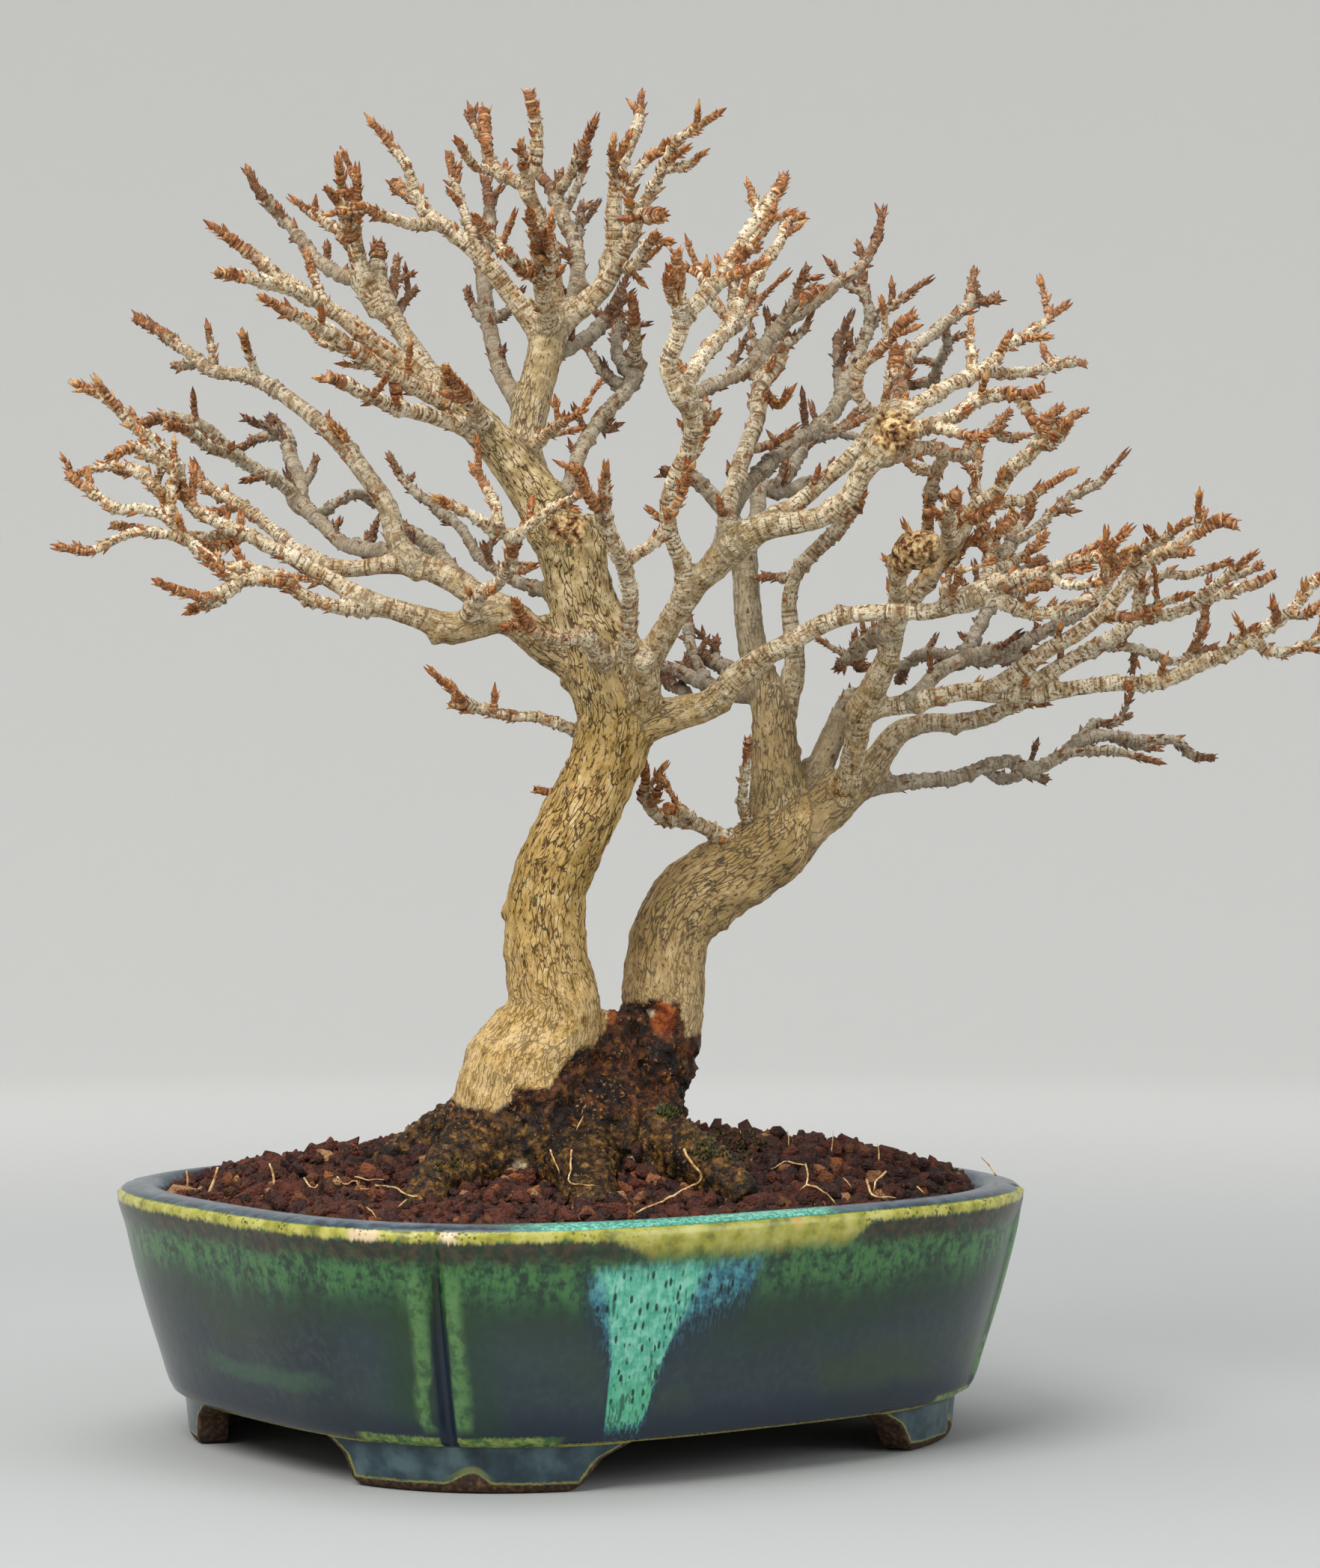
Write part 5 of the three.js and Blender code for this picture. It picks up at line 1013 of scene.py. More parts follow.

    # The rim: a brown band, a speckled lime edge that widens at the front, and a blue-grey top, lighter than
    # the walls partly by a painted reflection
    brown = roll + streaks * 4.5 + fibres * 3 + broad * 3
    wide = f.band(x + broad * 8, -58, -42, 16, 26) * front
    brown = f.band(brown, -9.2, -5.0, -1.6, -0.8) * (1.0 - wide)
    brown = brown * f.step(mottle + streaks * 1.2, 0.3, 0.55, 0.35, 1.0)
    body = f.over(body, f.mix(f.step(mottle, 0.4, 0.65), "2a2420", "4a3a2c"), brown, 0.88)
    depth = -1.6 - wide * 4.9 + streaks * 2.6 + fibres * 2.2 + fine * 1.2
    soft = 0.7 + wide * 2.2
    under = roll - depth
    lime = f.step(under, soft * -1, soft) * f.step(roll + fine * 0.9, 1.9, 1.1)
    patchy = f.ramp(f.noise(150, 3), (0.34, "76752e"), (0.48, settings.lime), (0.64, "bdb868"))
    ochre = wide * f.step(f.noise(75, 2), 0.5, 0.62)
    patchy = f.over(patchy, "c08a38", ochre, 0.75)
    left = f.step(x, 0, -10)
    # Cream patches beside the left front corner: glaze that thins to cream at the edge, with a painted
    # highlight in them
    cream_and_highlight = f.band(corner, 1.5, 3.0, 6.0, 8.5) * left + f.band(corner, -27, -24, -17, -14) * left
    patchy = f.over(patchy, "e3c9a8", cream_and_highlight, f.step(y, 0, -20), by_corner, 0.85)
    spots = f.step(f.cells(780) + fine * 0.4, 0.4, 0.3) * (1.0 - wide * 0.9)
    spots = spots * f.step(f.noise(110, 2), 0.42, 0.58, 0.15, 1.0)
    patchy = f.over(patchy, "33301f", spots, 0.85)
    body = f.over(body, patchy, lime, 0.92)
    # The rim top's blue-grey is its own glaze colour with a painted reflection that lightens it
    rim_top_and_reflection = f.ramp(f.noise(240, 4), (0.35, "27313c"), (0.52, "3a4854"), (0.7, "566570"))
    stretch = f.band(x + broad * 16, -84, -70, 6, 20) * front
    pale = f.ramp(f.noise(900, 3), (0.4, "3f8577"), (0.5, "57a594"), (0.66, "84c4b0"))
    pale = f.over(pale, "1d3a38", f.step(f.cells(900), 0.26, 0.16), 0.8)
    rim_top_and_reflection = f.over(rim_top_and_reflection, pale, stretch)
    body = f.over(body, rim_top_and_reflection, f.band(roll + fine * 1.6, 1.3, 2.3, 13, 15))

    # Feet: slate glaze down to a ragged lime line, bare clay at the soles and ends
    foot = f.step(z, 12.1, 11.9)
    side = f.value("side")
    slate = f.ramp(f.noise(110, 3), (0.34, "202e37"), (0.5, "30434c"), (0.68, "4b6064"))
    body = f.over(body, slate, foot)
    cusp = 2.3 + f.step(side, 0.22, 0.0) * 3.0 + fine * 0.9 + broad * 1.2
    bare = f.step(z - cusp, 0.15, -0.15)
    bare = f.math("MAXIMUM", bare, f.step(side + fine * 0.03, 0.955, 0.965))
    bare = f.math("MAXIMUM", bare, f.step(f.value("behind"), 1.6, 2.2)) * foot
    rim = f.band(z - cusp, -0.2, 0.1, 0.4, 0.9)
    rim = f.math("MAXIMUM", rim, f.band(side + fine * 0.03, 0.925, 0.94, 0.955, 0.97))
    rim = rim * f.step(mottle, 0.3, 0.55, 0.35, 1.0)
    rim = f.math("MAXIMUM", rim, f.step(side, 0.25, 0.0) * f.band(z - cusp, -0.2, 0.2, 1.4, 2.4) * 0.7)
    body = f.over(body, "8b8c3e", rim, foot, 1.0 - bare, 0.75)
    clay = f.math("MAXIMUM", clay, bare)
    earth = f.ramp(f.noise(700, 5), (0.32, "1b1410"), (0.5, "3a2819"), (0.7, "6b4c2c"))
    body = f.over(body, earth, clay)
    f.relief(f.noise(230, 2), 0.00035, 0.3)
    f.relief(pits * -1.0 + f.noise(1800, 2), 8e-05, 0.5)
    gloss = 0.2 + (cloud - 0.5) * 0.12 + run * 0.1
    return f.done(body, f.mix(clay, gloss, (0.85,) * 3 + (1.0,)))


# Soil

GRAIN_KINDS = 14
FRONT_DIP = 1.8
SOIL_INSET = 12.3
ABOVE_POT = 0.12
# Lumps that stand out above the rest: place and size
LUMPS = (
    (72.0, -52.0, 8.0), (79.0, -46.0, 6.5), (66.0, -57.0, 5.6), (-64.0, -60.0, 6.4), (-40.0, -78.0, 7.0),
    (20.0, -84.0, 7.2), (-86.0, 8.0, 7.4), (-80.0, 18.0, 6.4), (90.0, 6.0, 7.6), (48.0, -70.0, 6.6),
    (5.0, -80.0, 6.2), (-72.0, -38.0, 7.0),
)
# Fine roots that lie on the soil or hang from the foot, as seen: across and up along each, then thickness
ROOTLETS = (
    (((31.6, 78.9), (33.9, 75.0), (36.4, 71.2), (32.8, 68.3), (29.5, 66.6), (24.5, 64.1), (18.2, 61.2)), 0.5),
    (((-5.6, 78.9), (-4.3, 75.2), (-3.1, 71.6)), 0.32),
    (((0.3, 78.9), (0.0, 74.1), (-0.2, 70.0), (3.6, 69.1), (7.1, 68.7)), 0.35),
    (((3.4, 88.1), (2.5, 86.1), (1.5, 84.0)), 0.25),
    (((65.8, 74.8), (66.3, 71.8), (65.8, 69.1), (63.8, 67.5)), 0.35),
    (((66.0, 69.4), (70.4, 67.4), (72.5, 65.6), (73.6, 63.6)), 0.42),
    (((-74.2, 71.0), (-73.4, 69.0), (-72.0, 68.0), (-70.6, 69.3)), 0.35),
    (((-65.0, 71.4), (-63.0, 69.0), (-60.0, 70.2), (-58.2, 67.6), (-56.0, 68.2)), 0.35),
    (((-54.5, 68.9), (-49.0, 68.2), (-46.0, 66.2), (-42.6, 66.0)), 0.42),
    (((-60.6, 71.4), (-56.0, 70.4), (-52.0, 70.6)), 0.28),
    (((-57.0, 63.0), (-54.8, 60.8), (-54.2, 59.8)), 0.34),
    (((-46.0, 65.0), (-48.2, 62.6)), 0.3),
    (((88.0, 72.6), (85.0, 69.8), (84.6, 67.0)), 0.4),
    (((82.5, 70.4), (83.6, 66.6), (87.0, 65.4), (91.0, 65.6)), 0.45),
    (((76.0, 71.0), (78.2, 68.4)), 0.3),
    (((97.0, 68.6), (99.0, 66.2)), 0.3),
    (((66.0, 74.4), (60.0, 75.4), (56.0, 73.4)), 0.3),
)
# Bits of straw and hairs that stand on the soil: foot and tip, as seen, then thickness
HAIRS = (
    ((60.8, 80.0), (60.4, 84.6), 0.18),
    ((72.7, 78.4), (73.2, 84.2), 0.18),
    ((47.5, 80.4), (47.3, 84.2), 0.16),
    ((86.0, 75.8), (85.6, 80.6), 0.22),
    ((118.8, 71.6), (114.6, 76.8), 0.24),
    ((-107.2, 67.6), (-107.4, 73.0), 0.36),
    ((-101.0, 67.0), (-98.6, 74.0), 0.45),
    ((-82.8, 69.0), (-84.2, 75.0), 0.4),
    ((121.0, 66.0), (121.2, 69.4), 0.24),
)


def grain_shapes():
    """Rough broken blocks of unit width, each pushed out of shape in its own way."""
    shapes = []
    draw = draw_from(31)
    for kind in range(GRAIN_KINDS):
        bm = bmesh.new()
        bmesh.ops.create_cube(bm, size=0.9)
        bmesh.ops.bevel(bm, geom=bm.edges[:], offset=0.17, segments=1, profile=0.5, affect="EDGES", material=-1)
        for vert in bm.verts:
            push = noise.noise_vector(vert.co * 1.3 + Vector((kind * 7.3, 0, 0)))
            nick = noise.noise_vector(vert.co * 3.1 + Vector((0, kind * 5.1, 0)))
            vert.co += push * 0.34 + nick * 0.16
        shares = (0.9 + 0.4 * draw(), 0.8 + 0.3 * draw(), 0.65 + 0.35 * draw())
        bmesh.ops.scale(bm, vec=shares, verts=bm.verts)
        bmesh.ops.recalc_face_normals(bm, faces=bm.faces)
        bmesh.ops.triangulate(bm, faces=bm.faces)
        shapes.append(from_bmesh("grain", bm))
    return shapes


def dropped(tree, x, y):
    """Where a line down through a point of the pot's frame meets a mesh, in millimetres, or None."""
    start = in_row((x, y, 0))
    hit = tree.ray_cast(Vector((start[0], start[1], ABOVE_POT)), Vector((0, 0, -1)))
    return None if hit[0] is None else from_row(np.array(hit[0]))[2]


def met(tree, across, up):
    """Where the line of sight through (across, up) meets a mesh, in millimetres."""
    start = Vector(in_row(sighted(0, 0, EYE_DISTANCE)))
    aim = Vector(in_row(sighted(across, up, 0)))
    hit = tree.ray_cast(start, (aim - start).normalized())[0]
    return sighted(across, up, 0) if hit is None else from_row(np.array(hit))


def soil_pieces(settings):
    shapes = grain_shapes()
    bed = soil_bed()
    bpy.context.view_layer.update()
    ground = BVHTree.FromObject(bed, bpy.context.evaluated_depsgraph_get())
    draw = draw_from(47)
    pitch = settings.grain_size / MM * 0.9
    kinds, matrices, tints = [], [], []
    layers = ((pitch, 1.0, -0.25), (pitch * 1.5, 0.66, 0.3))
    for step, share, lift in layers:
        rows = int(RIM_WIDTH / step) + 2
        for row in range(-rows, rows):
            for column in range(-rows, rows):
                x = (column + 0.5 * (row % 2)) * step + (draw() - 0.5) * step * 0.9
                y = row * step * 0.87 + (draw() - 0.5) * step * 0.9
                size = settings.grain_size / MM * share * (0.6 + 1.05 * draw() ** 1.9)
                facing_way = (draw() - 0.5, draw() - 0.5, draw() - 0.5)
                spin, tint, kind, sunk = draw() * math.tau, draw(), int(draw() * GRAIN_KINDS), draw()
                if inside_outline(x, y)[1] > HALF - SOIL_INSET - size * 0.5:
                    continue
                high = dropped(ground, x, y)
                if high is None:
                    continue
                place = in_row((x, y, high + size * (lift + 0.35 * (sunk - 0.5))))
                kinds.append(kind)
                matrices.append(turned(facing_way, spin, size * MM, place))
                tints.append(tint)
    for i, (x, y, size) in enumerate(LUMPS):
        high = dropped(ground, x, y)
        kinds.append(i)
        matrices.append(turned((0.2, 0.1, 1), size, size * MM, in_row((x, y, high + size * 0.12))))
        tints.append(0.07 * (i % 4))
    made = scattered("soil_grains", shapes, kinds, matrices, tint=np.array(tints))
    for shape in shapes:
        bpy.data.objects.remove(shape)
    seated(made, grit_finish("soil_grit", settings, "tint"), "grit")
    seated(bed, grit_finish("soil_bed", settings, None), "grit", "soil")


def soil_bed():
    """The soil's own solid, sunk a little on the side that faces the eye, so that the roots stand free."""
    bed = linked("soil_bed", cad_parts["soil"].data.copy())
    weld(bed.data)
    x, y, z = from_row(places_of(bed.data)).T
    share = np.clip(inside_outline(x, y)[1] / (HALF - 12), 0, 1)
    toward = seen(np.stack([x, y, z], -1))[2]
    sunk = FRONT_DIP * smoothstep(toward, 4, 36) * (1 - share**6) * smoothstep(z, 58, 66)
    set_places(bed.data, in_row(np.stack([x, y, z - sunk], -1)))
    return bed


def grit_finish(name, settings, tint):
    f = Finish(name, rough=0.85, specular=0.3)
    pores = f.cells(1300)
    rough = f.noise(900, 5)
    if tint:
        base = f.ramp(
            f.value(tint),
            (0.0, "5a2f22"),
            (0.22, settings.grit),
            (0.42, "2c1a1c"),
            (0.6, "43261d"),
            (0.76, "241618"),
            (0.9, "5c3a24"),
            (0.95, "94542c"),
            (0.99, "a88058"),
        )
    else:
        # The bed under the grains is near black: painted shade for the gaps between them
        base = f.ramp(f.noise(300, 4), (0.35, "0f0a0a"), (0.65, "2a1b16"))
    base = f.over(base, "7a5040", f.step(rough, 0.45, 0.75, 0.0, 0.4))
    base = f.over(base, "6b3420", f.step(f.noise(260, 3), 0.52, 0.64, 0.0, 0.5))
    base = f.over(base, "0b0707", f.step(pores + rough * 0.3, 0.46, 0.3, 0.0, 0.9))
    # Painted shade: the soil darkens toward the right as seen from the eye, on the side away from the key light
    x, y = f.parts(f.place)[:2]
    across = x * COS - y * SIN
    base = f.over(base, "0d0706", f.step(across, -0.04, 0.1, 0.0, 0.35))
    f.relief(rough, 0.0008, 0.9)
    f.relief(pores, 0.0006, 0.9)
    return f.done(base)


def dress(node, finish):
    """Gives a node that stays as it is its own material."""
    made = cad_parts[node]
    made.data.materials.clear()
    made.data.materials.append(finish)


# Tree

ROOT_NAMES = set(
    "frontTrunk rearTrunk rootCrown leftRoot nearLeftRoot nearRoot nearRightRoot rightRoot"
    " farRightRoot farLeftRoot".split()
)
THICK = 2.1
SHOOT_PITCH = 84.0
YOUNG_PITCH = 10.0
KNOB_PITCH = 14.0
KNOB_LOWEST = 125
BUD_PITCH = 8.5
# The upper edge of the wet foot: across and up, as seen
WET_LINE = (
    (-60, 98), (-33.4, 93.4), (-29.6, 90.4), (-20.6, 90.0), (-16.9, 92.7), (-16.0, 95.7), (-6.4, 95.7),
    (-4.1, 98.6), (-1.2, 103.8), (1.7, 106.5), (6.3, 107.6), (8.4, 110.5), (10.1, 113.6), (10.7, 119.5),
    (14.5, 120.7), (30.1, 120.5), (31.2, 116.5), (32.0, 111.3), (36.4, 111.0), (60, 108),
)
# Patches of moss and lichen on the bark: across, up, how wide and how strong
MOSS_PATCHES = (
    (8, 202, 13, 0.42), (16, 196, 9, 0.4), (25, 88, 7, 0.5), (57, 180, 16, 0.4), (50, 168, 9, 0.35),
    (-4, 247, 9, 0.4), (-14, 150, 10, 0.4), (44, 250, 10, 0.4), (-28, 140, 9, 0.4), (30, 150, 9, 0.35),
    (43, 80, 9, 0.5), (27, 87, 6, 0.5),
)
# Rough burrs: across, up and how wide
BURRS = ((95.9, 246.1, 10.0), (90.5, 279.9, 8.0), (-1.0, 252.0, 7.0))
# Places where brown husks crowd the young wood: across, up and how wide
TUFTS = (
    (-61.6, 332, 7), (-48.2, 319, 7), (-54.9, 304, 8), (-31.5, 292, 8), (-8.1, 331, 9), (29.5, 322, 7),
    (46.2, 327, 9), (11.9, 314, 7), (52.1, 292, 8), (-64.1, 277, 6), (-14.0, 225, 6), (7.8, 261, 7),
    (18.6, 229, 6), (-105, 262, 11), (-128, 266, 6), (-78.9, 239, 6), (92.6, 294, 9), (59.8, 349, 8),
    (135, 282, 6), (151, 246, 8), (114, 321, 6), (117, 253, 8), (-96, 246, 7),
)
# Marks on the wet foot: across, up, half width and half height
RED_CUTS = ((25.9, 115.5, 3.4, 5.0), (11.2, 116.3, 1.5, 2.6))
# Tufts of moss: across, up, how wide and how many leaves
MOSS_TUFTS = ((27.6, 89.0, 3.5, 70), (45.0, 80.0, 10.0, 110), (36.0, 77.0, 4.0, 40), (-33.0, 74.0, 5.0, 30))
PALE_CUTS = ((-14.4, 74.4, 2.0, 1.6), (22.6, 117.2, 1.1, 1.0), (17.5, 76.6, 1.6, 0.6))


class Limb:
    """A limb's smooth line and thickness, in millimetres of the pot's frame."""

    def __init__(self, name, points, radii, end, lean):
        self.name, self.points, self.radii, self.end, self.lean = name, points, radii, end, lean
        self.line = Line(points)
        self.length = self.line.length

    def radius(self, distances):
        place = self.line.share(distances) * (len(self.radii) - 1)
        return np.interp(place, np.arange(len(self.radii)), self.radii)

    def samples(self, step, start=0.0):
        count = max(2, int(round((self.length - start) / step)) + 1)
        along = np.linspace(start, self.length, count)
        return along, self.line.at(along), self.radius(along)


def trace_limbs(table):
    """Turns a table of limbs, as LIMBS holds them, into limbs in space."""
    traced = {}
    for row in table.split(";")[:-1]:
        name, start, lean, end, *points = row.split()
        line = np.array([[float(number) / 10 for number in point.split(",")] for point in points])
        spots = line[:, :2]
        if start in traced:
            parent = traced[start]
            off = np.hypot(*(parent["spots"] - spots[0]).T)
            start = parent["toward"][int(np.argmin(off))]
        start, lean = float(start), float(lean)
        along = np.r_[0, np.cumsum(np.hypot(*np.diff(spots, axis=0).T))]
        toward = start + (lean - start) * along / along[-1]
        traced[name] = {"spots": spots, "toward": toward}
        points = sighted(spots[:, 0], spots[:, 1], toward)
        traced[name]["limb"] = Limb(name, points, list(line[:, 2]), end, toward[-1])
    return [trace["limb"] for trace in traced.values()]


def unit(vector):
    return vector / np.linalg.norm(vector)


def side_shoots(limbs):
    """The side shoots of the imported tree, at the same places."""
    draw = draw_from(7)
    shoots = []
    for limb in limbs:
        if limb.name in ROOT_NAMES or not 1.3 <= limb.radii[0] <= 3:
            continue
        tangents, normals, binormals = limb.line.frames(np.linspace(0, limb.length, 25))
        turn = draw() * math.pi
        at = 0.45 * SHOOT_PITCH
        while at < limb.length - 6:
            step = int(math.floor(at / limb.length * 24 + 0.5))
            side = turn + (0 if draw() < 0.5 else math.pi)
            way = unit(
                normals[step] * math.cos(side) + binormals[step] * math.sin(side) + tangents[step] * 0.75
            )
            start = limb.line.at(at)[0]
            reach = 9 + 9 * draw()
            middle = start + way * 0.55 * reach
            tip = start + way * reach + np.array([0, 0, 0.22 * reach])
            shoots.append(Limb("shoot", np.array([start, middle, tip]), [1.4, 1.4, 0.6], "bud", limb.lean))
            turn += math.pi / 2
            at += SHOOT_PITCH * (0.75 + 0.5 * draw())
    return shoots


def young_shoots(limbs):
    """Short fine shoots in opposite pairs between the longer ones, reaching up and outward."""
    draw = draw_from(83)
    shoots = []
    for limb in limbs:
        if limb.name in ROOT_NAMES or limb.radii[0] > 3.4 or limb.length < 14:
            continue
        stops = np.arange(5 + 10 * draw(), limb.length - 3, YOUNG_PITCH)
        if not len(stops):
            continue
        stops = stops + np.array([(draw() - 0.5) * 8 for _ in stops])
        tangents, normals, binormals = limb.line.frames(stops)
        for i, at in enumerate(stops):
            if draw() < 0.38:
                continue
            side = draw() * math.tau
            way = normals[i] * math.cos(side) + binormals[i] * math.sin(side)
            way = unit(way + tangents[i] * (0.35 + 0.7 * draw()) + np.array([0, 0, 0.35]))
            start = limb.line.at(at)[0]
            reach = 2.5 + 8 * draw() ** 1.6
            bow = np.array([draw() - 0.5, draw() - 0.5, draw()]) * 0.24 * reach
            radius = min(1.0, 0.8 * float(limb.radius(at)))
            spots = np.array([start, start + way * reach * 0.5 + bow * 0.4, start + way * reach + bow])
            shoots.append(Limb("young", spots, [radius, radius * 0.85, radius * 0.72], "bud", limb.lean))
    return shoots


def strand_of(limb, draw, start=0.0):
    """A limb as a knobby tube: ring scars at uneven steps, close together near the tip, with some thick
    nodes and narrower wood between them."""
    along, swell = [start], [1.0]
    at = start + 0.8
    while at < limb.length - 0.5:
        crowd = min(1.0, 0.6 + (limb.length - at) / 40)
        step = (1.1 + 1.9 * draw()) * crowd
        knob = 0.32 if draw() < 0.18 else 0.0
        along += [at, at + 0.3 * step, at + 0.65 * step]
        swell += [1.04 + 0.12 * draw() + knob, 0.98 + 0.5 * knob, 0.91 + 0.05 * draw()]
        at += step
    along.append(limb.length)
    swell.append(0.75 if limb.end == "bud" else 0.97)
    along = np.clip(np.array(along), 0, limb.length)
    keep = np.r_[True, np.diff(along) > 0.05]
    along, swell = along[keep], np.array(swell)[keep]
    radii = limb.radius(along)
    swell = 1 + (swell - 1) * np.interp(radii, (0.5, 1.2, 2.6), (0.9, 1.1, 0.6))
    collar = 0.35 * np.exp(-along / 2.2) * np.interp(radii, (0.8, 2.0), (1.0, 0.5))
    places = limb.line.at(along)
    bend = np.array([noise.noise_vector(Vector(place) * 0.11) for place in places])
    kink = np.array([noise.noise_vector(Vector(place) * 0.33) for place in places])
    wander = bend * np.minimum(0.9, radii * 0.35)[:, None] + kink * np.minimum(0.35, radii * 0.2)[:, None]
    places = places + wander * smoothstep(along, start, start + 4)[:, None]
    return places, np.maximum(radii, 0.45) * swell * (1 + collar), along


class Wood:
    """All samples of a set of limbs, to find which limb a point of the surface belongs to."""

    def __init__(self, limbs, step=1.6):
        self.limbs = limbs
        rows = []
        for number, limb in enumerate(limbs):
            along, places, radii = limb.samples(step)
            _, normals, binormals = limb.line.frames(along)
            rows.append((places, radii, along, normals, binormals, np.full(len(along), number)))
        self.places, self.radii, self.along, self.normals, self.binormals, self.owner = (
            np.concatenate(part) for part in zip(*rows)
        )
        self.starts = np.r_[0, np.flatnonzero(np.diff(self.owner)) + 1]

    def nearest(self, points, soft=0.0):
        """The nearest sample by surface, and how far the softly joined surface stands out there."""
        chosen = np.empty(len(points), int)
        rise = np.zeros(len(points))
        for part in runs_of(len(points), 2500):
            off = np.linalg.norm(points[part, None] - self.places[None], axis=2) - self.radii
            chosen[part] = np.argmin(off, axis=1)
            if soft:
                each = np.minimum.reduceat(off, self.starts, axis=1)
                low = each.min(axis=1)
                rise[part] = soft * np.log(np.exp(-(each - low[:, None]) / soft).sum(axis=1))
        return chosen, rise

    def coordinates(self, points, chosen):
        """Each point beside its limb's line: across it two ways, and along it, in metres."""
        off = points - self.places[chosen]
        a = np.einsum("ij,ij->i", off, self.normals[chosen])
        b = np.einsum("ij,ij->i", off, self.binormals[chosen])
        jump = self.owner[chosen] * 37.0
        tangent = np.cross(self.normals[chosen], self.binormals[chosen])
        along = self.along[chosen] + np.einsum("ij,ij->i", off, tangent)
        return np.stack([a, b, along + jump], -1) * MM


def far_shade(lean):
    """How much painted shade dulls wood that leans away from the eye, from 0 to 1."""
    return smoothstep(-lean, -5.0, 60.0)


def strongest(across, up, marks):
    """How far inside the nearest of several oval marks points lie, from 1 in the middle to 0 outside."""
    found = np.zeros(len(across))
    for middle, height, wide, tall in marks:
        off = np.hypot((across - middle) / wide, (up - height) / tall)
        found = np.maximum(found, smoothstep(off, 1.25, 0.75))
    return found


def within(marks, across, up):
    """How near the middle of the nearest of several round marks points lie as seen, from 0 to 1."""
    return np.max([bell(np.hypot(across - a, up - u), wide) for a, u, wide in marks], axis=0)


def marked_bark(mesh, points, wood, chosen):
    """Stores what the bark's finish reads: age, damp, moss, marks, shade, how near the tip a point is, and
    its place beside the limb's line."""
    across, up, toward = seen(points)
    radius = wood.radii[chosen]
    wobble = np.array([noise.noise(Vector(p) * 0.09) for p in points])
    ragged = np.array([noise.noise(Vector(p) * 0.42) for p in points])
    wet_line = np.interp(across, *zip(*WET_LINE))
    loose = smoothstep(toward, -10, -30)
    wet = smoothstep(
        wet_line + (1.2 + 6 * loose) * wobble + (1.3 + 2 * loose) * ragged - 4 * loose - up, -0.5, 0.5
    )
    moss = np.zeros(len(points))
    for patch_across, patch_up, wide, strong in MOSS_PATCHES:
        off = np.hypot(across - patch_across, up - patch_up)
        moss = np.maximum(moss, strong * bell(off, wide))
    moss = np.clip(moss + 0.5 * wobble * moss, 0, 1)
    burr = within(BURRS, across, up)
    front = smoothstep(toward, -12, -4)
    tint = np.array([math.sin(number * 12.9898) * 43758.5453 % 1 for number in range(len(wood.limbs))])
    lean = np.array([limb.lean for limb in wood.limbs])
    length = np.array([limb.length for limb in wood.limbs])
    end = np.array([limb.radii[-1] for limb in wood.limbs])
    owner = wood.owner[chosen]
    fade = 9.0 + 16.0 * tint[owner]
    tip = smoothstep(length[owner] - wood.along[chosen], fade, 2.0) * smoothstep(end[owner], 2.7, 1.7)
    crowded = smoothstep(within(TUFTS, across, up), 0.4, 0.9) * smoothstep(radius, 3.0, 1.8)
    tip = np.maximum(tip, 0.85 * crowded)
    set_attribute(mesh, "age", smoothstep(radius, 1.6, 6.5))
    set_attribute(mesh, "wet", wet)
    set_attribute(mesh, "moss", moss)
    set_attribute(mesh, "burr", burr * (toward > -40))
    set_attribute(mesh, "red", strongest(across, up, RED_CUTS) * front)
    set_attribute(mesh, "pale", strongest(across, up, PALE_CUTS) * front)
    set_attribute(mesh, "tip", tip)
    set_attribute(mesh, "tint", tint[owner])
    set_attribute(mesh, "shade", far_shade(lean)[owner])
    set_attribute(mesh, "grain", wood.coordinates(points, chosen))


def knobs(limbs):
    """Stubs of old cuts and sleeping buds that stand a little out of the thick limbs."""
    draw = draw_from(29)
    strands = []
    for limb in limbs:
        if limb.name in ROOT_NAMES and "Trunk" not in limb.name:
            continue
        stops = np.arange(9 + 9 * draw(), limb.length - 5, KNOB_PITCH)
        if not len(stops):
            continue
        tangents, normals, binormals = limb.line.frames(stops)
        for i, at in enumerate(stops):
            radius = float(limb.radius(at))
            side, size, out = draw() * math.tau, draw(), draw()
            if draw() < 0.35 or radius < 1.8 or limb.line.at(at)[0][2] < KNOB_LOWEST:
                continue
            way = normals[i] * math.cos(side) + binormals[i] * math.sin(side) + 0.3 * tangents[i]
            thick = min(0.55 * radius, 1.1 + 1.1 * size)
            middle = limb.line.at(at)[0]
            reach = np.array([0.4 * radius, radius, radius + 0.5 + 1.0 * out])
            strands.append((middle + way * reach[:, None], thick * np.array([1.5, 1.15, 0.9])))
    return strands


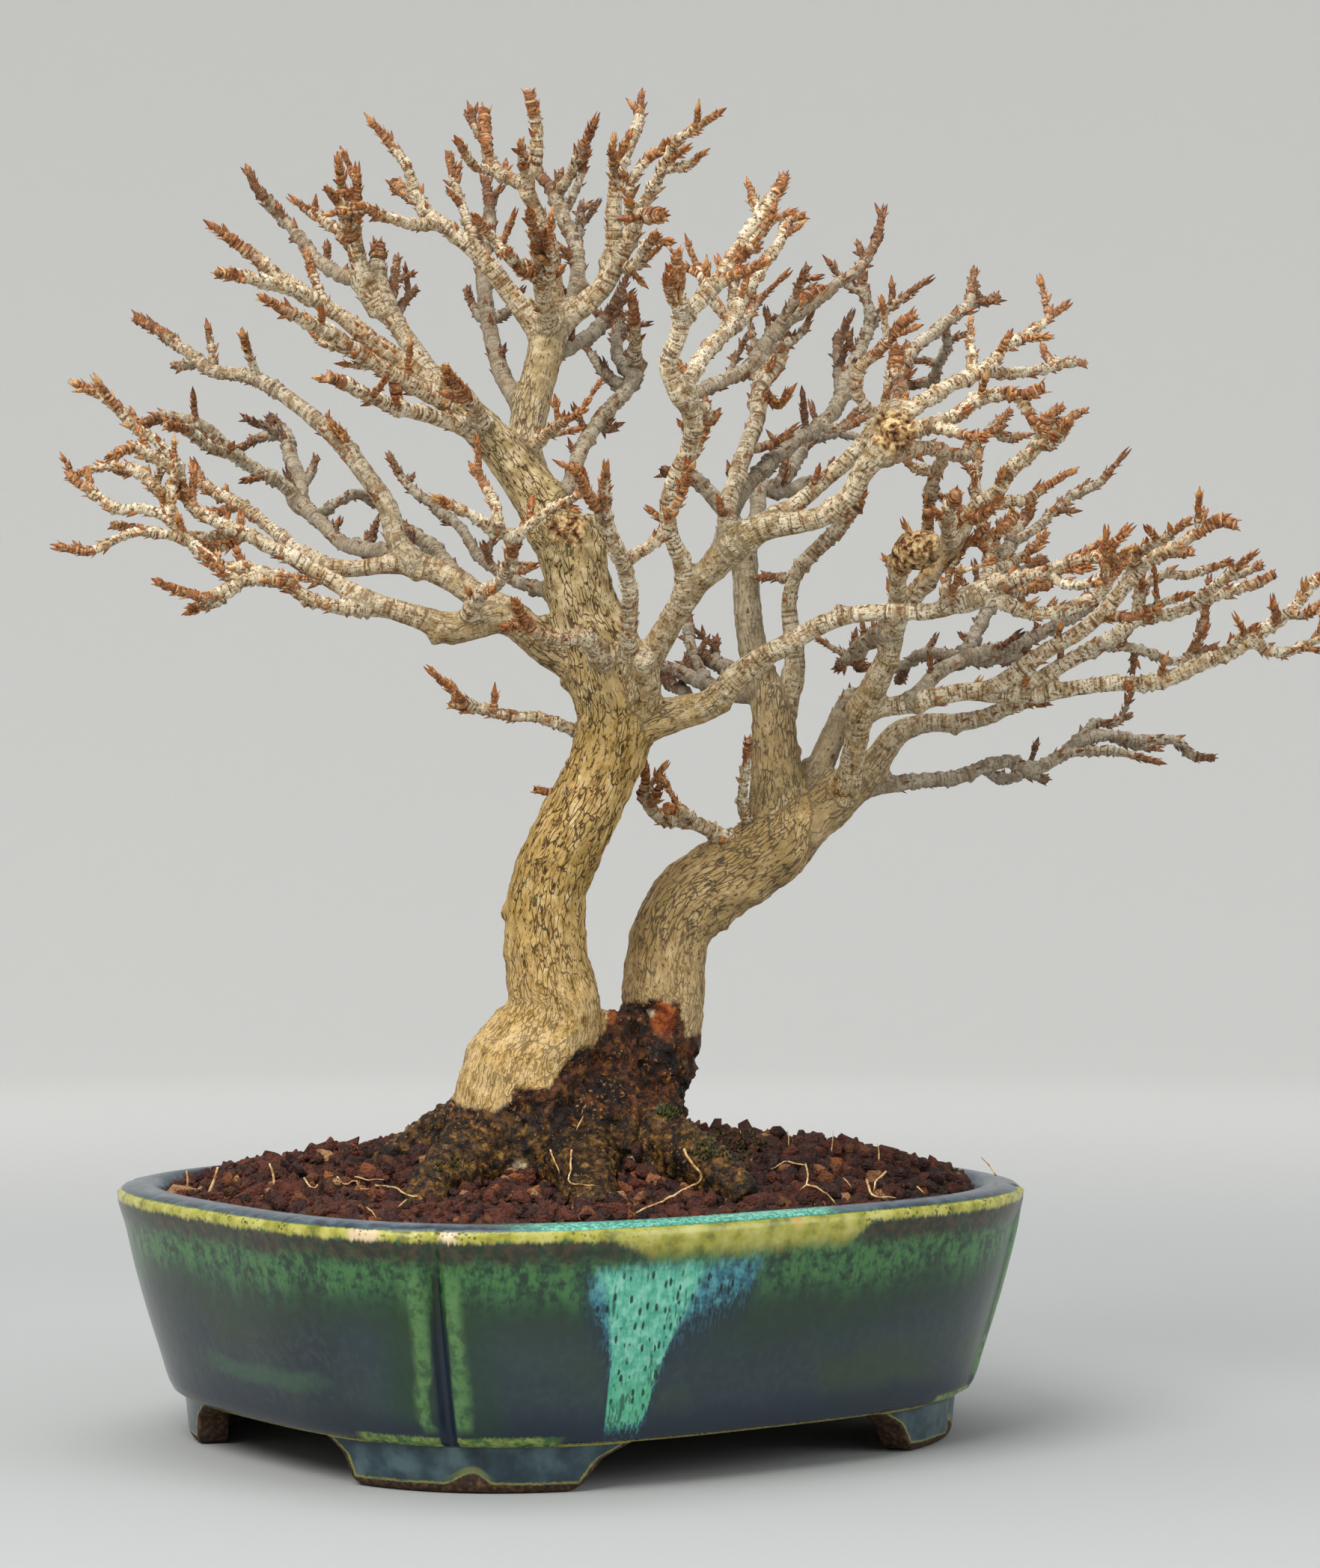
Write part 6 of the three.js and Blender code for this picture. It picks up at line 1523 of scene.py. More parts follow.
def thick_wood(limbs, settings):
    """The trunks, roots and thick limbs as one skin: tubes merged into a surface, then softened at
    their joints and given lumps."""
    thick, strands = [], []
    for limb in limbs:
        along, places, radii = limb.samples(1.5)
        if radii.max() < THICK:
            continue
        last = int(np.flatnonzero(radii >= THICK * 0.9)[-1])
        last = min(max(last, 2), len(along) - 1)
        thick.append(limb)
        strands.append((places[: last + 1], radii[: last + 1]))
    made = tubes("wood", strands + knobs(thick), 16)
    weld(made.data)
    change = made.modifiers.new("merge", "REMESH")
    change.mode = "VOXEL"
    change.voxel_size = settings.skin_step
    made = applied(made)
    bm = bmesh.new()
    bm.from_mesh(made.data)
    for _ in range(3):
        bmesh.ops.smooth_vert(
            bm, verts=bm.verts, factor=0.5, use_axis_x=True, use_axis_y=True, use_axis_z=True
        )
    bmesh.ops.recalc_face_normals(bm, faces=bm.faces)
    bm.to_mesh(made.data)
    bm.free()
    made.data.update()
    wood = Wood(thick)
    points = from_row(places_of(made.data))
    chosen, rise = wood.nearest(points, 1.0)
    normals = vectors_of(made.data.vertices, "normal")
    radius = wood.radii[chosen]
    old = smoothstep(radius, 2.0, 12.0)
    across, up, _ = seen(points)
    wet = smoothstep(np.interp(across, *zip(*WET_LINE)) - up, -2, 5)
    burr = within(BURRS, across, up)
    lumps = np.empty(len(points))
    for i, point in enumerate(points):
        spot = Vector(point)
        broad = noise.noise(spot * 0.07)
        mid = noise.noise(spot * 0.19 + Vector((40, 0, 0)))
        fine = noise.noise(spot * 0.55)
        grit = noise.noise(spot * 1.1)
        lumps[i] = 0.25 * fine + old[i] * (0.7 * broad + 0.6 * mid + 0.12 * fine)
        lumps[i] += burr[i] * (1.3 * mid + 0.8 * fine + 0.35 * grit)
        if wet[i] > 0:
            crag = 1 - 2 * abs(noise.noise(spot * 0.13 + Vector((0, 70, 0))))
            lumps[i] += wet[i] * (0.8 * mid + 0.9 * fine + 0.5 * grit + 0.9 * crag - 0.5)
    push = np.minimum(rise, 2.2) + lumps
    points = points + normals * push[:, None]
    set_places(made.data, in_row(points))
    marked_bark(made.data, points, wood, chosen)
    return made


def split_by_height(made, parts):
    """Cuts one mesh into pieces by whole faces, from the bottom up, each closed by what it sits in."""
    order = np.argsort(vectors_of(made.data.polygons, "center")[:, 2])
    pieces = []
    for number, chunk in enumerate(np.array_split(order, parts)):
        bm = bmesh.new()
        bm.from_mesh(made.data)
        keep = set(chunk.tolist())
        bm.faces.ensure_lookup_table()
        gone = [face for face in bm.faces if face.index not in keep]
        bmesh.ops.delete(bm, geom=gone, context="FACES")
        pieces.append(from_bmesh(f"{made.name}_{number + 1}", bm))
    bpy.data.objects.remove(made)
    return pieces


def bud_scale(lean):
    """One pointed scale on the origin, along +Z, that bellies out and curves away by its lean."""
    bm = bmesh.new()
    bmesh.ops.create_cone(bm, cap_ends=True, segments=5, radius1=0.42, radius2=0.03, depth=1.0)
    sides = [edge for edge in bm.edges if abs(edge.verts[0].co.z - edge.verts[1].co.z) > 0.9]
    bmesh.ops.subdivide_edges(bm, edges=sides, cuts=2)
    for vert in bm.verts:
        high = vert.co.z + 0.5
        belly = 1.0 + 0.9 * high * (1 - high)
        vert.co.x *= belly
        vert.co.y *= belly
        if lean:
            vert.co.x = 0.62 * vert.co.x + lean * (0.3 + 1.5 * high - 1.1 * high * high)
            vert.co.y *= 0.62
        vert.co.z = high
    bmesh.ops.recalc_face_normals(bm, faces=bm.faces)
    bmesh.ops.triangulate(bm, faces=bm.faces)
    return from_bmesh("bud", bm)


def bud_shapes():
    """A closed bud, and a tuft of three curved scales that open like a claw."""
    closed, scale = bud_scale(0.0), bud_scale(0.34)
    claw = bmesh.new()
    for _ in range(3):
        bmesh.ops.rotate(claw, cent=(0, 0, 0), matrix=Matrix.Rotation(math.tau / 3, 3, "Z"), verts=claw.verts)
        claw.from_mesh(scale.data)
    bpy.data.objects.remove(scale)
    return [closed, from_bmesh("bud", claw)]


def facing(way, out, size, place):
    """A matrix that points +Z along a limb's scale and +Y out of its bark, sizes and places it."""
    way = unit(way)
    across = unit(np.cross(way, out))
    matrix = np.eye(4)
    matrix[:3, :3] = np.stack([across, np.cross(across, -way), way], -1) * np.asarray(size, float) * MM
    matrix[:3, 3] = in_row(place)
    return matrix


def bud_places(limbs):
    """Pairs of buds at the rings of young wood and a bud or an open claw of scales at each tip."""
    draw = draw_from(19)
    kinds, matrices, tints = [], [], []

    def add(kind, way, spin, wide, tall, place, shade):
        kinds.append(kind)
        matrices.append(turned(way, spin, np.array([wide, wide, tall]) * MM, in_row(place)))
        # Half of a bud's tint is painted shade on limbs that lean away from the eye; the rest is chance
        tints.append(min(0.999, 0.5 * shade + 0.5 * draw()))

    for limb in limbs:
        if limb.name in ROOT_NAMES or limb.radii[-1] > 2.2:
            continue
        shade = far_shade(limb.lean)
        if limb.end == "bud":
            tip = limb.line.at(limb.length)[0]
            way = limb.line.frames(np.array([limb.length * 0.97, limb.length]))[0][1]
            radius = max(float(limb.radius(limb.length)), 0.42)
            place = tip - way * 0.5
            if draw() < 0.4:
                add(1, way, draw() * math.tau, 2.1 + 0.8 * draw(), 2.8 + 1.6 * draw(), place, shade)
            else:
                add(0, way, draw() * math.tau, radius * 2.0 + 0.8, 2.5 + 1.5 * draw(), place, shade)
        stops = np.arange(3 + 4 * draw(), limb.length - 1.5, BUD_PITCH)
        if not len(stops):
            continue
        tangents, normals, binormals = limb.line.frames(stops)
        turn = draw() * math.pi
        for i, at in enumerate(stops):
            radius = float(limb.radius(at))
            turn += math.pi / 2
            if radius > 1.9 or draw() < 0.3:
                continue
            for half_turn in (0, math.pi):
                if draw() < 0.3:
                    continue
                side = turn + half_turn + 0.3 * (draw() - 0.5)
                out = normals[i] * math.cos(side) + binormals[i] * math.sin(side)
                place = limb.line.at(at)[0] + out * max(radius, 0.42) * 0.8
                tall = 1.7 + 1.7 * draw()
                add(0, unit(out * 0.8 + tangents[i]), draw() * math.tau, 0.62 * tall, tall, place, shade)
    return kinds, matrices, np.array(tints)


def scale_shape():
    """A small pointed husk on the origin, along +Z."""
    bm = bmesh.new()
    bmesh.ops.create_cone(bm, cap_ends=True, cap_tris=True, segments=4, radius1=0.5, radius2=0.0, depth=1.0)
    bmesh.ops.rotate(bm, cent=(0, 0, 0), matrix=Matrix.Rotation(math.pi / 4, 3, "Z"), verts=bm.verts)
    bmesh.ops.translate(bm, vec=(0, 0, 0.5), verts=bm.verts)
    bmesh.ops.recalc_face_normals(bm, faces=bm.faces)
    bmesh.ops.triangulate(bm, faces=bm.faces)
    return from_bmesh("scale", bm)


def scale_places(limbs):
    """Husks that lie along young wood: in close rings at the tips, in loose clusters lower down."""
    draw = draw_from(61)
    matrices, tints = [], []
    for limb in limbs:
        if limb.name in ROOT_NAMES or limb.radii[-1] > 2.4:
            continue
        shade = far_shade(limb.lean)
        rest, stops = 0.5, []
        while rest < min(limb.length - 1, 28):
            stops.append((limb.length - rest, float(np.interp(rest, (0, 8, 28), (0.85, 0.5, 0.16)))))
            rest += 1.0 + 0.7 * draw() + 0.05 * rest
        while rest < limb.length - 3:
            stops += [(limb.length - rest, 0.6), (limb.length - rest + 0.8, 0.45)]
            rest += 7 + 9 * draw()
        along = np.arange(2, limb.length, 1.4)
        crowd = within(TUFTS, *seen(limb.line.at(along))[:2])
        stops += [(at, 0.85 * close) for at, close in zip(along, crowd) if close > 0.3]
        if len(stops) < 2:
            continue
        stops.sort()
        tangents, normals, binormals = limb.line.frames(np.array([at for at, _ in stops]))
        for i, (at, chance) in enumerate(stops):
            radius = max(float(limb.radius(at)), 0.45)
            for quarter in range(4):
                if draw() > chance:
                    continue
                side = (i % 2) * math.pi / 4 + quarter * math.pi / 2 + 0.6 * (draw() - 0.5)
                out = normals[i] * math.cos(side) + binormals[i] * math.sin(side)
                tall = (1.1 + 1.3 * draw()) * min(1.15, 0.7 + 0.3 * radius)
                way = out * (0.25 + 0.5 * draw()) + tangents[i]
                place = limb.line.at(at)[0] + out * radius * 0.82
                matrices.append(facing(way, out, (0.75 * tall, 0.4 * tall, tall), place))
                # Nearly half of a husk's tint is painted shade on limbs that lean away from the eye; the rest
                # is chance
                tints.append(min(0.999, 0.45 * shade + 0.55 * draw()))
    return [0] * len(matrices), matrices, np.array(tints)


def fine_tubes(name, members, draw, sides):
    """Thin limbs as knobby tubes with rough bark, in one mesh."""
    strands = [strand_of(limb, draw, start) for limb, start in members]
    made = tubes(name, [(places, radii) for places, radii, _ in strands], sides)
    weld(made.data, 2e-6)
    wood = Wood([limb for limb, _ in members], 1.3)
    points = from_row(places_of(made.data))
    finder = KDTree(len(wood.places))
    for i, place in enumerate(wood.places):
        finder.insert(place, i)
    finder.balance()
    chosen = np.array([finder.find(point)[1] for point in points])
    rough = [noise.noise(Vector(point) * 0.6) + 0.7 * noise.noise(Vector(point) * 1.3) for point in points]
    push = np.array(rough) * np.minimum(0.45, 0.26 * wood.radii[chosen])
    points = points + vectors_of(made.data.vertices, "normal") * push[:, None]
    set_places(made.data, in_row(points))
    marked_bark(made.data, points, wood, chosen)
    return made


def tree_pieces(settings):
    limbs = trace_limbs(LIMBS)
    spurs = trace_limbs(LIMBS + SPURS)[len(limbs) :]
    shoots = side_shoots(limbs)
    young = young_shoots(limbs + spurs)
    finish = bark_finish(settings)
    wood = thick_wood(limbs, settings)
    wood.name = "tree_wood"
    surface = both(wood, bpy.data.objects["soil_grains"])
    for piece in split_by_height(wood, 2):
        seated(piece, finish, "bark", "tree")

    draw = draw_from(5)
    groups = {"tree_limbs_front": [], "tree_limbs_rear": [], "tree_shoots": []}
    for limb in limbs:
        if limb.name in ROOT_NAMES:
            continue
        along, _, radii = limb.samples(1.0)
        thin = np.flatnonzero(radii < THICK * 1.05)
        if len(thin) and limb.length - along[thin[0]] > 0.5:
            start = max(0.0, along[thin[0]] - 2.5) if thin[0] else 0.0
            groups["tree_limbs_front" if limb.lean > 0 else "tree_limbs_rear"].append((limb, start))
    for limb in spurs + shoots + young:
        groups["tree_shoots"].append((limb, 0.0))
    for name, members in groups.items():
        made = fine_tubes(name, members, draw, 8 if "limbs" in name else 6)
        seated(made, finish, "bark", "tree")

    husk_finish = bud_finish(settings)
    fine = limbs + spurs + shoots + young
    for name, shapes, (kinds, matrices, tints) in (
        ("tree_buds", bud_shapes(), bud_places(fine)),
        ("tree_husks", [scale_shape()], scale_places(fine)),
    ):
        made = scattered(name, shapes, kinds, matrices, tint=tints)
        for shape in shapes:
            bpy.data.objects.remove(shape)
        seated(made, husk_finish, "bark", "tree")
    litter(surface)


def both(first, second):
    """One search tree over two meshes of the row frame."""
    places, faces = [], []
    for made in (first, second):
        faces += [tuple(index + len(places) for index in face.vertices) for face in made.data.polygons]
        places += [vert.co.copy() for vert in made.data.vertices]
    return BVHTree.FromPolygons(places, faces)


def litter(surface):
    """Fine pale roots that lie on the soil, bits of straw and hairs that stand on it, and tufts of moss."""
    strands = []
    for spots, radius in ROOTLETS:
        line = Line([(across, up, 0.0) for across, up in spots])
        path = line.at(np.linspace(0, line.length, max(5, int(line.length / 1.1))))
        path[:, :2] += np.array([noise.noise_vector(Vector(place) * 0.4) for place in path])[:, :2] * 0.5
        toward = seen(np.array([met(surface, across, up) for across, up in path[:, :2]]))[2]
        wide = np.r_[toward[:1], toward, toward[-1:]]
        nearest = np.maximum(np.maximum(wide[:-2], wide[1:-1]), wide[2:])
        places = sighted(path[:, 0], path[:, 1], nearest + 0.3)
        strands.append((places, 0.75 * radius * np.linspace(1.1, 0.6, len(places))))
    for foot, tip, radius in HAIRS:
        start = met(surface, *foot)
        toward = float(seen(start[None])[2][0])
        end = sighted(*tip, toward)
        middle = (start + end) / 2 + np.array([0.5, 0.3, 0.2])
        line = Line([start, middle, end])
        strands.append((line.at(np.linspace(0, line.length, 6)), radius * np.linspace(1.0, 0.6, 6)))
    made = tubes("fine_roots", strands, 6)
    weld(made.data, 2e-6)
    f = Finish("fine_root", rough=0.7, specular=0.3)
    colour = f.ramp(f.noise(500, 3), (0.35, "8a5f34"), (0.5, "cda56c"), (0.65, "e6cf9f"))
    f.relief(f.noise(2200, 2), 0.0002, 0.5)
    seated(made, f.done(colour), "bark", "tree")

    draw = draw_from(91)
    matrices, tints = [], []
    for middle, height, wide, count in MOSS_TUFTS:
        for _ in range(count):
            turn, off = draw() * math.tau, draw() ** 0.6
            spot = met(
                surface, middle + wide * off * math.cos(turn), height + 0.45 * wide * off * math.sin(turn)
            )
            way = np.array([draw() - 0.5, draw() - 0.5, 0.6 + draw()])
            out = np.array([math.cos(turn), math.sin(turn), 0.0])
            tall = 0.8 + 1.0 * draw()
            matrices.append(facing(way, out, (0.55 * tall, 0.4 * tall, tall), spot))
            tints.append(draw())
    shape = scale_shape()
    made = scattered("moss_tufts", [shape], [0] * len(matrices), matrices, tint=np.array(tints))
    bpy.data.objects.remove(shape)
    f = Finish("moss", rough=0.9, specular=0.2)
    colour = f.ramp(f.value("tint"), (0.0, "1d2510"), (0.4, "363f1a"), (0.75, "535a27"), (1.0, "4a3c20"))
    colour = f.over(colour, "1c2010", f.step(f.value("high"), 0.3, 0.0, 0.0, 0.7))
    f.relief(f.noise(3000, 2), 0.0002, 0.5)
    seated(made, f.done(colour), "bark", "tree")


def bark_finish(settings):
    """Pale bark with fine broken cracks along the old wood; specks, ring scars and brown tips on the young
    wood; a wet dark foot with orange flecks, and patches of moss."""
    f = Finish("tree_bark", rough=0.8, specular=0.25)
    grain = f.vector("grain")
    age, wet, moss, burr = f.value("age"), f.value("wet"), f.value("moss"), f.value("burr")
    tint, shade, tip = f.value("tint"), f.value("shade"), f.value("tip")
    high = f.parts(f.place)[2] * (1 / MM)
    long = f.scaled(grain, 1, 1, 0.2)
    cloud = f.noise(60, 3)
    mid = f.noise(240, 4)
    fine = f.noise(2600, 3, f.scaled(grain, 1, 1, 0.35))
    flaky = f.noise(480, 4, f.scaled(grain, 1, 1, 0.5))
    rings = f.noise(1300, 2, f.scaled(grain, 0.12, 0.12, 1))

    # Old wood
    old = f.ramp(flaky, (0.34, "92703a"), (0.46, settings.bark), (0.57, "cdab6e"), (0.7, "e6cea0"))
    yellow = f.step(cloud, 0.4, 0.66) * f.step(high, 105, 150, 0.1, 0.6)
    old = f.over(old, "98792f", yellow)
    old = f.over(old, "dcbf8a", f.step(mid, 0.38, 0.62), f.step(high, 150, 105, 0.15, 0.8))
    grey = f.ramp(mid, (0.36, "857d60"), (0.5, "a89b78"), (0.62, "d2c6a6"))
    old = f.over(old, grey, f.step(high, 185, 230, 0.0, 0.55))
    broken = f.step(f.noise(280, 2, long), 0.39, 0.53)
    plates = f.cells(760, f.shifted(f.scaled(grain, 1, 1, 0.24), 0.0014, 480), feature="DISTANCE_TO_EDGE")
    crack = f.step(plates, 0.095, 0.02) * broken * 0.95
    dashes = f.step(f.noise(1400, 2, f.shifted(f.scaled(grain, 1, 1, 0.34), 0.0005, 700)), 0.39, 0.34)
    scars = f.step(f.noise(800, 2, f.shifted(f.scaled(grain, 1, 1, 0.34), 0.0008, 500)), 0.36, 0.31)
    heel = f.step(high, 150, 105) * f.step(f.noise(1500, 2, f.scaled(grain, 1, 1, 0.6)), 0.42, 0.35)
    crack = f.math("MAXIMUM", crack, f.math("MAXIMUM", scars, heel * 0.8))
    crack = f.math("MAXIMUM", crack, dashes * 0.9) * f.step(high, 105, 150, 0.65, 1.0)
    old = f.over(old, f.mix(f.step(mid, 0.4, 0.6), settings.crack, "553617"), crack, 0.97)

    # Young wood
    young = f.ramp(mid, (0.3, "8f7250"), (0.45, "c1aa84"), (0.58, "e8dcc0"), (0.74, "b59a70"))
    young = f.over(young, "a98660", f.step(tint, 0.5, 1.0), 0.4)
    young = f.over(young, "573a22", f.step(rings, 0.42, 0.36, 0.0, 0.8))
    flecks = f.step(f.noise(1400, 3, f.scaled(grain, 1, 1, 0.7)), 0.44, 0.39)
    young = f.over(young, "4a2f1a", flecks, 0.85)
    young = f.over(young, "f0e6ce", f.step(rings, 0.56, 0.66, 0.0, 0.55))
    split = f.step(f.noise(1500, 2, f.scaled(grain, 1, 1, 0.2)), 0.41, 0.35)
    young = f.over(young, "4a3220", split, f.step(age, 0.0, 0.3, 0.35, 0.9))
    blot = f.step(f.noise(420, 3), 0.54, 0.64) * f.step(rings, 0.62, 0.45)
    young = f.over(young, "724626", blot, 0.7)
    marks = f.step(f.cells(950, f.scaled(grain, 1, 1, 1.5)), 0.3, 0.2) * f.step(f.noise(650, 2), 0.5, 0.58)
    young = f.over(young, "3e2414", marks, 0.9)
    browned = tip + (f.noise(300, 3) - 0.5) * 1.3 + (tint - 0.5) * 0.45
    browned = f.step(browned, 0.42, 0.78)
    russet = f.ramp(rings, (0.34, "3c1e10"), (0.46, "7a431f"), (0.56, "a4693a"), (0.67, "d3ab78"))
    young = f.over(young, russet, browned, 0.88)
    # Painted shade: young wood that leans away from the eye turns grey, and its brown tips dark
    painted_far_shade = f.mix(browned, "7b7468", "4a3a32")
    young = f.over(young, painted_far_shade, shade, 0.65)

    colour = f.mix(age, young, old)
    # Painted shade: old wood that leans away from the eye turns grey
    colour = f.over(colour, "857d6c", shade, age, 0.7)
    rust = f.ramp(f.noise(480, 4), (0.38, "2e180c"), (0.46, "7a5230"), (0.55, "bd9c6a"), (0.66, "d8c294"))
    colour = f.over(colour, rust, f.step(burr + (mid - 0.5) * 1.2, 0.4, 0.65))
    green = f.mix(f.noise(700, 3), "434d22", "79834a")
    speckle = moss + (f.noise(900, 4) - 0.5) * 1.9
    colour = f.over(colour, green, f.step(speckle, 0.42, 0.72, 0.0, 0.85))

    # Wet foot
    olive = f.ramp(f.noise(420, 5), (0.36, "0f0a06"), (0.47, "33210f"), (0.58, "5f431d"), (0.7, "8f6c32"))
    russet = f.ramp(f.noise(420, 5), (0.36, "0f0906"), (0.48, "351c10"), (0.62, "62371a"))
    soaked = f.mix(f.step(high + (cloud - 0.5) * 30, 84, 95), olive, russet)
    soaked = f.over(soaked, "7d5320", f.step(f.noise(260, 4), 0.56, 0.66), f.step(cloud, 0.4, 0.55), 0.7)
    soaked = f.over(soaked, "0b0805", f.step(f.noise(110, 3), 0.5, 0.38, 0.0, 0.85))
    flecks = f.step(f.noise(820, 4), 0.58, 0.65) * f.step(f.noise(130, 2), 0.42, 0.56)
    soaked = f.over(soaked, f.mix(f.noise(500, 2), "8f5522", "c08d4a"), flecks, 0.85)
    soaked = f.over(soaked, f.ramp(mid, (0.35, "6e2c14"), (0.6, "b5622e")), f.value("red"), 0.9)
    soaked = f.over(soaked, green, f.step(moss + (f.noise(620, 4) - 0.5) * 1.6, 0.45, 0.75, 0.0, 0.7))
    colour = f.over(colour, soaked, wet)
    colour = f.over(colour, f.mix(mid, "b09468", "f0e2c4"), f.value("pale"), 0.9)
    f.relief(crack * (age * -1.0) + fine * 0.35 + rings * (0.6 - age * 0.5), 0.0008, 0.7)
    f.relief(f.noise(560, 5), 0.0012, f.step(wet, 0, 1, 0.35, 0.8))
    return f.done(colour, f.step(wet, 0, 1, 0.82, 0.45))


def bud_finish(settings):
    f = Finish("tree_buds", rough=0.6, specular=0.3)
    tint, high = f.value("tint"), f.value("high")
    # Higher tints are darker and greyer, which paints shade on the buds and husks of far limbs, mixed with
    # chance
    colour = f.ramp(
        tint, (0.0, "d2a468"), (0.22, "b8743a"), (0.45, settings.bud), (0.7, "7a4a28"), (0.95, "5a4438")
    )
    colour = f.over(colour, "c9a57a", f.step(high, 0.45, 0.05, 0.0, 0.55))
    colour = f.over(colour, "2e1a10", f.step(high + tint * 0.3, 0.7, 1.05, 0.0, 0.85))
    colour = f.over(colour, "3a2012", f.step(f.noise(2400, 3), 0.5, 0.36, 0.0, 0.6))
    f.relief(f.noise(2600, 3), 0.0003, 0.6)
    return f.done(colour)


# Screens, clips and stage

FLOOR_STEPS = 96


def small_parts(settings):
    """The screens and clips stay as they are, with a finish of their own."""
    net = Finish("net", rough=0.7, specular=0.4)
    shade = net.mix(net.step(net.noise(500, 3), 0.4, 0.7), settings.net, "2c332f")
    net.relief(net.noise(1500, 2), 0.0002, 0.4)
    net_finish = net.done(shade)
    wire = Finish("wire", rough=0.42, specular=0.5)
    wire.shader.inputs["Metallic"].default_value = 1.0
    tone = wire.mix(wire.step(wire.noise(400, 3), 0.35, 0.7), settings.wire, "7c5136")
    wire.relief(wire.noise(2500, 2, wire.scaled(wire.place, 1, 1, 0.3)), 0.0001, 0.4)
    wire_finish = wire.done(tone)
    for side in ("left", "right"):
        dress(f"drain_screen_{side}", net_finish)
        dress(f"screen_clip_{side}", wire_finish)


def backdrop(settings):
    """A wide floor that curves up into a wall all round."""
    radius, rise, bend = 2.6, 2.6, 1.2
    points = [(0.0, 0.0), (radius - bend, 0.0)]
    points += [
        (radius - bend + bend * math.sin(turn), bend - bend * math.cos(turn))
        for turn in np.linspace(0, math.pi / 2, 13)[1:]
    ]
    points.append((radius, rise))
    made = spun("floor", points, FLOOR_STEPS)
    weld(made.data, 1e-5)
    f = Finish("floor", rough=0.95, specular=0.0)
    f.shader.inputs["Specular IOR Level"].default_value = 0.0
    x, y = f.parts(f.place)[:2]
    # Painted light: the floor lightens from the floor colour near the pot to the wall colour beyond 1.3 m,
    # making up for lamplight that falls off with distance
    far = f.step(f.math("SQRT", x * x + y * y), 0.4, 1.3)
    grain = f.step(f.noise(700, 2), 0.3, 0.7, 0.0, 0.03)
    made.data.materials.append(f.done(f.mix(grain, f.mix(far, settings.floor, settings.wall), "8f8f8d")))
    made.data.shade_smooth()


def lamp(name, place, aim, size, power, tint=(1.0, 1.0, 1.0)):
    light = bpy.data.lights.new(name, "AREA")
    light.shape = "DISK"
    light.size = size
    light.energy = power
    light.color = tint
    made = linked(name, light)
    made.location = place
    made.rotation_euler = (Vector(aim) - Vector(place)).to_track_quat("-Z", "Y").to_euler()


def from_eye(right, back, up):
    """A place in the row frame, in metres, by how far right of the pot's middle, behind it and up it is."""
    x = right * COS + back * SIN
    y = -right * SIN + back * COS
    return tuple(POT_MIDDLE[:2] + (x, y)) + (up,)


def stage_pieces(settings):
    backdrop(settings)
    power = settings.light
    lamp("key_light", from_eye(-0.75, -1.15, 1.55), from_eye(0, 0, 0.15), 1.3, power, (1.0, 0.98, 0.95))
    lamp("top_light", from_eye(-0.1, 0.1, 1.9), from_eye(0, 0, 0.1), 1.6, power * 0.55)
    lamp("right_light", from_eye(1.5, -0.8, 0.9), from_eye(0, 0, 0.2), 1.1, power * 0.3, (0.94, 0.97, 1.0))
    lamp("wall_light", from_eye(0, 0.5, 2.3), from_eye(0, 2.2, 0.4), 1.6, power * 0.14)
    world = bpy.data.worlds.new("air")
    world.use_nodes = True
    world.node_tree.nodes["Background"].inputs["Color"].default_value = settings.air
    world.node_tree.nodes["Background"].inputs["Strength"].default_value = settings.air_strength
    bpy.context.scene.world = world

    data = bpy.data.cameras.new("camera")
    data.sensor_fit = "VERTICAL"
    data.sensor_height = 36
    data.lens = EYE_LENS
    data.clip_start = 0.01
    camera = linked("camera", data)
    camera.location = from_eye(EYE_ACROSS * MM, -EYE_DISTANCE * MM, EYE_HEIGHT * MM)
    ahead = Vector((SIN * math.cos(EYE_DIP), COS * math.cos(EYE_DIP), -math.sin(EYE_DIP)))
    camera.rotation_euler = ahead.to_track_quat("-Z", "Y").to_euler()
    bpy.context.scene.camera = camera
    bpy.context.scene.view_settings.view_transform = "Standard"


# Settings, operators and panel


def colour(name, description, code):
    return bpy.props.FloatVectorProperty(
        name=name, description=description, subtype="COLOR", size=4, min=0.0, max=1.0, default=paint(code)
    )


class BonsaiPot(bpy.types.PropertyGroup):
    green: colour("Green", "Streaks that hang below the rim", "33603c")
    deep_green: colour("Deep green", "Glaze between the streaks and the body", "23391f")
    slate: colour("Slate", "Usual colour of the walls", "232f37")
    lime: colour("Lime", "Band along the rim's outer edge", "a8a444")


class BonsaiSoil(bpy.types.PropertyGroup):
    grain_size: bpy.props.FloatProperty(
        name="Grain size",
        description="Usual width of a soil grain",
        default=0.0043,
        min=0.002,
        unit="LENGTH",
    )
    grit: colour("Grit", "Usual colour of a soil grain", "52291d")


class BonsaiTree(bpy.types.PropertyGroup):
    skin_step: bpy.props.FloatProperty(
        name="Skin step",
        description="Width of a face on the old wood",
        default=0.00095,
        min=0.0005,
        unit="LENGTH",
    )
    bark: colour("Bark", "Usual colour of old bark", "c29f60")
    crack: colour("Cracks", "Colour of the cracks in old bark", "33210f")
    bud: colour("Buds", "Usual colour of a bud", "98552a")


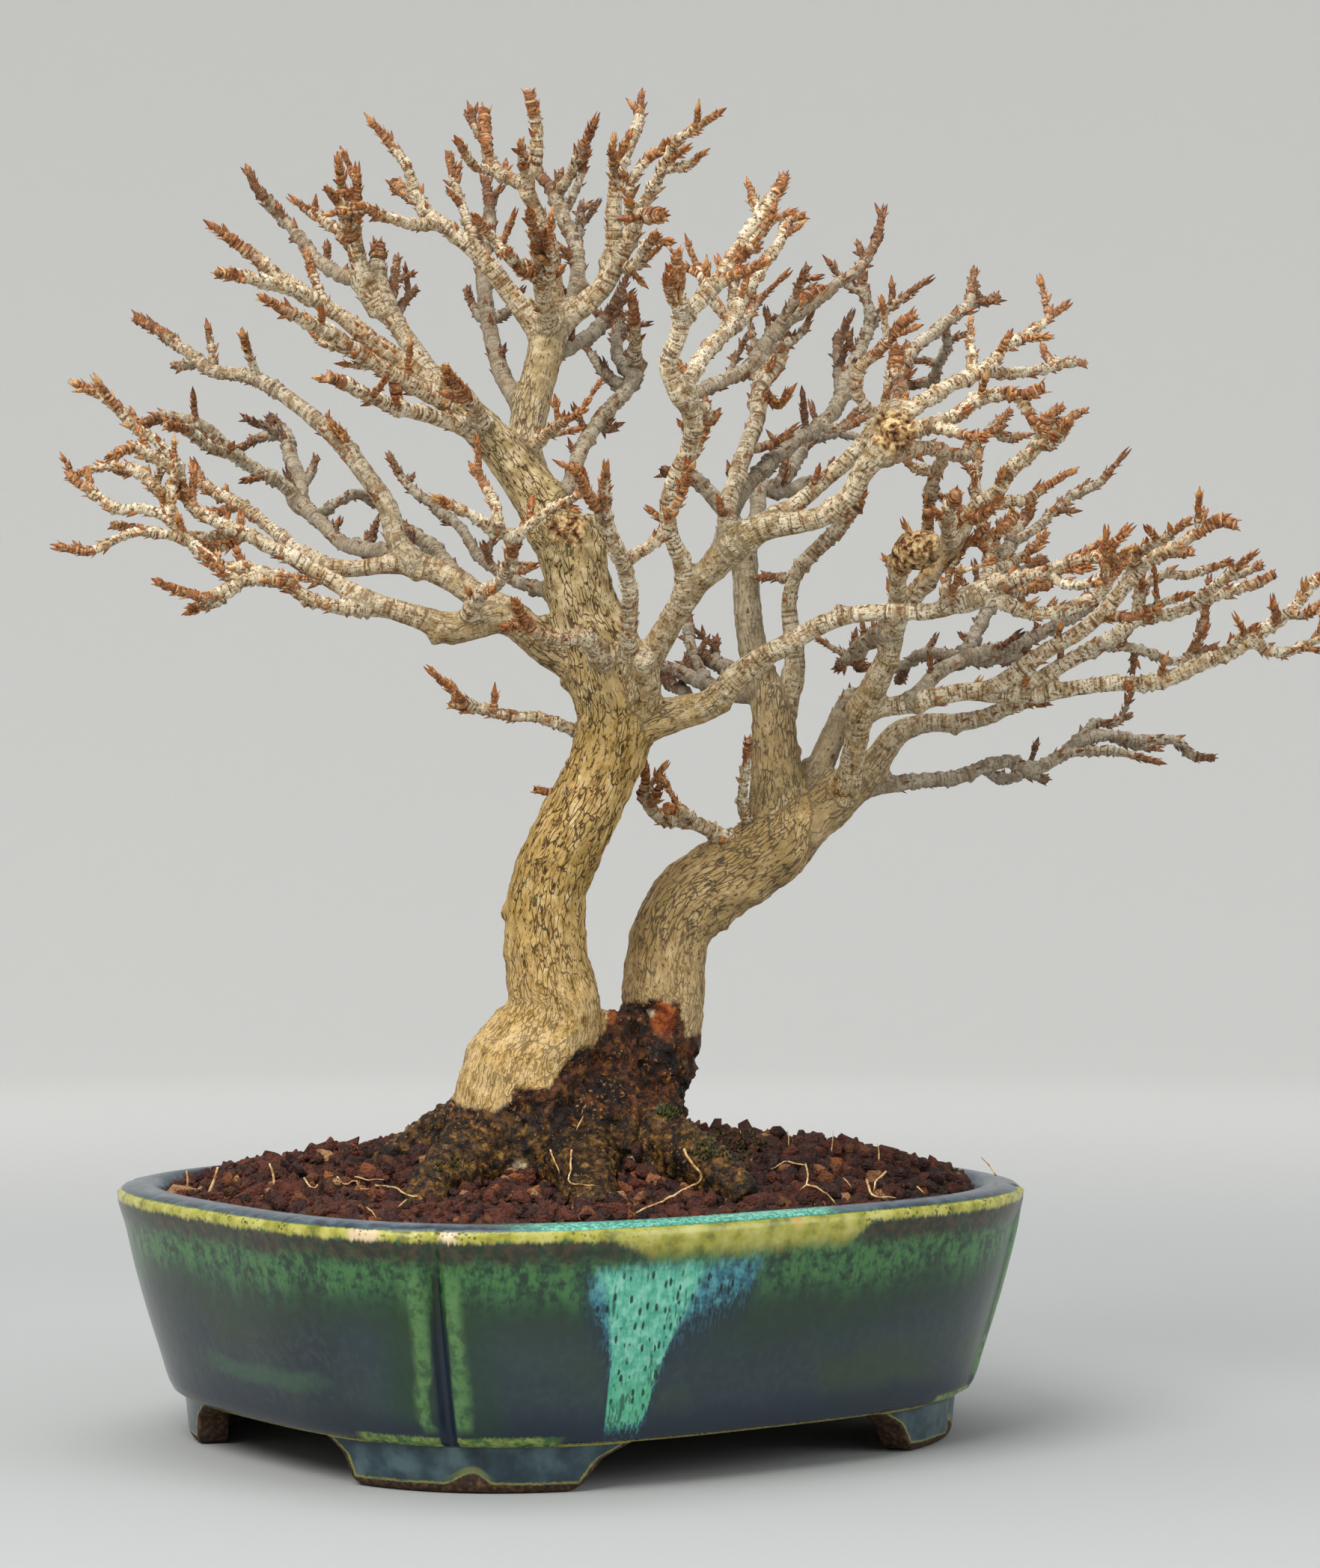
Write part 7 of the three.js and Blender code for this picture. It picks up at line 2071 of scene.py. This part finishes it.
class BonsaiStage(bpy.types.PropertyGroup):
    net: colour("Net", "Colour of the screens over the drain holes", "1d221f")
    wire: colour("Wire", "Colour of the clips that hold the screens", "a06a48")
    # Floor is the colour near the pot and wall the colour from 1.3 m out; the step between them is painted
    # light that evens out the lamps' fall-off
    floor: colour("Floor", "Colour of the floor", "aaacac")
    wall: colour("Wall", "Colour of the wall behind", "d3d3d1")
    air: colour("Air", "Colour of the light from all round", "e9ebee")
    air_strength: bpy.props.FloatProperty(
        name="Air strength", description="Brightness of the light from all round", default=0.4, min=0.0
    )
    light: bpy.props.FloatProperty(name="Light", description="Power of the main light", default=36.0, min=0.0)


class BonsaiStep(bpy.types.Operator):
    """Base of the steps: builds with one group of settings."""

    build = None
    settings = ""

    def execute(self, context):
        type(self).build(getattr(context.scene, self.settings))
        return {"FINISHED"}


class BONSAI_OT_pot(BonsaiStep):
    """Builds the glazed pot with its four feet"""

    bl_idname = "bonsai.pot"
    bl_label = "Build pot"
    build = staticmethod(pot_piece)
    settings = "bonsai_pot"


class BONSAI_OT_soil(BonsaiStep):
    """Spreads grains over the soil"""

    bl_idname = "bonsai.soil"
    bl_label = "Build soil"
    build = staticmethod(soil_pieces)
    settings = "bonsai_soil"


class BONSAI_OT_tree(BonsaiStep):
    """Builds the tree's wood, limbs, shoots and buds"""

    bl_idname = "bonsai.tree"
    bl_label = "Build tree"
    build = staticmethod(tree_pieces)
    settings = "bonsai_tree"


class BONSAI_OT_small_parts(BonsaiStep):
    """Gives the drain screens and clips their finish"""

    bl_idname = "bonsai.small_parts"
    bl_label = "Dress screens and clips"
    build = staticmethod(small_parts)
    settings = "bonsai_stage"


class BONSAI_OT_stage(BonsaiStep):
    """Sets up the floor, the lights and the camera"""

    bl_idname = "bonsai.stage"
    bl_label = "Build stage"
    build = staticmethod(stage_pieces)
    settings = "bonsai_stage"


class BONSAI_PT_panel(bpy.types.Panel):
    """Lists the settings and the steps"""

    bl_idname = "BONSAI_PT_panel"
    bl_label = "Bonsai"
    bl_space_type = "VIEW_3D"
    bl_region_type = "UI"
    bl_category = "Bonsai"

    def draw(self, context):
        for step in STEPS:
            box = self.layout.box()
            group = getattr(context.scene, step.settings)
            for name in group.__annotations__:
                box.prop(group, name)
            box.operator(step.bl_idname)


GROUPS = {
    "bonsai_pot": BonsaiPot,
    "bonsai_soil": BonsaiSoil,
    "bonsai_tree": BonsaiTree,
    "bonsai_stage": BonsaiStage,
}
STEPS = (BONSAI_OT_pot, BONSAI_OT_soil, BONSAI_OT_tree, BONSAI_OT_small_parts, BONSAI_OT_stage)


def register():
    for group in GROUPS.values():
        bpy.utils.register_class(group)
    for step in STEPS:
        bpy.utils.register_class(step)
    bpy.utils.register_class(BONSAI_PT_panel)
    for name, group in GROUPS.items():
        setattr(bpy.types.Scene, name, bpy.props.PointerProperty(type=group))


def unregister():
    for name in GROUPS:
        delattr(bpy.types.Scene, name)
    for made in (BONSAI_PT_panel, *reversed(STEPS), *reversed(GROUPS.values())):
        bpy.utils.unregister_class(made)


def main():
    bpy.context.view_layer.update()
    register()
    bpy.ops.bonsai.pot()
    bpy.ops.bonsai.soil()
    bpy.ops.bonsai.tree()
    bpy.ops.bonsai.small_parts()
    bpy.ops.bonsai.stage()


if __name__ == "__main__":
    main()
